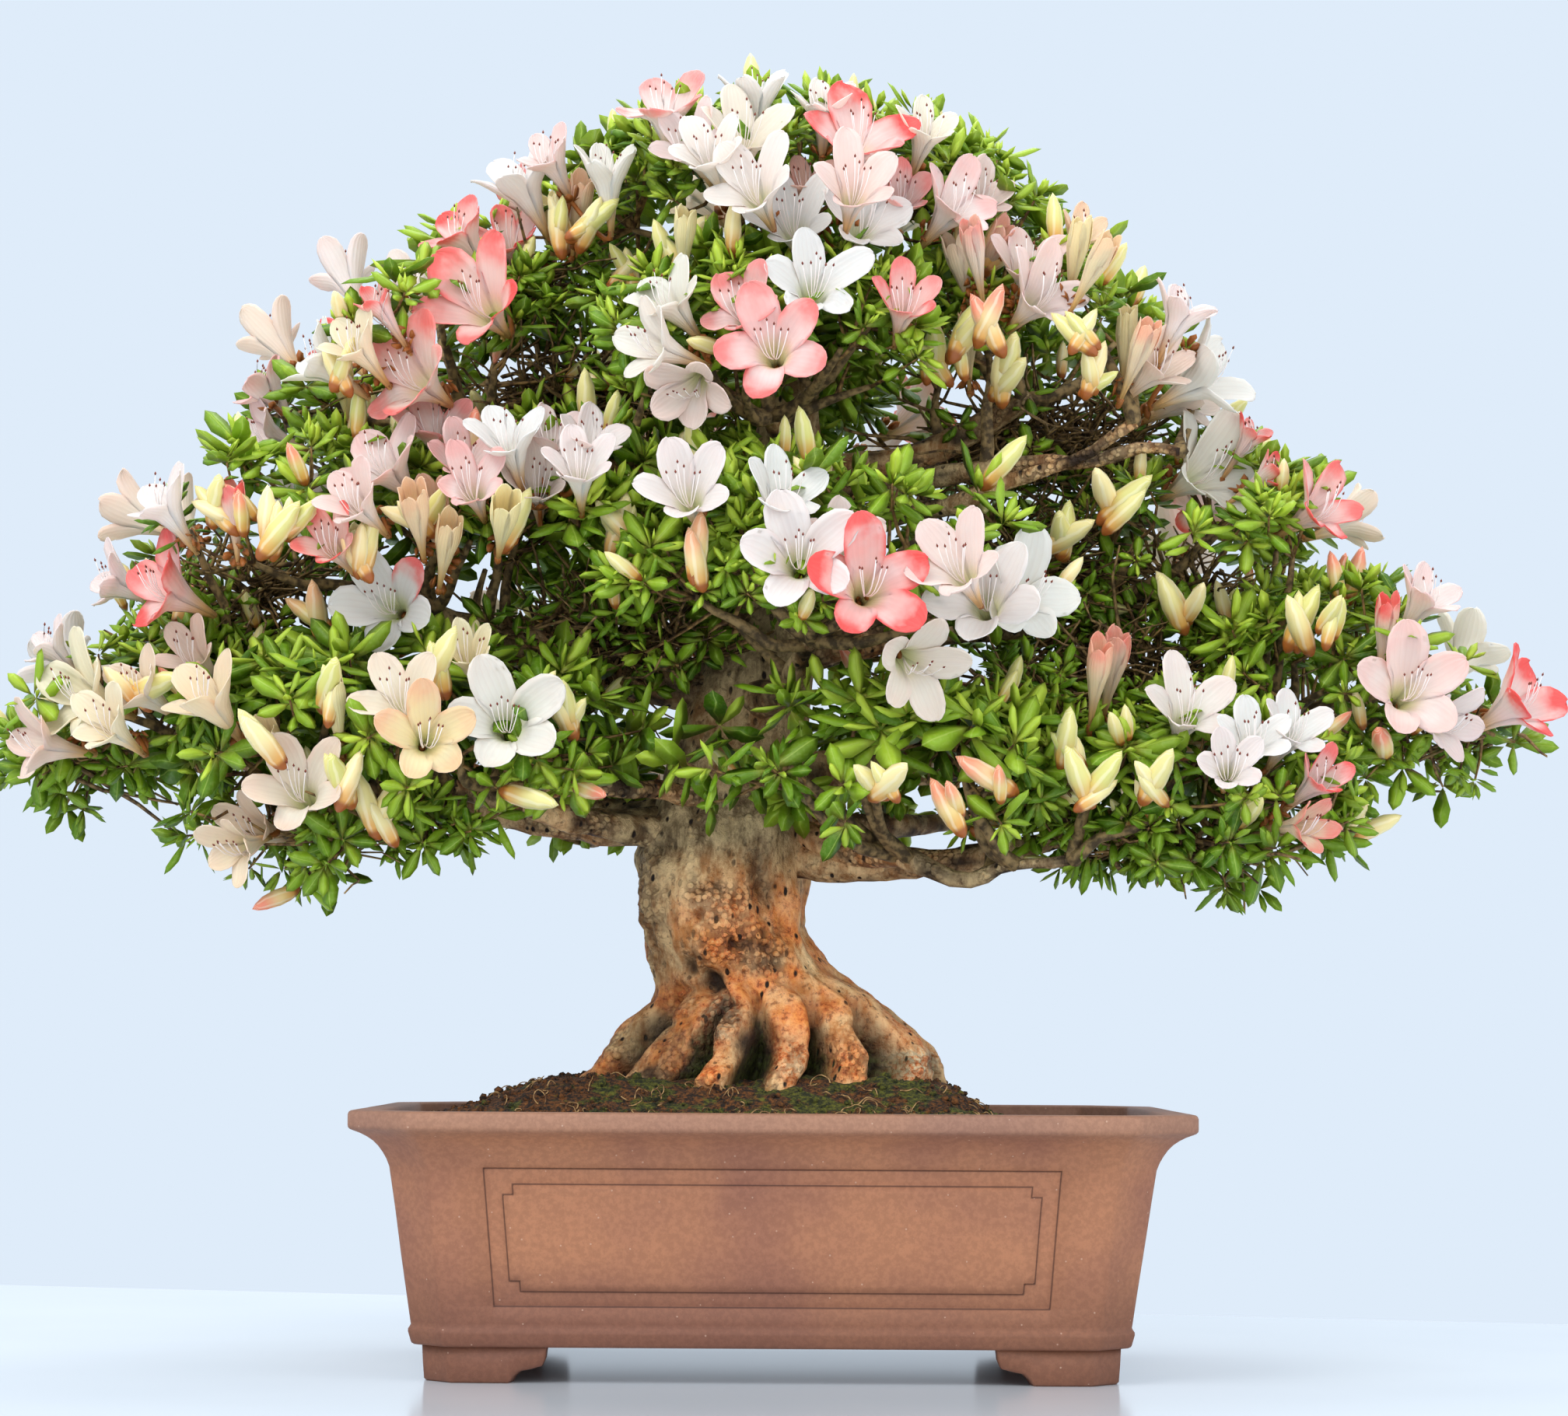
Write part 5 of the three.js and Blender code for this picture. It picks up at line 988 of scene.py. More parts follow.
def trunk_skin():
    """The trunk: for each height and bearing an ellipse, swollen on the roots' crests, cut deep between them,
    with spots, knots and bark relief. Marks: painted shade of creases, rust, moss and grey, then pale and
    knobbly."""
    z = np.concatenate([np.linspace(118, 148, 7)[:-1], np.linspace(148, 330, 114)[:-1],
                        np.linspace(330, 632, 44)])
    bearing = np.linspace(-math.pi, math.pi, 231)[:-1]
    rings = ring_at(z)
    z_row = z[:, None]
    low = 1 - smooth(z_row, 143, 236)
    near_soil = 1 - smooth(z_row, 150, 205)
    wall = stacked(60 * np.cos(bearing), 60 * np.sin(bearing), z_row)
    wander = 0.17 * noise(wall, 36, 71) * smooth(z_row, 145, 180) + 0.09 * noise(wall, 17, 72)
    valley = root_share(bearing[None] + wander)
    deep = smooth(valley, 0.42, 0.9)
    relief = 1 + low * (0.1 * (1 - valley ** 2) - 0.24 * deep) - near_soil * 0.26 * deep
    # Higher up the ridges run on as shallow flutes
    flute = 0.035 * np.cos(5 * (bearing + 2.4 * wander) + z_row / 60)
    relief = relief + (1 - smooth(z_row, 300, 470)) * (flute + 0.02 * np.cos(9 * bearing - z_row / 34))
    out = stacked(np.cos(bearing), np.sin(bearing), 0 * bearing)[None]
    sizes = stacked(rings[:, 2], rings[:, 3], 0 * z)[:, None]
    skin = stacked(rings[:, 0], rings[:, 1], z)[:, None] + sizes * out * relief[..., None]
    tall = skin * [1, 1, 0.6]
    knots, bark = rough(tall, 26, 3, 81), rough(tall, 9, 3, 91)
    thin = smooth(z_row, 118, 150) * np.clip(rings[:, 2, None] / 45, 0.25, 1)
    push = thin * ((3.0 + 2.4 * low) * knots + 1.8 * bark)
    marks = np.zeros((4,) + push.shape)
    warp = skin + 5 * np.stack([rough(skin, 13, 2, 92 + k) for k in range(3)], axis=-1)
    for x0, z0, half_x, half_z, swell, *tones in BARK_SPOTS:
        near = ((warp[..., 0] - x0) / half_x) ** 2 + ((warp[..., 2] - z0) / half_z) ** 2
        near = np.exp(-0.8 * near ** 1.5) * (skin[..., 1] < 0)
        push = push + near * swell
        marks = np.maximum(marks, near * np.array(tones)[:, None, None])
    rust, pale, knobbly, dark = marks
    wormy = 1 - np.abs(rough(skin, 8, 2, 97)) * 2.4
    push = push + knobbly * 2.6 * wormy
    skin = skin + out * push[..., None]
    # Painted shade: darker in the valleys between the roots, in the dark hollow spots, low relief and between
    # knobs
    shade = smooth(valley, 0.36, 0.74)
    crease_shade = np.clip(shade * low * 1.2 + dark + np.clip(-bark - 0.5, 0, 1) * 0.6, 0, 0.96)
    crease_shade = np.maximum(crease_shade, knobbly * np.clip(0.2 - wormy, 0, 0.8))
    rust = np.maximum(rust, 0.8 * smooth(rough(skin, 30, 2, 101), 0.0, 0.5) * (1 - smooth(z_row, 235, 290)))
    moss = 0.8 * shade * near_soil * smooth(rough(skin, 12, 2, 103), -0.3, 0.3)
    moss = np.clip(moss + 0.8 * (1 - smooth(z_row, 148, 162)) * smooth(noise(skin, 12, 107), -0.1, 0.5), 0, 1)
    flank = smooth(skin[..., 0], 0, 40) * (1 - smooth(z_row, 285, 320))
    grey = smooth(z_row, 235, 300) * 0.9 + 0.4 * noise(skin, 30, 109) + 0.25 * smooth(-skin[..., 0], 40, 70)
    grey = np.clip(grey - 0.7 * flank, 0, 1)
    knobbly = np.clip(knobbly + 0.5 * (1 - flank) * smooth(rough(skin, 22, 2, 111), 0.1, 0.6), 0, 1)
    marks = stacked(crease_shade, rust * (1 - 0.6 * dark), moss, grey, pale, knobbly, 0, 0)
    ends = skin[[0, -1]].mean(axis=1) + [[0, 0, 0], [0, 0, 4]]
    return *closed_rings(skin, ends), np.concatenate([marks.reshape(-1, 8), marks[[0, -1], 0]])


def main_branches():
    """Paths and radii of the main branches: each a curve of three points from the trunk into its pad,
    thinning on the way, and gnarled by noise."""
    t = np.linspace(0, 1, 30)[:, None]
    paths, radii = [], []
    for lump, height, radius, sag in BRANCHES:
        start = np.array([*ring_at(np.array([float(height)]))[0, :2], height])
        heart = LUMP_MID[lump] - [0, 0, 0.3 * LUMP_HALF[lump, 3]]
        end = start + (heart - start) * 0.86
        bend = start + (end - start) * 0.55
        bend[2] = start[2] + (end[2] - start[2]) * 0.35 + sag
        path = bow(start, bend, end, t)
        paths.append(path + shake(path, 46, 201) * [6, 6, 5] * np.sin(math.pi * t) ** 0.7)
        knots = 1 + 0.16 * noise(path, 17, 205) + 0.1 * noise(path, 7, 207)
        radii.append(radius * (1 - 0.55 * t[:, 0]) * knots)
    return np.stack(paths), np.stack(radii)


def bare_limbs():
    """Bare limbs that show in gaps of the canopy: gnarled, nearly level, in front of the trunk."""
    t = np.linspace(0, 1, 18)[:, None]
    paths = np.stack([bow(*np.array(limb, float), t) for limb in BARE_LIMBS])
    paths = paths + shake(paths, 34, 221) * [6, 6, 7] * np.sin(math.pi * t) ** 0.6
    return paths, (7.5 - 4.6 * t[:, 0]) * (1 + 0.2 * noise(paths, 12, 227))


# The pads of leaves

LUMP_MID = np.array([lump[1] for lump in LUMPS], float)
LUMP_HALF = np.array([lump[2:] for lump in LUMPS], float)


def lump_point(k, bearing, elevation):
    """A point on lump k: a flattened ball whose outline waves three and five times round, flatter below
    than above."""
    mid, half = LUMP_MID[k], LUMP_HALF[k]
    phase = mid[0] * 0.05 + mid[2] * 0.03
    wave = 1 + 0.07 * np.sin(3 * bearing + phase) + 0.05 * np.sin(5 * bearing + 2 * phase + 3 * elevation)
    flat = wave * np.cos(elevation)
    rise = np.where(np.asarray(elevation) > 0, half[2], half[3]) * np.sin(elevation)
    return mid + stacked(half[0] * flat * np.cos(bearing), half[1] * flat * np.sin(bearing), rise)


@lru_cache(maxsize=None)
def lump_faces(k):
    """Corners of the triangles of lump k: rings at set elevations, closed at both ends, with a leaf tip
    raised off every cell between two rings."""
    mid, sides = LUMP_MID[k], LUMP_SIDES
    ring, spot = np.arange(len(LUMP_ELEVATIONS))[:, None], np.arange(sides)[None]
    bearing = (spot + (ring % 2) / 2) * 2 * math.pi / sides
    skin = lump_point(k, bearing, np.radians(LUMP_ELEVATIONS)[:, None] + 0 * bearing)
    skin = skin + unit(mid - skin) * LEAF_TIP["hollow"]
    ring = ring[:-1]
    a, b = skin[:-1], np.roll(skin[:-1], -1, axis=1)
    above = skin[ring + 1, (spot + ring % 2) % sides]
    above_next = skin[ring + 1, (spot + 1 + ring % 2) % sides]
    middle = (a + b + above + above_next) / 4
    rise = LEAF_TIP["rise"] * np.where(ring == 0, 0.45, 1) * (1 + 0.35 * np.sin(7 * spot + 5 * ring))
    aside = (b - a) * (LEAF_TIP["lean"] * np.sin(3 * spot + 4 * ring))[..., None]
    tip = middle + unit(middle - mid) * rise[..., None] + aside + (above - a) * LEAF_TIP["lean"] * 0.8
    cell = np.stack([a, b, above_next, above], axis=2)
    tips = np.broadcast_to(tip[:, :, None], cell.shape)
    cells = np.stack([cell, np.roll(cell, -1, axis=2), tips], axis=3).reshape(-1, 3, 3)
    low = np.broadcast_to(lump_point(k, 0.0, -math.pi / 2), (sides, 3))
    high = np.broadcast_to(lump_point(k, 0.0, math.pi / 2), (sides, 3))
    caps = [np.stack([low, np.roll(skin[0], -1, axis=0), skin[0]], axis=1),
            np.stack([high, skin[-1], np.roll(skin[-1], -1, axis=0)], axis=1)]
    return np.concatenate([cells] + caps)


def hit(faces, start, way):
    """Where a ray first meets a set of triangles: its distance (infinite where it misses), the point and the
    outward direction. The ray is solved for its distance and its two shares of each triangle's sides."""
    a, ab, ac = faces[:, 0], faces[:, 1] - faces[:, 0], faces[:, 2] - faces[:, 0]
    p = np.cross(way, ac)
    det = (ab * p).sum(-1)
    det = np.where(np.abs(det) < 1e-12, 1e-12, det)
    u = ((start - a) * p).sum(-1) / det
    q = np.cross(start - a, ab)
    v = (q * way).sum(-1) / det
    far = (ac * q).sum(-1) / det
    far = np.where((u >= 0) & (v >= 0) & (u + v <= 1) & (far >= 0), far, np.inf)
    i = far.argmin()
    return far[i], start + way * (far[i] if np.isfinite(far[i]) else 0), unit(np.cross(ab[i], ac[i]))


def first_met(start, way, lumps=range(len(LUMPS))):
    """The lump that a ray meets first, with the distance, the point and the outward direction there.
    None where it misses them all."""
    best = None
    for lump in lumps:
        far, at, normal = hit(lump_faces(lump), start, way)
        if np.isfinite(far) and (best is None or far < best["far"]):
            best = {"far": far, "at": at, "normal": normal, "lump": lump}
    return best


def nearest_to_line(start, way, lumps=range(len(LUMPS))):
    """The same for the triangle whose middle lies nearest to a line, and how far off it is."""
    best = None
    for lump in lumps:
        faces = lump_faces(lump)
        middle = faces.mean(axis=1)
        along = (middle - start) @ way
        off = np.linalg.norm(middle - start - along[:, None] * way, axis=1)
        i = off.argmin()
        if best is None or off[i] < best["off"]:
            normal = unit(np.cross(faces[i, 1] - faces[i, 0], faces[i, 2] - faces[i, 0]))
            best = {"off": off[i], "far": along[i], "at": middle[i], "normal": normal, "lump": lump}
    return best


# Placing the blooms

def facing(turn, tilt):
    """The way a bloom faces, from its turn to the right of the front and its tilt up."""
    a, b = math.radians(turn), math.radians(tilt)
    return np.array([math.sin(a) * math.cos(b), -math.cos(a) * math.cos(b), math.sin(b)])


def camera_axes():
    """The camera's right, up and forward directions: pitched up, then rolled."""
    pitch, roll = math.radians(VIEW["pitch"]), math.radians(VIEW["roll"])
    level = np.array([1.0, 0.0, 0.0])
    upright = np.array([0.0, -math.sin(pitch), math.cos(pitch)])
    forward = np.array([0.0, math.cos(pitch), math.sin(pitch)])
    right = level * math.cos(roll) + upright * math.sin(roll)
    up = upright * math.cos(roll) - level * math.sin(roll)
    return right, up, forward


def sight(pixel_x, pixel_y):
    """The direction of the line of sight through a pixel of the photograph."""
    right, up, forward = camera_axes()
    return unit(forward * VIEW["focal"] + right * (pixel_x - VIEW["mid_x"]) + up * (VIEW["mid_y"] - pixel_y))


VIEW_AT = np.array([VIEW["x"], VIEW["y"], VIEW["z"]], float)


def pixels(points):
    """Where points show in the photograph: their shares along the camera's axes, scaled to pixels."""
    right, up, forward = camera_axes()
    off = points - VIEW_AT
    scale = VIEW["focal"] / (off @ forward)
    return np.stack([VIEW["mid_x"] + off @ right * scale, VIEW["mid_y"] - off @ up * scale], axis=1)


def room_at(mouth, reach, standing):
    """How far a mouth is from the nearest bloom that stands, as a share of both reaches, and at most 1."""
    return min([1.0] + [np.linalg.norm(one["mouth"] - mouth) / (one["reach"] + reach) for one in standing])


def place_seen(spec, only, standing):
    """A seen bloom: its mouth on the line of sight, one tube's length in front of the pad it grows on,
    moved along the line as little as lets it clear the blooms that already stand."""
    pixel_x, pixel_y, turn, tilt, reach, opened = spec[:6]
    axis, way = facing(turn, tilt), sight(pixel_x, pixel_y)
    start = VIEW_AT - axis * BLOOM_TUBE
    tried = range(len(LUMPS)) if only is None else [only]
    best = first_met(start, way, tried) or nearest_to_line(start, way, tried)
    mouth = start + way * best["far"] + axis * BLOOM_TUBE
    tries = [mouth + way * offset for offset in (0, -9, 9, -18, 18, -27, 27)]
    room = [room_at(at, reach, standing) for at in tries]
    chosen = next((i for i, r in enumerate(room) if r > ROOM_SHARE), int(np.argmax(room)))
    placed = {**best, "mouth": tries[chosen], "axis": axis, "reach": reach, "open": opened, "tint": spec[6:]}
    standing.append(placed)
    return placed


def place_unseen(lump, bearing, elevation, tilt, tint, reach, opened):
    """A bloom on the back of a lump, at a bearing and elevation of it."""
    mid = LUMP_MID[lump]
    out = unit(lump_point(lump, math.radians(bearing), math.radians(elevation)) - mid)
    _, at, normal = hit(lump_faces(lump), mid, out)
    axis = facing(bearing + 90, tilt)
    return {"at": at, "normal": normal, "lump": lump, "mouth": at + axis * BLOOM_TUBE, "axis": axis,
            "reach": reach, "open": opened, "tint": tint}


def shared_bud(placed):
    """The bud that a bunch grows from: the spot of the pad straight behind the middle of the bunch,
    or under it where nothing lies straight behind."""
    if len(placed) == 1:
        return placed[0]["at"], placed[0]["normal"], GAP
    faces, mid = lump_faces(placed[0]["lump"]), LUMP_MID[placed[0]["lump"]]
    back = -unit(sum(one["axis"] for one in placed))
    middle = sum(one["mouth"] for one in placed) / len(placed)
    far, at, normal = hit(faces, middle, back)
    if not np.isfinite(far):
        _, at, normal = hit(faces, mid, unit(middle - mid))
    return at, normal, BUD_SEAT


def raised(one):
    """The bloom with its face turned up a little, most where it looks level, and set back into the leaves."""
    axis = unit(one["axis"] + [0, 0, 0.34 * (1 - abs(one["axis"][2]))])
    return {**one, "axis": axis, "mouth": one["mouth"] - axis * SET_BACK}


def single(one):
    """A bloom on its own, as a bunch of the smaller flowers."""
    colour = "pink" if one["tint"][0] > 0.5 else "white"
    return {"name": "more_" + colour, "blooms": [one], "bud": one["at"], "normal": one["normal"]}


def drawer(start):
    """Repeatable draws between two values: every draw stirs a 32-bit state by multiplying and shifting."""
    whole = 0xFFFFFFFF
    state = [start & whole]

    def draw(low, high):
        state[0] = (state[0] + 0x6D2B79F5) & whole
        t = (state[0] ^ (state[0] >> 15)) * (1 | state[0]) & whole
        t = ((t + ((t ^ (t >> 7)) * (61 | t) & whole)) ^ t) & whole
        return low + (high - low) * ((t ^ (t >> 14)) & whole) / (whole + 1)
    return draw


@lru_cache(maxsize=None)
def all_bunches():
    """Every bunch: the name of its node, or of its kind for the smaller flowers, its blooms, and the bud that
    they share. The seen ones come first, then those on the back, the smaller seen ones and the single ones
    all round, of which those stay that have room inside the canopy's outline."""
    standing, made = [], []
    for colour, specs in BUNCHES:
        placed = []
        for spec in specs:
            placed.append(place_seen(spec, placed[0]["lump"] if placed else None, standing))
        made.append((colour, placed))
    draw = drawer(BACK_BUNCHES["seed"])
    for i, lump in enumerate(BACK_BUNCHES["lumps"]):
        bearing = draw(60, 120)
        colour, tint = ("white", (0.05, 0.15, 0.1)) if i % 3 else ("pink", (0.9, 0.7, 0))
        placed = []
        for aside in (-9, 9):
            elevation = draw(14, 34)
            tilt = draw(0, 2) * BACK_BUNCHES["tilt"]
            placed.append(place_unseen(lump, bearing + aside, elevation, tilt, tint,
                                       BACK_BUNCHES["reach"], BACK_BUNCHES["open"]))
        made.append((colour, placed))
    bunches = []
    for i, (colour, placed) in enumerate(made):
        at, normal, seat = shared_bud(placed)
        bunches.append({"name": f"bloom_{colour}_{i + 1}", "blooms": [raised(one) for one in placed],
                        "bud": at + normal * seat, "normal": normal})
    bunches += [single(raised(place_seen(spec, None, standing))) for spec in MORE_BLOOMS]
    rng = np.random.default_rng(77)
    standing += [one for bunch in bunches for one in bunch["blooms"]]
    for lump, middle, half in AROUND * 5:
        tint = (0.85, 0.6, 0) if rng.random() < 0.3 else tuple(rng.uniform(0, 1, 3) * (0.15, 0.35, 0.4))
        one = raised(place_unseen(lump, middle + rng.uniform(-half, half), rng.uniform(8, 52),
                                  rng.uniform(0, 50), tint, rng.uniform(22, 28), rng.uniform(0.5, 0.9)))
        off = np.linalg.norm((one["mouth"] - LUMP_MID) / LUMP_HALF[:, :3], axis=1)
        off[lump] = np.inf
        within = inside_outline(pixels(one["mouth"][None] + one["axis"] * 12))[0]
        if within and room_at(one["mouth"], one["reach"], standing) > ROOM_SHARE and off.min() > 1.1:
            standing.append(one)
            bunches.append(single(one))
    return bunches


# Blooms

# Along a lobe from the bottom of the tube to its tip: way along, half width and radius as shares of the
# spread, depth below the mouth in mm, and height above it as a share of the rise
LOBE = np.array([
    (0.00, 0.05, 0.06, -26, 0), (0.14, 0.085, 0.12, -17, 0), (0.28, 0.135, 0.19, -9, 0),
    (0.40, 0.195, 0.28, -3, 0), (0.50, 0.26, 0.38, 0, 0.12), (0.62, 0.335, 0.53, 0, 0.34),
    (0.74, 0.355, 0.69, 0, 0.58), (0.85, 0.315, 0.84, 0, 0.80), (0.93, 0.225, 0.93, 0, 0.92),
    (0.98, 0.12, 0.985, 0, 0.98), (1.00, 0.03, 1.00, 0, 1.00),
])
# The last mark of a flower's parts, which is 0 on petals
PART = {"scale": 0.35, "filament": 0.7, "anther": 1.0}


def petals(one, rng):
    """Five lobes on a shared tube. Each point of a lobe lies on an arc about the bloom's axis whose radius
    and half width follow the table; it is cupped low down, its tip bends back, its rim waves, and it is a
    thin sheet. A half-open flower is narrower and taller."""
    opened = 0.85 * one["open"]
    spread = one["reach"] * (1.3 if one["tint"][0] > 0.5 else 1.22) * (0.4 + 0.6 * opened)
    rise = one["reach"] * (1.05 - 0.5 * opened)
    v, width, radius, depth, lift = LOBE.T[:, None, :, None]
    u = np.linspace(-1, 1, 7)[None, None, :]
    lobe = np.radians(36 + 72 * np.arange(5))[:, None, None]
    vary = rng.normal(size=(5, 6))[:, :, None, None]
    outer = smooth(v, 0.4, 0.85)
    axes = upright_frames(one["axis"])
    # How much each lobe points upwards: the upper ones stand, the lower ones curl back
    upper = axes[2, 0] * np.cos(lobe) + axes[2, 1] * np.sin(lobe)
    width = width * (1 + 0.08 * vary[:, 0] * outer)
    # A flower that isn't open closes towards its tip
    radius = radius * (1 - 0.75 * (1 - opened) ** 4 * smooth(v, 0.45, 1))
    radius = radius * (1 + (0.06 * vary[:, 1] + 0.08 * upper) * outer)
    angle = np.arcsin(np.clip(width / radius, 0, 0.93)) * u + lobe + np.radians(4 * vary[:, 2]) * outer
    wave = 0.03 * np.sin(v * 13 + 3 * vary[:, 3] + 2 * u) * np.abs(u) ** 1.5 * outer
    curl = 0.1 * vary[:, 4] + 0.14 * upper - 0.04
    cup = 0.1 * smooth(v, 0.35, 0.6) - 0.08 * smooth(v, 0.7, 1)
    height = depth + rise * lift + spread * (wave + cup * u * u + curl * outer ** 2) + 0.5 * u
    local = stacked(spread * radius * np.cos(angle), spread * radius * np.sin(angle), height)
    points, faces = sheets(local @ axes.T + one["mouth"], 0.4)
    coral, blush, cream = one["tint"]
    # A coral below zero colours one lobe alone
    share = np.array([1, 0, 0, 0, 0]) if coral < 0 else 1 + 0.14 * vary[:, 5, 0, 0]
    coral = (abs(coral) * share)[:, None, None]
    marks = stacked(v, (u + 1) / 2, 0, rng.random((5, 1, 1)), coral, blush, cream, 0).reshape(5, -1, 8)
    both = np.concatenate([marks + [0, 0, 1, 0, 0, 0, 0, 0], marks], axis=1)
    return points, faces, both.reshape(-1, 8)


def part_marks(points, kind):
    """Marks for points of a flower that aren't petal."""
    return np.tile([0.5, 0.5, 0, 0, 0, 0, 0, PART[kind]], (len(points), 1))


def stamens(one, rng):
    """Five filaments and a longer style: each bends down from the throat and curves up towards its end,
    where a small pointed anther or stigma sits."""
    axes = upright_frames(one["axis"])
    upward = unit(axes[2, :2] + 1e-4)
    sideways = np.array([-upward[1], upward[0]])
    t = np.linspace(0, 1, 6)[None, :, None]
    turn = np.linspace(-0.9, 0.9, 6)[:, None, None] + rng.normal(size=(6, 1, 1)) * 0.12
    length = one["reach"] * np.array([0.78, 0.7, 0.84, 1.02, 0.72, 0.8])[:, None, None]
    length = length * (0.75 + 0.25 * one["open"])
    out = -9 + (length + 9) * t
    side = turn * 8.5 * t ** 1.3
    lift = -5.5 * np.sin(math.pi * t * 0.8) + 8 * t ** 3 + 1.5 * np.cos(turn * 3) * t
    local = np.concatenate([sideways * side + upward * lift, out + 0 * side], axis=-1)
    paths = local @ axes.T + one["mouth"]
    points, faces = tubes(paths, np.full(paths.shape[:2], 0.3), 3)
    tip, way = paths[:, -1], unit(paths[:, -1] - paths[:, -2])
    shape = [(0, 0, -1.4), (0.9, 0, 0.3), (0, 0.9, 0.3), (-0.9, 0, 0.3), (0, -0.9, 0.3), (0, 0, 2.2)]
    sides = np.array([(0, 2, 1), (0, 3, 2), (0, 4, 3), (0, 1, 4), (5, 1, 2), (5, 2, 3), (5, 3, 4), (5, 4, 1)])
    ends, end_faces = copies(np.array(shape), sides, tip, upright_frames(way), np.full((6, 1), 0.72))
    return [(points, faces, part_marks(points, "filament")), (ends, [end_faces], part_marks(ends, "anther"))]


def stalks(one, bud):
    """The stalk from the shared bud to the bottom of the tube, on a curve that ends along the bloom's
    axis."""
    base = one["mouth"] - one["axis"] * 25
    bend = base - one["axis"] * (np.linalg.norm(base - bud) * 0.4)
    path = bow(bud, bend, base + one["axis"] * 2, np.linspace(0, 1, 6)[:, None])
    points, faces = tubes(path[None], np.linspace(1.3, 1.9, 6)[None], 5)
    return points, faces, part_marks(points, "scale")


# Rings of leaves of a shoot, by where it grows: how many leaves, height on the shoot in mm, lift in degrees,
# length, width, youth and rows of points
LEAF_KINDS = {
    "high": [(5, 15, 22, 1.0, 0.41, 0.25, 3), (3, 16.5, 52, 0.72, 0.36, 0.85, 2),
             (1, 17, 74, 0.5, 0.2, 1.0, 1), (2, 6, 6, 0.85, 0.44, 0.0, 2)],
    "low": [(5, 15, 8, 1.0, 0.45, 0.15, 3), (3, 16.5, 48, 0.74, 0.36, 0.7, 3), (2, 6, 4, 0.9, 0.42, 0.0, 2)],
    "deep": [(5, 15, 20, 1.0, 0.42, 0.1, 2), (3, 6, 10, 0.9, 0.42, 0.0, 1)],
}
LEAF_ROWS = {3: [(0.22, 0.52), (0.54, 1.0), (0.83, 0.74)], 2: [(0.34, 0.82), (0.72, 0.9)], 1: [(0.52, 1.1)]}


def leaf_shape(rows, droop, fold):
    """A closed leaf one unit long and wide: a keel above its two edges, widest past the middle and drooping
    towards the tip, over an underside from edge to edge. Returns points, faces, along and across."""
    points = [(0, 0, 0)]
    for y, w in LEAF_ROWS[rows]:
        points += [(side * w / 2, y, -fold * abs(side) * w - droop * y * y) for side in (-1, 0, 1)]
    points = np.array(points + [(0, 1, -droop - fold * 0.6)], float)
    faces = [(0, 2, 1), (0, 3, 2), (0, 1, 3)]
    for a in range(1, 3 * rows - 2, 3):
        b, c, d, e, f = range(a + 1, a + 6)
        faces += [(a, b, e), (a, e, d), (b, c, f), (b, f, e), (a, d, f), (a, f, c)]
    a, b, c, tip = range(3 * rows - 2, 3 * rows + 2)
    faces += [(a, b, tip), (b, c, tip), (a, tip, c)]
    return points, np.array(faces), points[:, 1], (np.sign(points[:, 0]) + 1) / 2


def leaf_axes(direction, normal):
    """Axes of leaves as columns: across, along the given direction, and their upper side."""
    along = unit(direction)
    across = unit(np.cross(along, normal))
    return np.stack([across, along, np.cross(across, along)], axis=-1)


def bud_scales(bunch, rng):
    """Six short pointed scales that cup the foot of the stalks."""
    normal = bunch["normal"]
    angle = np.radians(60 * np.arange(6) + rng.uniform(0, 60))
    around = stacked(np.cos(angle), np.sin(angle), 0) @ upright_frames(normal).T
    inner = np.arange(6) % 2 == 1
    axes = leaf_axes(normal + around * np.where(inner, 0.45, 0.8)[:, None], -around)
    shape, faces, _, _ = leaf_shape(2, 0.1, 0.3)
    size = stacked(5.5, np.where(inner, 10.0, 7.0), 5.5)
    points, faces = copies(shape, faces, bunch["bud"] - normal * 1.5 + around * 1.6, axes, size)
    return points, [faces], part_marks(points, "scale")


# Leaves

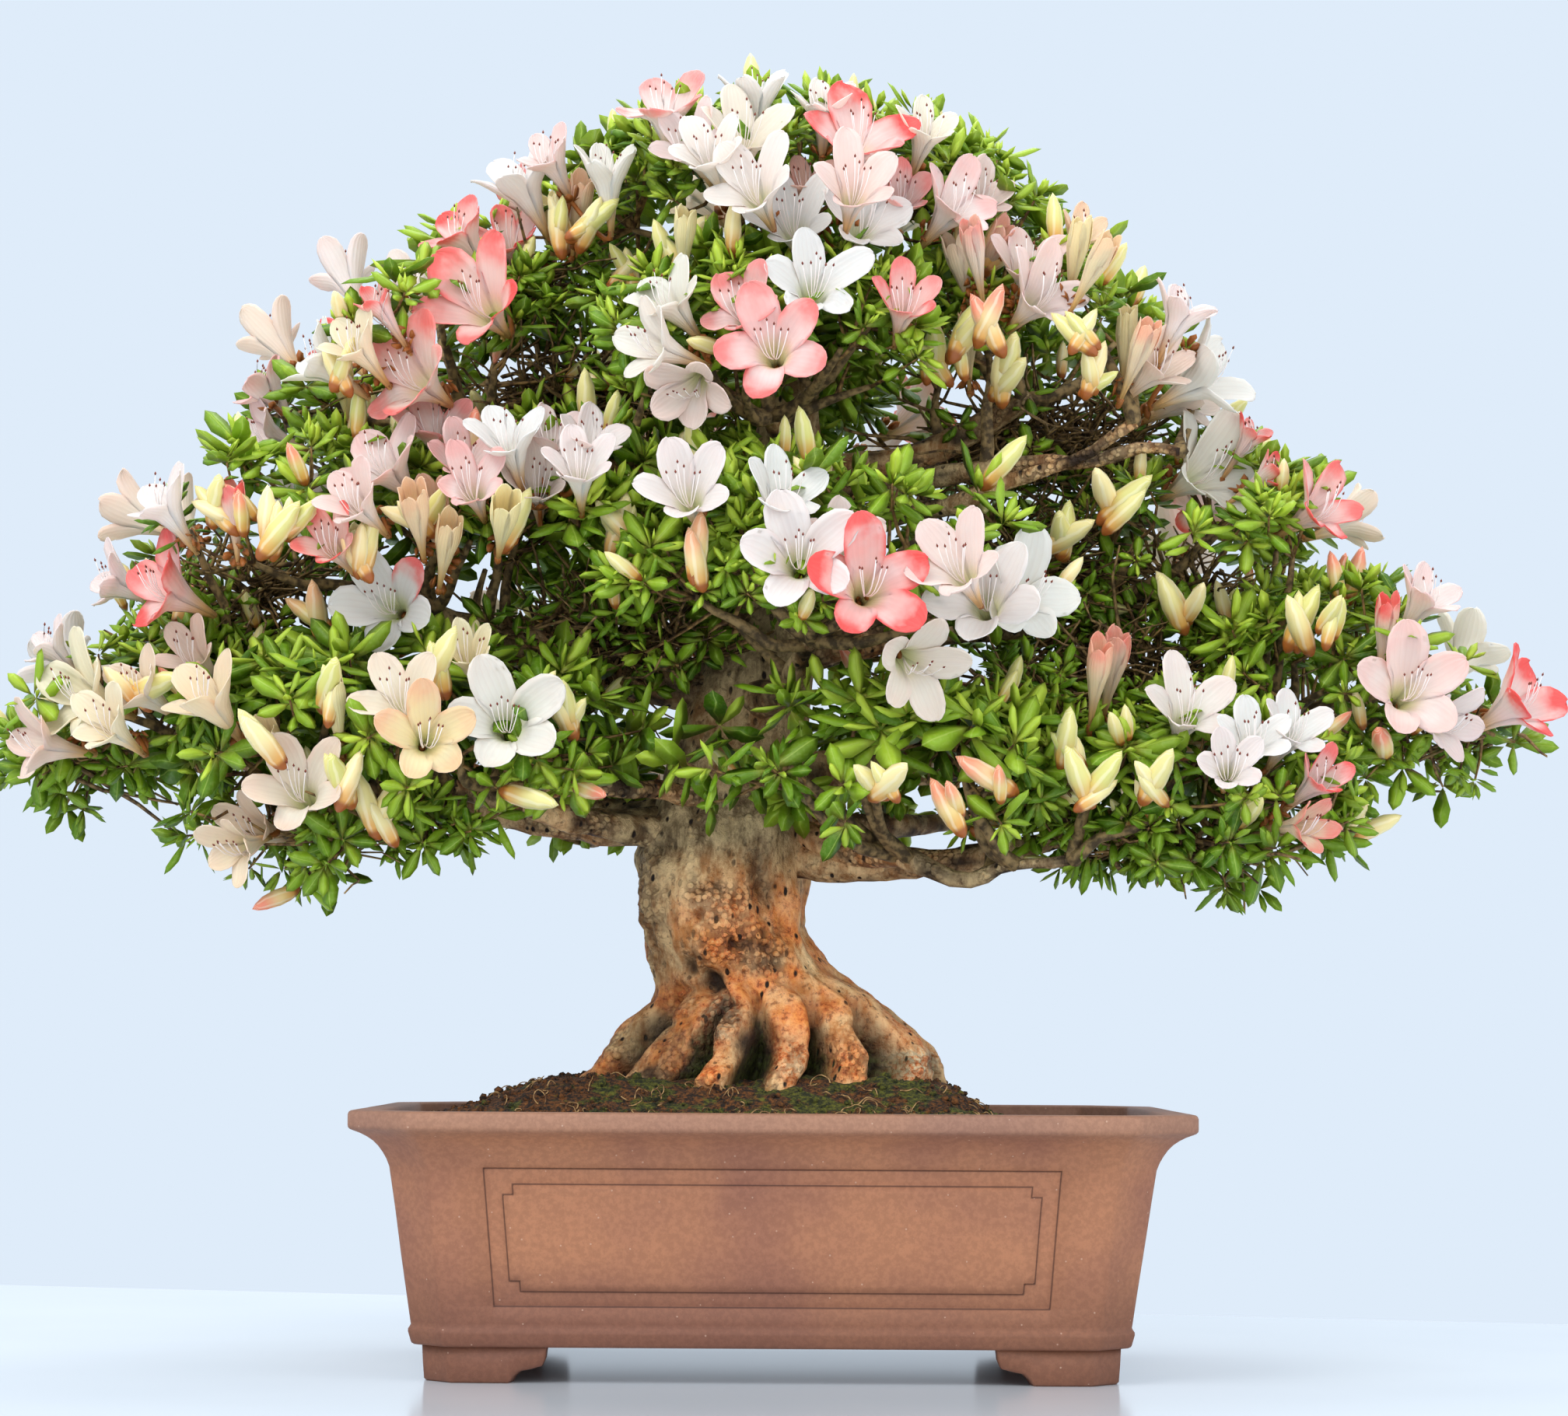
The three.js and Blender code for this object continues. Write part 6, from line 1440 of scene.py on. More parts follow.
@lru_cache(maxsize=None)
def all_shoots(spacing):
    """The leafy shoots of every pad and thicket, as arrays: foot, direction and lump, where a thicket counts
    on from the lumps. Spots spread over a lump by the golden angle and thin out towards its underside. A spot
    inside another lump, in a bloom's room, in front of a bloom or bud or outside the outline is left out."""
    rng = np.random.default_rng(51)
    feet, ways, lumps = [], [], []
    for k, (mid, (half_x, half_y, up, down)) in enumerate(zip(LUMP_MID, LUMP_HALF)):
        area = math.pi * ((half_x + half_y) * (up + down * 0.6) * 0.85 + half_x * half_y * 0.6)
        count = int(area / (spacing * LEAF_SCALE[k] ** 0.8) ** 2)
        i = np.arange(count)
        rise = LOWEST_SHOOT + (1 - LOWEST_SHOOT) * ((i + 0.5) / count) ** 0.85
        bearing = GOLDEN * i + rng.uniform(-0.25, 0.25, count)
        scale = rng.uniform(0.8, 1.04, (count, 1)) * np.where(rng.random((count, 1)) < 0.2, 0.8, 1)
        skin = lump_point(k, bearing, np.arcsin(rise) * 0.97)
        out = unit((skin - mid) / [half_x ** 2, half_y ** 2, np.mean([up, down]) ** 2])
        lean = rng.normal(size=(count, 3)) * 0.3
        own = rng.random(count) < 0.08 + 0.92 * smooth(rise, LEAF_EDGE[k] - 0.22, LEAF_EDGE[k] + 0.2)
        feet.append((mid + (skin - mid) * scale)[own])
        ways.append(unit(out * 0.8 + [0, 0, 0.5 + min(LEAF_EDGE[k], 0)] + lean)[own])
        lumps.append(np.full(own.sum(), k))
    for k, (middle, half, count, _) in enumerate(THICKETS):
        spot = unit(rng.normal(size=(count, 3))) * rng.uniform(0.2, 1, (count, 1)) ** 0.5
        feet.append(middle + spot * half)
        ways.append(unit(spot + [0, -0.3, 0.5] + rng.normal(size=(count, 3)) * 0.4))
        lumps.append(np.full(count, len(LUMPS) + k))
    feet, ways, lumps = (np.concatenate(parts) for parts in (feet, ways, lumps))
    keep = np.ones(len(feet), bool)
    for k, (mid, half) in enumerate(zip(LUMP_MID, LUMP_HALF)):
        rise = np.where(feet[:, 2] > mid[2], half[2], half[3])
        off = (feet - mid) / stacked(half[0], half[1], rise)
        keep &= (np.linalg.norm(off, axis=1) > 0.7) | (lumps == k)
    tips = feet + ways * 16
    for one in (one for bunch in all_bunches() for one in bunch["blooms"]):
        off = tips - one["mouth"]
        along = off @ one["axis"]
        radial = np.linalg.norm(off - along[:, None] * one["axis"], axis=1)
        room = one["reach"] * (0.45 + 0.55 * one["open"])
        keep &= ~((along > -4) & (along < 45) & (radial < room))
        keep &= ~((along <= -4) & (along > -24) & (radial < 15 + 0.4 * along))
        keep &= ~in_front(tips, one["mouth"] + one["axis"] * 8, room + 3)
    for x, y, *_ in BUDS:
        keep &= ~in_front(tips, seen_point(x, y), 12)
    seen, chance = pixels(tips), rng.random(len(tips))
    for x, y, half_x, half_y, share in SPARSE:
        inside = ((seen[:, 0] - x) / half_x) ** 4 + ((seen[:, 1] - y) / half_y) ** 4 < 1
        keep &= ~inside | (chance < share) | (feet[:, 1] > 70)
    probe = np.where(lumps < len(LUMPS), 35, 22)[:, None]
    keep &= inside_outline(pixels(feet + ways * probe))
    return feet[keep], ways[keep], lumps[keep]


def inside_outline(at):
    """Which pixels lie inside the canopy's outline: those with an odd number of its edges to their right."""
    start, end = OUTLINE, np.roll(OUTLINE, -1, axis=0)
    x, y = at[:, :1], at[:, 1:]
    spans = (start[:, 1] > y) != (end[:, 1] > y)
    height = np.where(end[:, 1] == start[:, 1], 1, end[:, 1] - start[:, 1])
    cross = start[:, 0] + (y - start[:, 1]) * (end[:, 0] - start[:, 0]) / height
    return (spans & (x < cross)).sum(axis=1) % 2 == 1


def in_front(points, target, radius):
    """Which points stand within a radius of the line of sight to a target, on its near side."""
    line = unit(target - VIEW_AT)
    off = points - target
    far = off @ line
    beside = np.linalg.norm(off - far[:, None] * line, axis=1)
    return (far < 4) & (far > -70) & (beside < radius)


@lru_cache(maxsize=None)
def seen_point(x, y):
    """Where the line of sight through a pixel first meets a pad, or comes nearest to one."""
    way = sight(x, y)
    met = first_met(VIEW_AT, way)
    return met["at"] if met else VIEW_AT + way * nearest_to_line(VIEW_AT, way)["far"]


def shoot_leaves(feet, ways, sizes, settings, rng):
    """The leaves of shoots: rings of them up each shoot by the table for its kind. Each is a copy of a leaf
    shape on axes of its own, turned, lifted, sized and coloured a little at random."""
    count = len(feet)
    frames = upright_frames(ways)
    twist = rng.uniform(0, 2 * math.pi, count)
    shade = rng.random(count)
    kind = "deep" if sizes.mean() < 0.6 else "low" if sizes.mean() > 0.88 else "high"
    full = sizes * rng.uniform(0.75, 1.12, count)
    blocks = []
    for n, height, lift, length, width, youth, rows in LEAF_KINDS[kind]:
        turn = twist[:, None] + np.arange(n) * 2 * math.pi / n + rng.normal(size=(count, n)) * 0.36
        rise = np.radians(lift + rng.normal(size=(count, n)) * 20)
        local = stacked(np.cos(turn) * np.cos(rise), np.sin(turn) * np.cos(rise), np.sin(rise))
        over = stacked(-np.cos(turn) * np.sin(rise), -np.sin(turn) * np.sin(rise), np.cos(rise))
        direction, normal = (np.einsum("cij,cnj->cni", frames, axis).reshape(-1, 3) for axis in (local, over))
        normal = unit(normal + rng.normal(size=normal.shape) * 0.3)
        origin = np.repeat(feet + ways * height, n, axis=0) + direction
        origin = origin + np.repeat(ways, n, axis=0) * rng.normal(size=(count * n, 1)) * 1.6
        long = settings.leaf_length / MM * np.repeat(full, n) * length
        long = long * rng.uniform(0.72, 1.18, count * n)
        broad = long * width * rng.uniform(0.85, 1.12, count * n)
        shape, faces, along, across = leaf_shape(rows, 0.14 if lift < 45 else 0.04, 0.12)
        size = stacked(broad, long, long * 0.9)
        points, faces = copies(shape, faces, origin, leaf_axes(direction, normal), size)
        own = np.clip(np.repeat(shade, n) * 0.6 + rng.random(count * n) * 0.4, 0, 1)
        young = np.clip(youth + 0.35 * (np.repeat(shade, n) - 0.5) + rng.normal(size=count * n) * 0.14, 0, 1)
        blocks.append((points, [faces], stacked(along, across, own[:, None], young[:, None]).reshape(-1, 4)))
    return joined(blocks)


def nearest_of(points, choices):
    """For each point the number of the nearest choice."""
    return np.array([((choices - p) ** 2).sum(axis=1).argmin() for p in points])


def limbs_in_pads(rng):
    """Secondary limbs: from the nearest main branch to spots inside each pad, rising in a curve."""
    heights = np.linspace(430, 625, 24)
    stem = stacked(*ring_at(heights).T[:2], heights)
    sources = [main_branches()[0][:, 12:].reshape(-1, 3), bare_limbs()[0][:, 6:].reshape(-1, 3), stem]
    sources = np.concatenate(sources)
    targets = []
    for k, mid in enumerate(LUMP_MID):
        spot = lump_point(k, GOLDEN * np.arange(9) + k, np.arcsin(np.linspace(-0.25, 0.75, 9)))
        targets.append(mid + (spot - mid) * rng.uniform(0.5, 0.78, (9, 1)))
    targets = np.concatenate(targets)
    starts = sources[nearest_of(targets - [0, 0, 22], sources)]
    t = np.linspace(0, 1, 9)[None, :, None]
    bend = starts + (targets - starts) * 0.5 - [0, 0, 9] + rng.normal(size=starts.shape) * 9
    paths = bow(starts[:, None], bend[:, None], targets[:, None], t)
    paths = paths + shake(paths, 22, 241) * 4 * np.sin(math.pi * t)
    return paths, np.broadcast_to(np.linspace(4.6, 1.7, 9), paths.shape[:2])


def twigs_to(feet, ways, limbs):
    """Twigs: from the nearest limb to each shoot's tip, ending along the shoot."""
    sources = limbs[:, 2:].reshape(-1, 3)
    starts = sources[nearest_of(feet - ways * 14, sources)]
    t = np.linspace(0, 1, 4)[None, :, None]
    paths = bow(starts[:, None], (feet - ways * 8)[:, None], (feet + ways * 16)[:, None], t)
    return paths, np.broadcast_to(np.linspace(1.5, 0.7, 4), paths.shape[:2])


def bare_twigs(rng):
    """Bare twigs that fill the spaces between the pads: each from a random spot, outwards and a little up,
    shaken by noise."""
    paths = []
    for middle, half, _, count in THICKETS:
        start = middle + unit(rng.normal(size=(count, 3))) * rng.uniform(0, 0.8, (count, 1)) * half
        way = unit(rng.normal(size=(count, 3)) * [1, 1, 0.45] + [0, -0.2, 0.15])
        end = start + way * rng.uniform(26, 74, (count, 1))
        path = start[:, None] + (end - start)[:, None] * np.linspace(0, 1, 5)[None, :, None]
        paths.append(path + shake(path, 15, 251) * 6)
    paths = np.concatenate(paths)
    paths = paths[inside_outline(pixels(paths[:, -1]))]
    return paths, rng.uniform(0.7, 1.5, (len(paths), 1)) * np.linspace(1.25, 0.55, 5)


# Buds

# Seen flower buds: pixel x and y of the middle, lean to the right and up in degrees, coral
BUDS = [
    (433, 484, -20, 70, 0), (413, 796, -30, 60, 0.5), (464, 716, -10, 80, 0), (544, 670, -25, 50, 0),
    (655, 680, 10, 70, 0), (796, 696, 5, 70, 0), (892, 726, -15, 70, 0.6), (872, 862, 0, 75, 0),
    (766, 444, -20, 70, 0), (862, 328, 10, 75, 0), (711, 292, -20, 70, 0), (751, 292, 15, 70, 0),
    (801, 353, 0, 80, 0), (282, 665, -35, 60, 0), (307, 655, -10, 70, 0.9), (343, 685, 5, 75, 0),
    (378, 675, 20, 65, 0), (1210, 464, -10, 75, 0), (1240, 438, 10, 70, 0), (1265, 423, 25, 65, 0.9),
    (1295, 494, 20, 60, 0), (1396, 433, 0, 70, 0), (1401, 484, 20, 60, 0), (1376, 302, -10, 75, 0),
    (1411, 302, 20, 70, 0), (1250, 323, -10, 75, 0), (1275, 328, 15, 75, 0), (1411, 625, 10, 60, 0),
    (1341, 655, -15, 60, 0), (1426, 655, 25, 60, 0), (1366, 700, 0, 60, 0), (1532, 786, 10, 70, 0),
    (1663, 816, 0, 70, 0), (1714, 806, 10, 75, 0), (1784, 796, 20, 60, 0.9), (1406, 872, 0, 75, 0),
    (1421, 857, 20, 70, 0.9), (1477, 1008, 10, 55, 0), (1285, 1008, -10, 60, 0.8), (1225, 1038, -20, 60, 0.8),
    (1134, 1013, 5, 70, 0), (1376, 973, 0, 70, 0), (1406, 1023, 15, 60, 0), (428, 902, -10, 70, 0),
    (348, 963, -20, 60, 0), (444, 1018, 10, 65, 0), (484, 1058, 0, 60, 0), (564, 877, -10, 75, 0),
    (171, 887, -30, 60, 0), (373, 837, 0, 70, 0), (736, 922, 10, 70, 0),
]


def bud_shape():
    """A closed flower bud along +Z, one unit long: a spindle fullest near its middle, whose seven sides turn
    as they rise. Returns points, triangles, the way along and the way round."""
    along = np.array([0.0, 0.08, 0.24, 0.48, 0.72, 0.9])[:, None]
    radius = np.array([0.0535, 0.107, 0.14445, 0.1605, 0.13375, 0.06955])[:, None]
    angle = np.arange(7) * 2 * math.pi / 7
    turn = angle + along * 0.9
    rings = stacked(radius * np.cos(turn), radius * np.sin(turn), along)
    points, (quads, *caps) = closed_rings(rings, [(0, 0, -0.03), (0, 0, 1)])
    around = np.concatenate([np.tile(angle / (2 * math.pi), len(along)), [0, 0]])
    return points, np.concatenate([quads[:, :3], quads[:, [0, 2, 3]]] + caps), points[:, 2].clip(0), around


def bud_places(rng):
    """Where the seen flower buds stand: two or three round each line of sight, in front of the pad that it
    meets."""
    feet, ways, coral = [], [], []
    for x, y, lean, tilt, red in BUDS:
        direction = sight(x, y)
        met = first_met(VIEW_AT, direction)
        if met is None:
            continue
        way = unit(facing(lean, tilt) + [math.sin(math.radians(lean)) * 0.3, -0.1, 0])
        for k in range(3 if red < 0.5 else 2):
            turned = unit(way + rng.normal(size=3) * [0.4, 0.3, 0.2] + [0.45 * (k - 1), 0, 0])
            feet.append(met["at"] - direction * 20 - turned * 12 + rng.normal(size=3) * 2.5)
            ways.append(turned)
            coral.append(red)
    return np.array(feet), np.array(ways), np.array(coral)


# Operators

def colour_setting(name, description, hex_colour):
    """A colour setting with its default from an sRGB hex value."""
    return bpy.props.FloatVectorProperty(name=name, description=description, size=4, min=0, max=1,
                                         subtype="COLOR", default=linear(hex_colour))


def length_setting(name, description, default, low, high):
    """A length setting in metres."""
    return bpy.props.FloatProperty(name=name, description=description, default=default, min=low, max=high,
                                   unit="LENGTH", subtype="DISTANCE")


class BonsaiColours(bpy.types.PropertyGroup):
    """Colours of the pot, the leaves and the petals."""
    clay: colour_setting("Clay", "Body of the unglazed pot", "#98644E")
    clay_warm: colour_setting("Warm clay", "Where the kiln's flame reached the pot", "#B27856")
    clay_lip: colour_setting("Lip clay", "The greyer lip and foot", "#9C7864")
    leaf_dark: colour_setting("Old leaf", "Darkest of last year's leaves", "#3E6606")
    leaf_mid: colour_setting("Leaf", "Lightest of last year's leaves", "#86AC1A")
    leaf_young: colour_setting("Young leaf", "This year's leaves", "#BAD040")
    petal_white: colour_setting("White petal", "Petals of the white flowers", "#E4DDD5")
    petal_cream: colour_setting("Cream petal", "Greenish cream of fresh flowers", "#EDD79C")
    petal_blush: colour_setting("Blush petal", "Pale pink wash of the petals", "#F4AAA2")
    petal_coral: colour_setting("Coral petal", "Coral that bleeds in from the edges", "#EE4E4C")
    petal_throat: colour_setting("Throat", "Yellow-green of the throat", "#D9DE9A")


class BonsaiSizes(bpy.types.PropertyGroup):
    """Sizes and counts of what grows and lies on the fixed frame."""
    sunk: length_setting("Frame depth", "How deep the frame of each face is sunk", 0.0015, 0, 0.004)
    leaf_length: length_setting("Leaf length", "Length of a full-grown leaf", 0.028, 0.01, 0.05)
    shoot_spacing: length_setting("Shoot spacing", "Mean distance between leafy shoots", 0.0192, 0.01, 0.05)
    bud_length: length_setting("Bud length", "Length of a flower bud about to open", 0.037, 0.01, 0.05)
    crumbs: bpy.props.IntProperty(name="Soil crumbs", description="How many loose crumbs lie on the soil",
                                  default=1700, min=0, max=6000)
    rootlets: bpy.props.IntProperty(name="Rootlets", description="How many fine dry rootlets lie on the soil",
                                    default=150, min=0, max=400)


class BONSAI_OT_pot(bpy.types.Operator):
    """Make the clay pot with its four bracket feet"""
    bl_idname = "bonsai.pot"
    bl_label = "Pot"

    def execute(self, context):
        parts = [pot_shell(context.scene.bonsai_sizes.sunk / MM)]
        foot = pot_foot()
        for sx, sy in ((1, 1), (-1, 1), (1, -1), (-1, -1)):
            points, faces = mirrored(*foot, sx, sy)
            parts.append((points, faces, np.zeros((len(points), 4))))
        clay = fired_clay(context.scene.bonsai_colours)
        add_piece("clay_pot", joined(parts), clay, ["pot"], ["groove_shade"])
        return {"FINISHED"}


class BONSAI_OT_soil(bpy.types.Operator):
    """Make the soil bed with its crumbs and rootlets"""
    bl_idname = "bonsai.soil"
    bl_label = "Soil"

    def execute(self, context):
        sizes = context.scene.bonsai_sizes
        earth = potting_soil()
        add_piece("soil_bed", soil_bed(), earth, ["soil"])
        rng = np.random.default_rng(41)
        x, y = bed_spots(rng, sizes.crumbs)
        size = 0.9 + 2.2 * rng.random(len(x)) ** 2.2
        shape, triangles = ball_shape()
        axes = upright_frames(unit(rng.normal(size=(len(x), 3))))
        scales = size[:, None] * rng.uniform(0.65, 1.2, (len(x), 3))
        at = stacked(x, y, lumpy_bed(x, y) + size * 0.2)
        points, triangles = copies(shape, triangles, at, axes, scales)
        add_piece("soil_crumbs", (points, [triangles]), earth)
        # Rootlets curl over the front of the bed
        x, y = bed_spots(rng, sizes.rootlets, 27)
        y = -np.abs(y)
        t = np.linspace(0, 1, 11)[None]
        turn = rng.uniform(0, 2 * math.pi, (len(x), 1)) + rng.uniform(-5.5, 5.5, (len(x), 1)) * t
        step = rng.uniform(5, 17, (len(x), 1)) / 10
        path_x = np.clip(x[:, None] + np.cumsum(np.cos(turn) * step, axis=1), -RIM_X + 30, RIM_X - 30)
        path_y = np.clip(y[:, None] + np.cumsum(np.sin(turn) * step, axis=1), -RIM_Y + 24, RIM_Y - 24)
        lift = 0.6 + 3.2 * rng.random((len(x), 1)) * np.sin(math.pi * t)
        paths = stacked(path_x, path_y, lumpy_bed(path_x, path_y) + lift)
        thin = np.broadcast_to(np.linspace(0.42, 0.2, 11), paths.shape[:2])
        add_piece("rootlets", tubes(paths, thin, 4), dry_rootlets())
        return {"FINISHED"}


class BONSAI_OT_wood(bpy.types.Operator):
    """Make the trunk with its surface roots, the branches and the limbs inside the pads"""
    bl_idname = "bonsai.wood"
    bl_label = "Trunk and branches"

    def execute(self, context):
        bark = azalea_bark()
        add_piece("trunk", trunk_skin(), bark, ["wood"], ["bark", "pale_and_knob_shading"])
        parts = []
        for paths, radii in (main_branches(), bare_limbs()):
            points, faces = tubes(paths, radii, 14)
            scar = 1.2 * rough(points, 9, 3, 231)
            points = points + scar[:, None] * unit(points - points.mean(0))
            # Painted shade in the hollows of the scars
            crease_shade = np.clip(0.18 - scar * 0.9, 0, 0.9)
            grey = np.clip(0.7 + 0.5 * noise(points, 40, 233), 0, 1)
            rust = 0.25 * smooth(noise(points, 25, 235), 0.1, 0.6)
            knobbly = smooth(rough(points, 20, 2, 237), -0.2, 0.5)
            parts.append((points, faces, stacked(crease_shade, rust, 0, grey, 0, knobbly, 0, 0)))
        add_piece("branches", joined(parts), bark, ["wood"], ["bark", "pale_and_knob_shading"])
        rng = np.random.default_rng(61)
        limbs, limb_radii = limbs_in_pads(rng)
        feet, ways, _ = all_shoots(context.scene.bonsai_sizes.shoot_spacing / MM)
        # Every twig that doesn't stand upright, and every third of the others
        shown = (ways[:, 2] < 0.62) | (np.arange(len(feet)) % 3 == 0)
        groups = [((limbs, limb_radii), 6, 1), (twigs_to(feet[shown], ways[shown], limbs), 3, 0),
                  (bare_twigs(rng), 3, 0.6)]
        parts = []
        for (paths, radii), sides, age in groups:
            points, faces = tubes(paths, radii, sides)
            parts.append((points, faces, np.full((len(points), 4), age)))
        add_piece("twigs", joined(parts), twig_bark(), ["wood"], ["bark"])
        return {"FINISHED"}


class BONSAI_OT_leaves(bpy.types.Operator):
    """Make the leaves, one piece for each pad"""
    bl_idname = "bonsai.leaves"
    bl_label = "Leaves"

    def execute(self, context):
        sizes, green = context.scene.bonsai_sizes, azalea_leaf(context.scene.bonsai_colours)
        feet, ways, lumps = all_shoots(sizes.shoot_spacing / MM)
        for name in dict.fromkeys(lump[0] for lump in LUMPS):
            own = np.isin(lumps, [k for k, lump in enumerate(LUMPS) if lump[0] == name])
            rng = np.random.default_rng(sum(map(ord, name)))
            scale = np.array(LEAF_SCALE)[lumps[own]] * (0.72 + 0.33 * smooth(ways[own, 2], 0.1, 0.7))
            leaves = shoot_leaves(feet[own], ways[own], scale, sizes, rng)
            add_piece(name.replace("foliage", "leaves"), leaves, green, [name], ["leaf"])
        rng = np.random.default_rng(53)
        parts = []
        low = lumps >= len(LUMPS) + FIRST_LOW
        for own, scale in ((low, 0.74), ((lumps >= len(LUMPS)) & ~low, 0.58)):
            points, faces, marks = shoot_leaves(feet[own], ways[own], np.full(own.sum(), scale), sizes, rng)
            # Painted shade: the leaves between the pads are turned towards the darker old leaf colour
            parts.append((points, faces, marks * [1, 1, 1, 0.4]))
        add_piece("leaves_between", joined(parts), green, [], ["leaf"])
        return {"FINISHED"}


class BONSAI_OT_blooms(bpy.types.Operator):
    """Make the flowers, one piece for each bunch"""
    bl_idname = "bonsai.blooms"
    bl_label = "Flowers"

    def execute(self, context):
        petal = azalea_petal(context.scene.bonsai_colours)
        pieces = {}
        for i, bunch in enumerate(all_bunches()):
            rng = np.random.default_rng(700 + i)
            parts = pieces.setdefault(bunch["name"], [])
            parts.append(bud_scales(bunch, rng))
            for one in bunch["blooms"]:
                parts += [petals(one, rng), stalks(one, bunch["bud"])]
                parts += stamens(one, rng) if one["open"] > 0.3 else []
        for name, parts in pieces.items():
            points, faces, marks = joined(parts)
            # Held within the depth of the frame, in front and behind
            front, back = points[:, 1].min(), points[:, 1].max()
            points[:, 1] += max(0.0, FRONT_MOST - front) - max(0.0, back + FRONT_MOST)
            replaced = [name] if name.startswith("bloom") else []
            piece = name.replace("bloom", "flowers") if replaced else "flowers_" + name
            add_piece(piece, (points, faces, marks), petal, replaced, ["petal", "tint"])
        return {"FINISHED"}


class BONSAI_OT_buds(bpy.types.Operator):
    """Make the flower buds that haven't opened"""
    bl_idname = "bonsai.buds"
    bl_label = "Flower buds"

    def execute(self, context):
        sizes = context.scene.bonsai_sizes
        rng = np.random.default_rng(81)
        feet, ways, coral = bud_places(rng)
        # More of them at the tips of other shoots
        shoots, shoot_ways, _ = all_shoots(sizes.shoot_spacing / MM)
        some = rng.permutation(len(shoots))[: len(shoots) // 9]
        lean = rng.normal(size=(len(some), 3)) * 0.2
        feet = np.concatenate([feet, shoots[some] + shoot_ways[some] * 19])
        ways = np.concatenate([ways, unit(shoot_ways[some] + [0, 0, 0.4] + lean)])
        coral = np.concatenate([coral, np.where(rng.random(len(some)) < 0.22, 0.9, 0.0)])
        size = sizes.bud_length / MM * rng.uniform(0.7, 1.15, len(feet))
        size[len(feet) - len(some):] *= rng.uniform(0.6, 1.0, len(some))
        shape, faces, along, around = bud_shape()
        points, faces = copies(shape, faces, feet, upright_frames(ways), size[:, None])
        marks = stacked(along, around, coral[:, None], rng.random(len(feet))[:, None]).reshape(-1, 4)
        add_piece("flower_buds", (points, [faces], marks), bud_skin(), (), ["bud"])
        return {"FINISHED"}


class BONSAI_OT_stage(bpy.types.Operator):
    """Make the table top, the lights, the pale surroundings and the camera"""
    bl_idname = "bonsai.stage"
    bl_label = "Stage"

    def execute(self, context):
        scene = context.scene
        mesh = bpy.data.meshes.new("table_top")
        side, near, back, skew = 2.6, -2.6, 0.474, 0.7
        corners = [(-side, near), (side, near), (side, back - skew), (-side, back + skew)]
        mesh.from_pydata([(x, y, z) for z in (0.0, -0.04) for x, y in corners], [],
                         [(0, 1, 2, 3), (7, 6, 5, 4), (0, 4, 5, 1), (1, 5, 6, 2), (2, 6, 7, 3), (3, 7, 4, 0)])
        table = bpy.data.objects.new("table_top", mesh)
        scene.collection.objects.link(table)
        mesh.materials.append(table_paint())
        world = bpy.data.worlds.new("pale_room")
        world.use_nodes = True
        sky = world.node_tree.nodes["Background"]
        sky.inputs["Color"].default_value = linear("#DFECFA")
        sky.inputs["Strength"].default_value = 1.0
        scene.world = world
        for name, place, aim, size, power in LIGHTS:
            lamp = bpy.data.lights.new(name, "AREA")
            lamp.shape, lamp.size, lamp.energy = "DISK", size, power
            light = bpy.data.objects.new(name, lamp)
            axes = look_axes(np.array(place, float), np.array(aim, float))
            set_place(light, axes, place)
            scene.collection.objects.link(light)
        lens = bpy.data.cameras.new("camera")
        lens.sensor_width, lens.sensor_fit = 36.0, "HORIZONTAL"
        lens.lens = 36.0 * VIEW["focal"] / VIEW["width"]
        lens.clip_start, lens.clip_end = 0.05, 50
        camera = bpy.data.objects.new("camera", lens)
        right, up, forward = camera_axes()
        set_place(camera, np.stack([right, up, -forward], axis=1), to_frame(VIEW_AT))
        scene.collection.objects.link(camera)
        scene.camera = camera
        scene.view_settings.view_transform = "Standard"
        return {"FINISHED"}


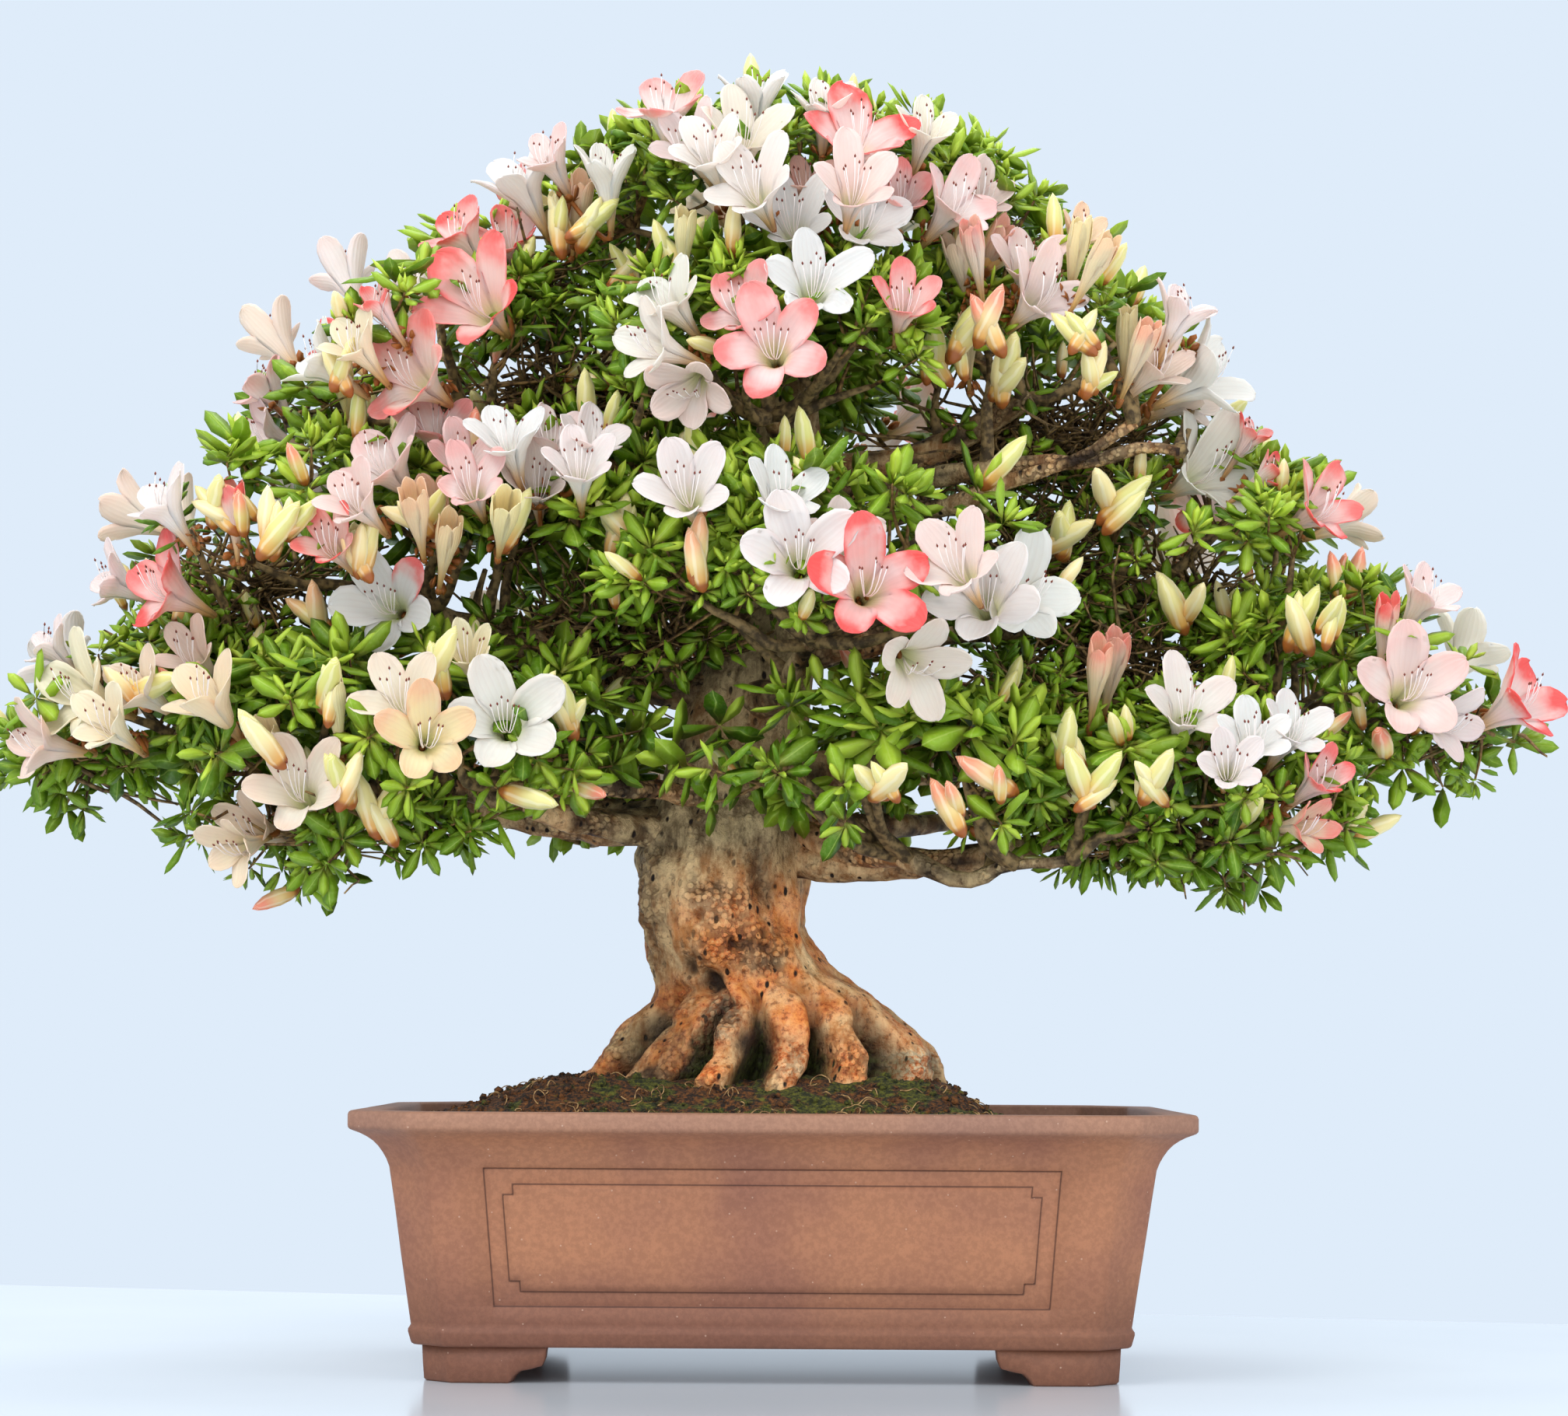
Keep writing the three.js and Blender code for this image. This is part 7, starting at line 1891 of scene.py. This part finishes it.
# Lights: name, place, what it is aimed at, size in metres, power in watts
LIGHTS = [
    ("soft_key", (-1.3, -1.6, 2.2), (0, 0, 0.4), 1.6, 42),
    ("soft_fill", (1.9, -1.5, 1.3), (0, 0, 0.35), 1.8, 20),
    ("soft_top", (0.1, 0.7, 2.4), (0, 0, 0.45), 1.6, 24),
    ("soft_front", (-0.3, -2.5, 0.45), (0, 0, 0.35), 1.4, 10),
]


def look_axes(place, aim):
    """Axes as columns for a lamp at a place aimed at a point: its -Z axis points there."""
    back = unit(place - aim)
    right = unit(np.cross([0, 0, 1.0], back))
    return np.stack([right, np.cross(back, right), back], axis=1)


def set_place(thing, axes, place):
    """Puts a lamp or the camera at a place with its axes."""
    thing.matrix_world = Matrix([list(axes[i]) + [place[i]] for i in range(3)] + [[0, 0, 0, 1]])


class BONSAI_PT_panel(bpy.types.Panel):
    """Lists the settings and the steps that build the bonsai"""
    bl_idname = "BONSAI_PT_panel"
    bl_label = "Bonsai"
    bl_space_type = "VIEW_3D"
    bl_region_type = "UI"
    bl_category = "Bonsai"

    def draw(self, context):
        for group in (context.scene.bonsai_sizes, context.scene.bonsai_colours):
            box = self.layout.box()
            for key in group.__annotations__:
                box.prop(group, key)
        for step in STEPS:
            self.layout.operator(step.bl_idname)


STEPS = (BONSAI_OT_stage, BONSAI_OT_pot, BONSAI_OT_soil, BONSAI_OT_wood, BONSAI_OT_leaves, BONSAI_OT_blooms,
         BONSAI_OT_buds)
CLASSES = (BonsaiColours, BonsaiSizes) + STEPS + (BONSAI_PT_panel,)


def register():
    """Adds the settings, the steps and the panel."""
    for one in CLASSES:
        bpy.utils.register_class(one)
    bpy.types.Scene.bonsai_colours = bpy.props.PointerProperty(type=BonsaiColours)
    bpy.types.Scene.bonsai_sizes = bpy.props.PointerProperty(type=BonsaiSizes)


def unregister():
    """Takes them away again."""
    del bpy.types.Scene.bonsai_sizes
    del bpy.types.Scene.bonsai_colours
    for one in reversed(CLASSES):
        bpy.utils.unregister_class(one)


def main():
    """Builds every piece in order."""
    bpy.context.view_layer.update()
    register()
    bpy.ops.bonsai.stage()
    bpy.ops.bonsai.pot()
    bpy.ops.bonsai.soil()
    bpy.ops.bonsai.wood()
    bpy.ops.bonsai.leaves()
    bpy.ops.bonsai.blooms()
    bpy.ops.bonsai.buds()


if __name__ == "__main__":
    main()
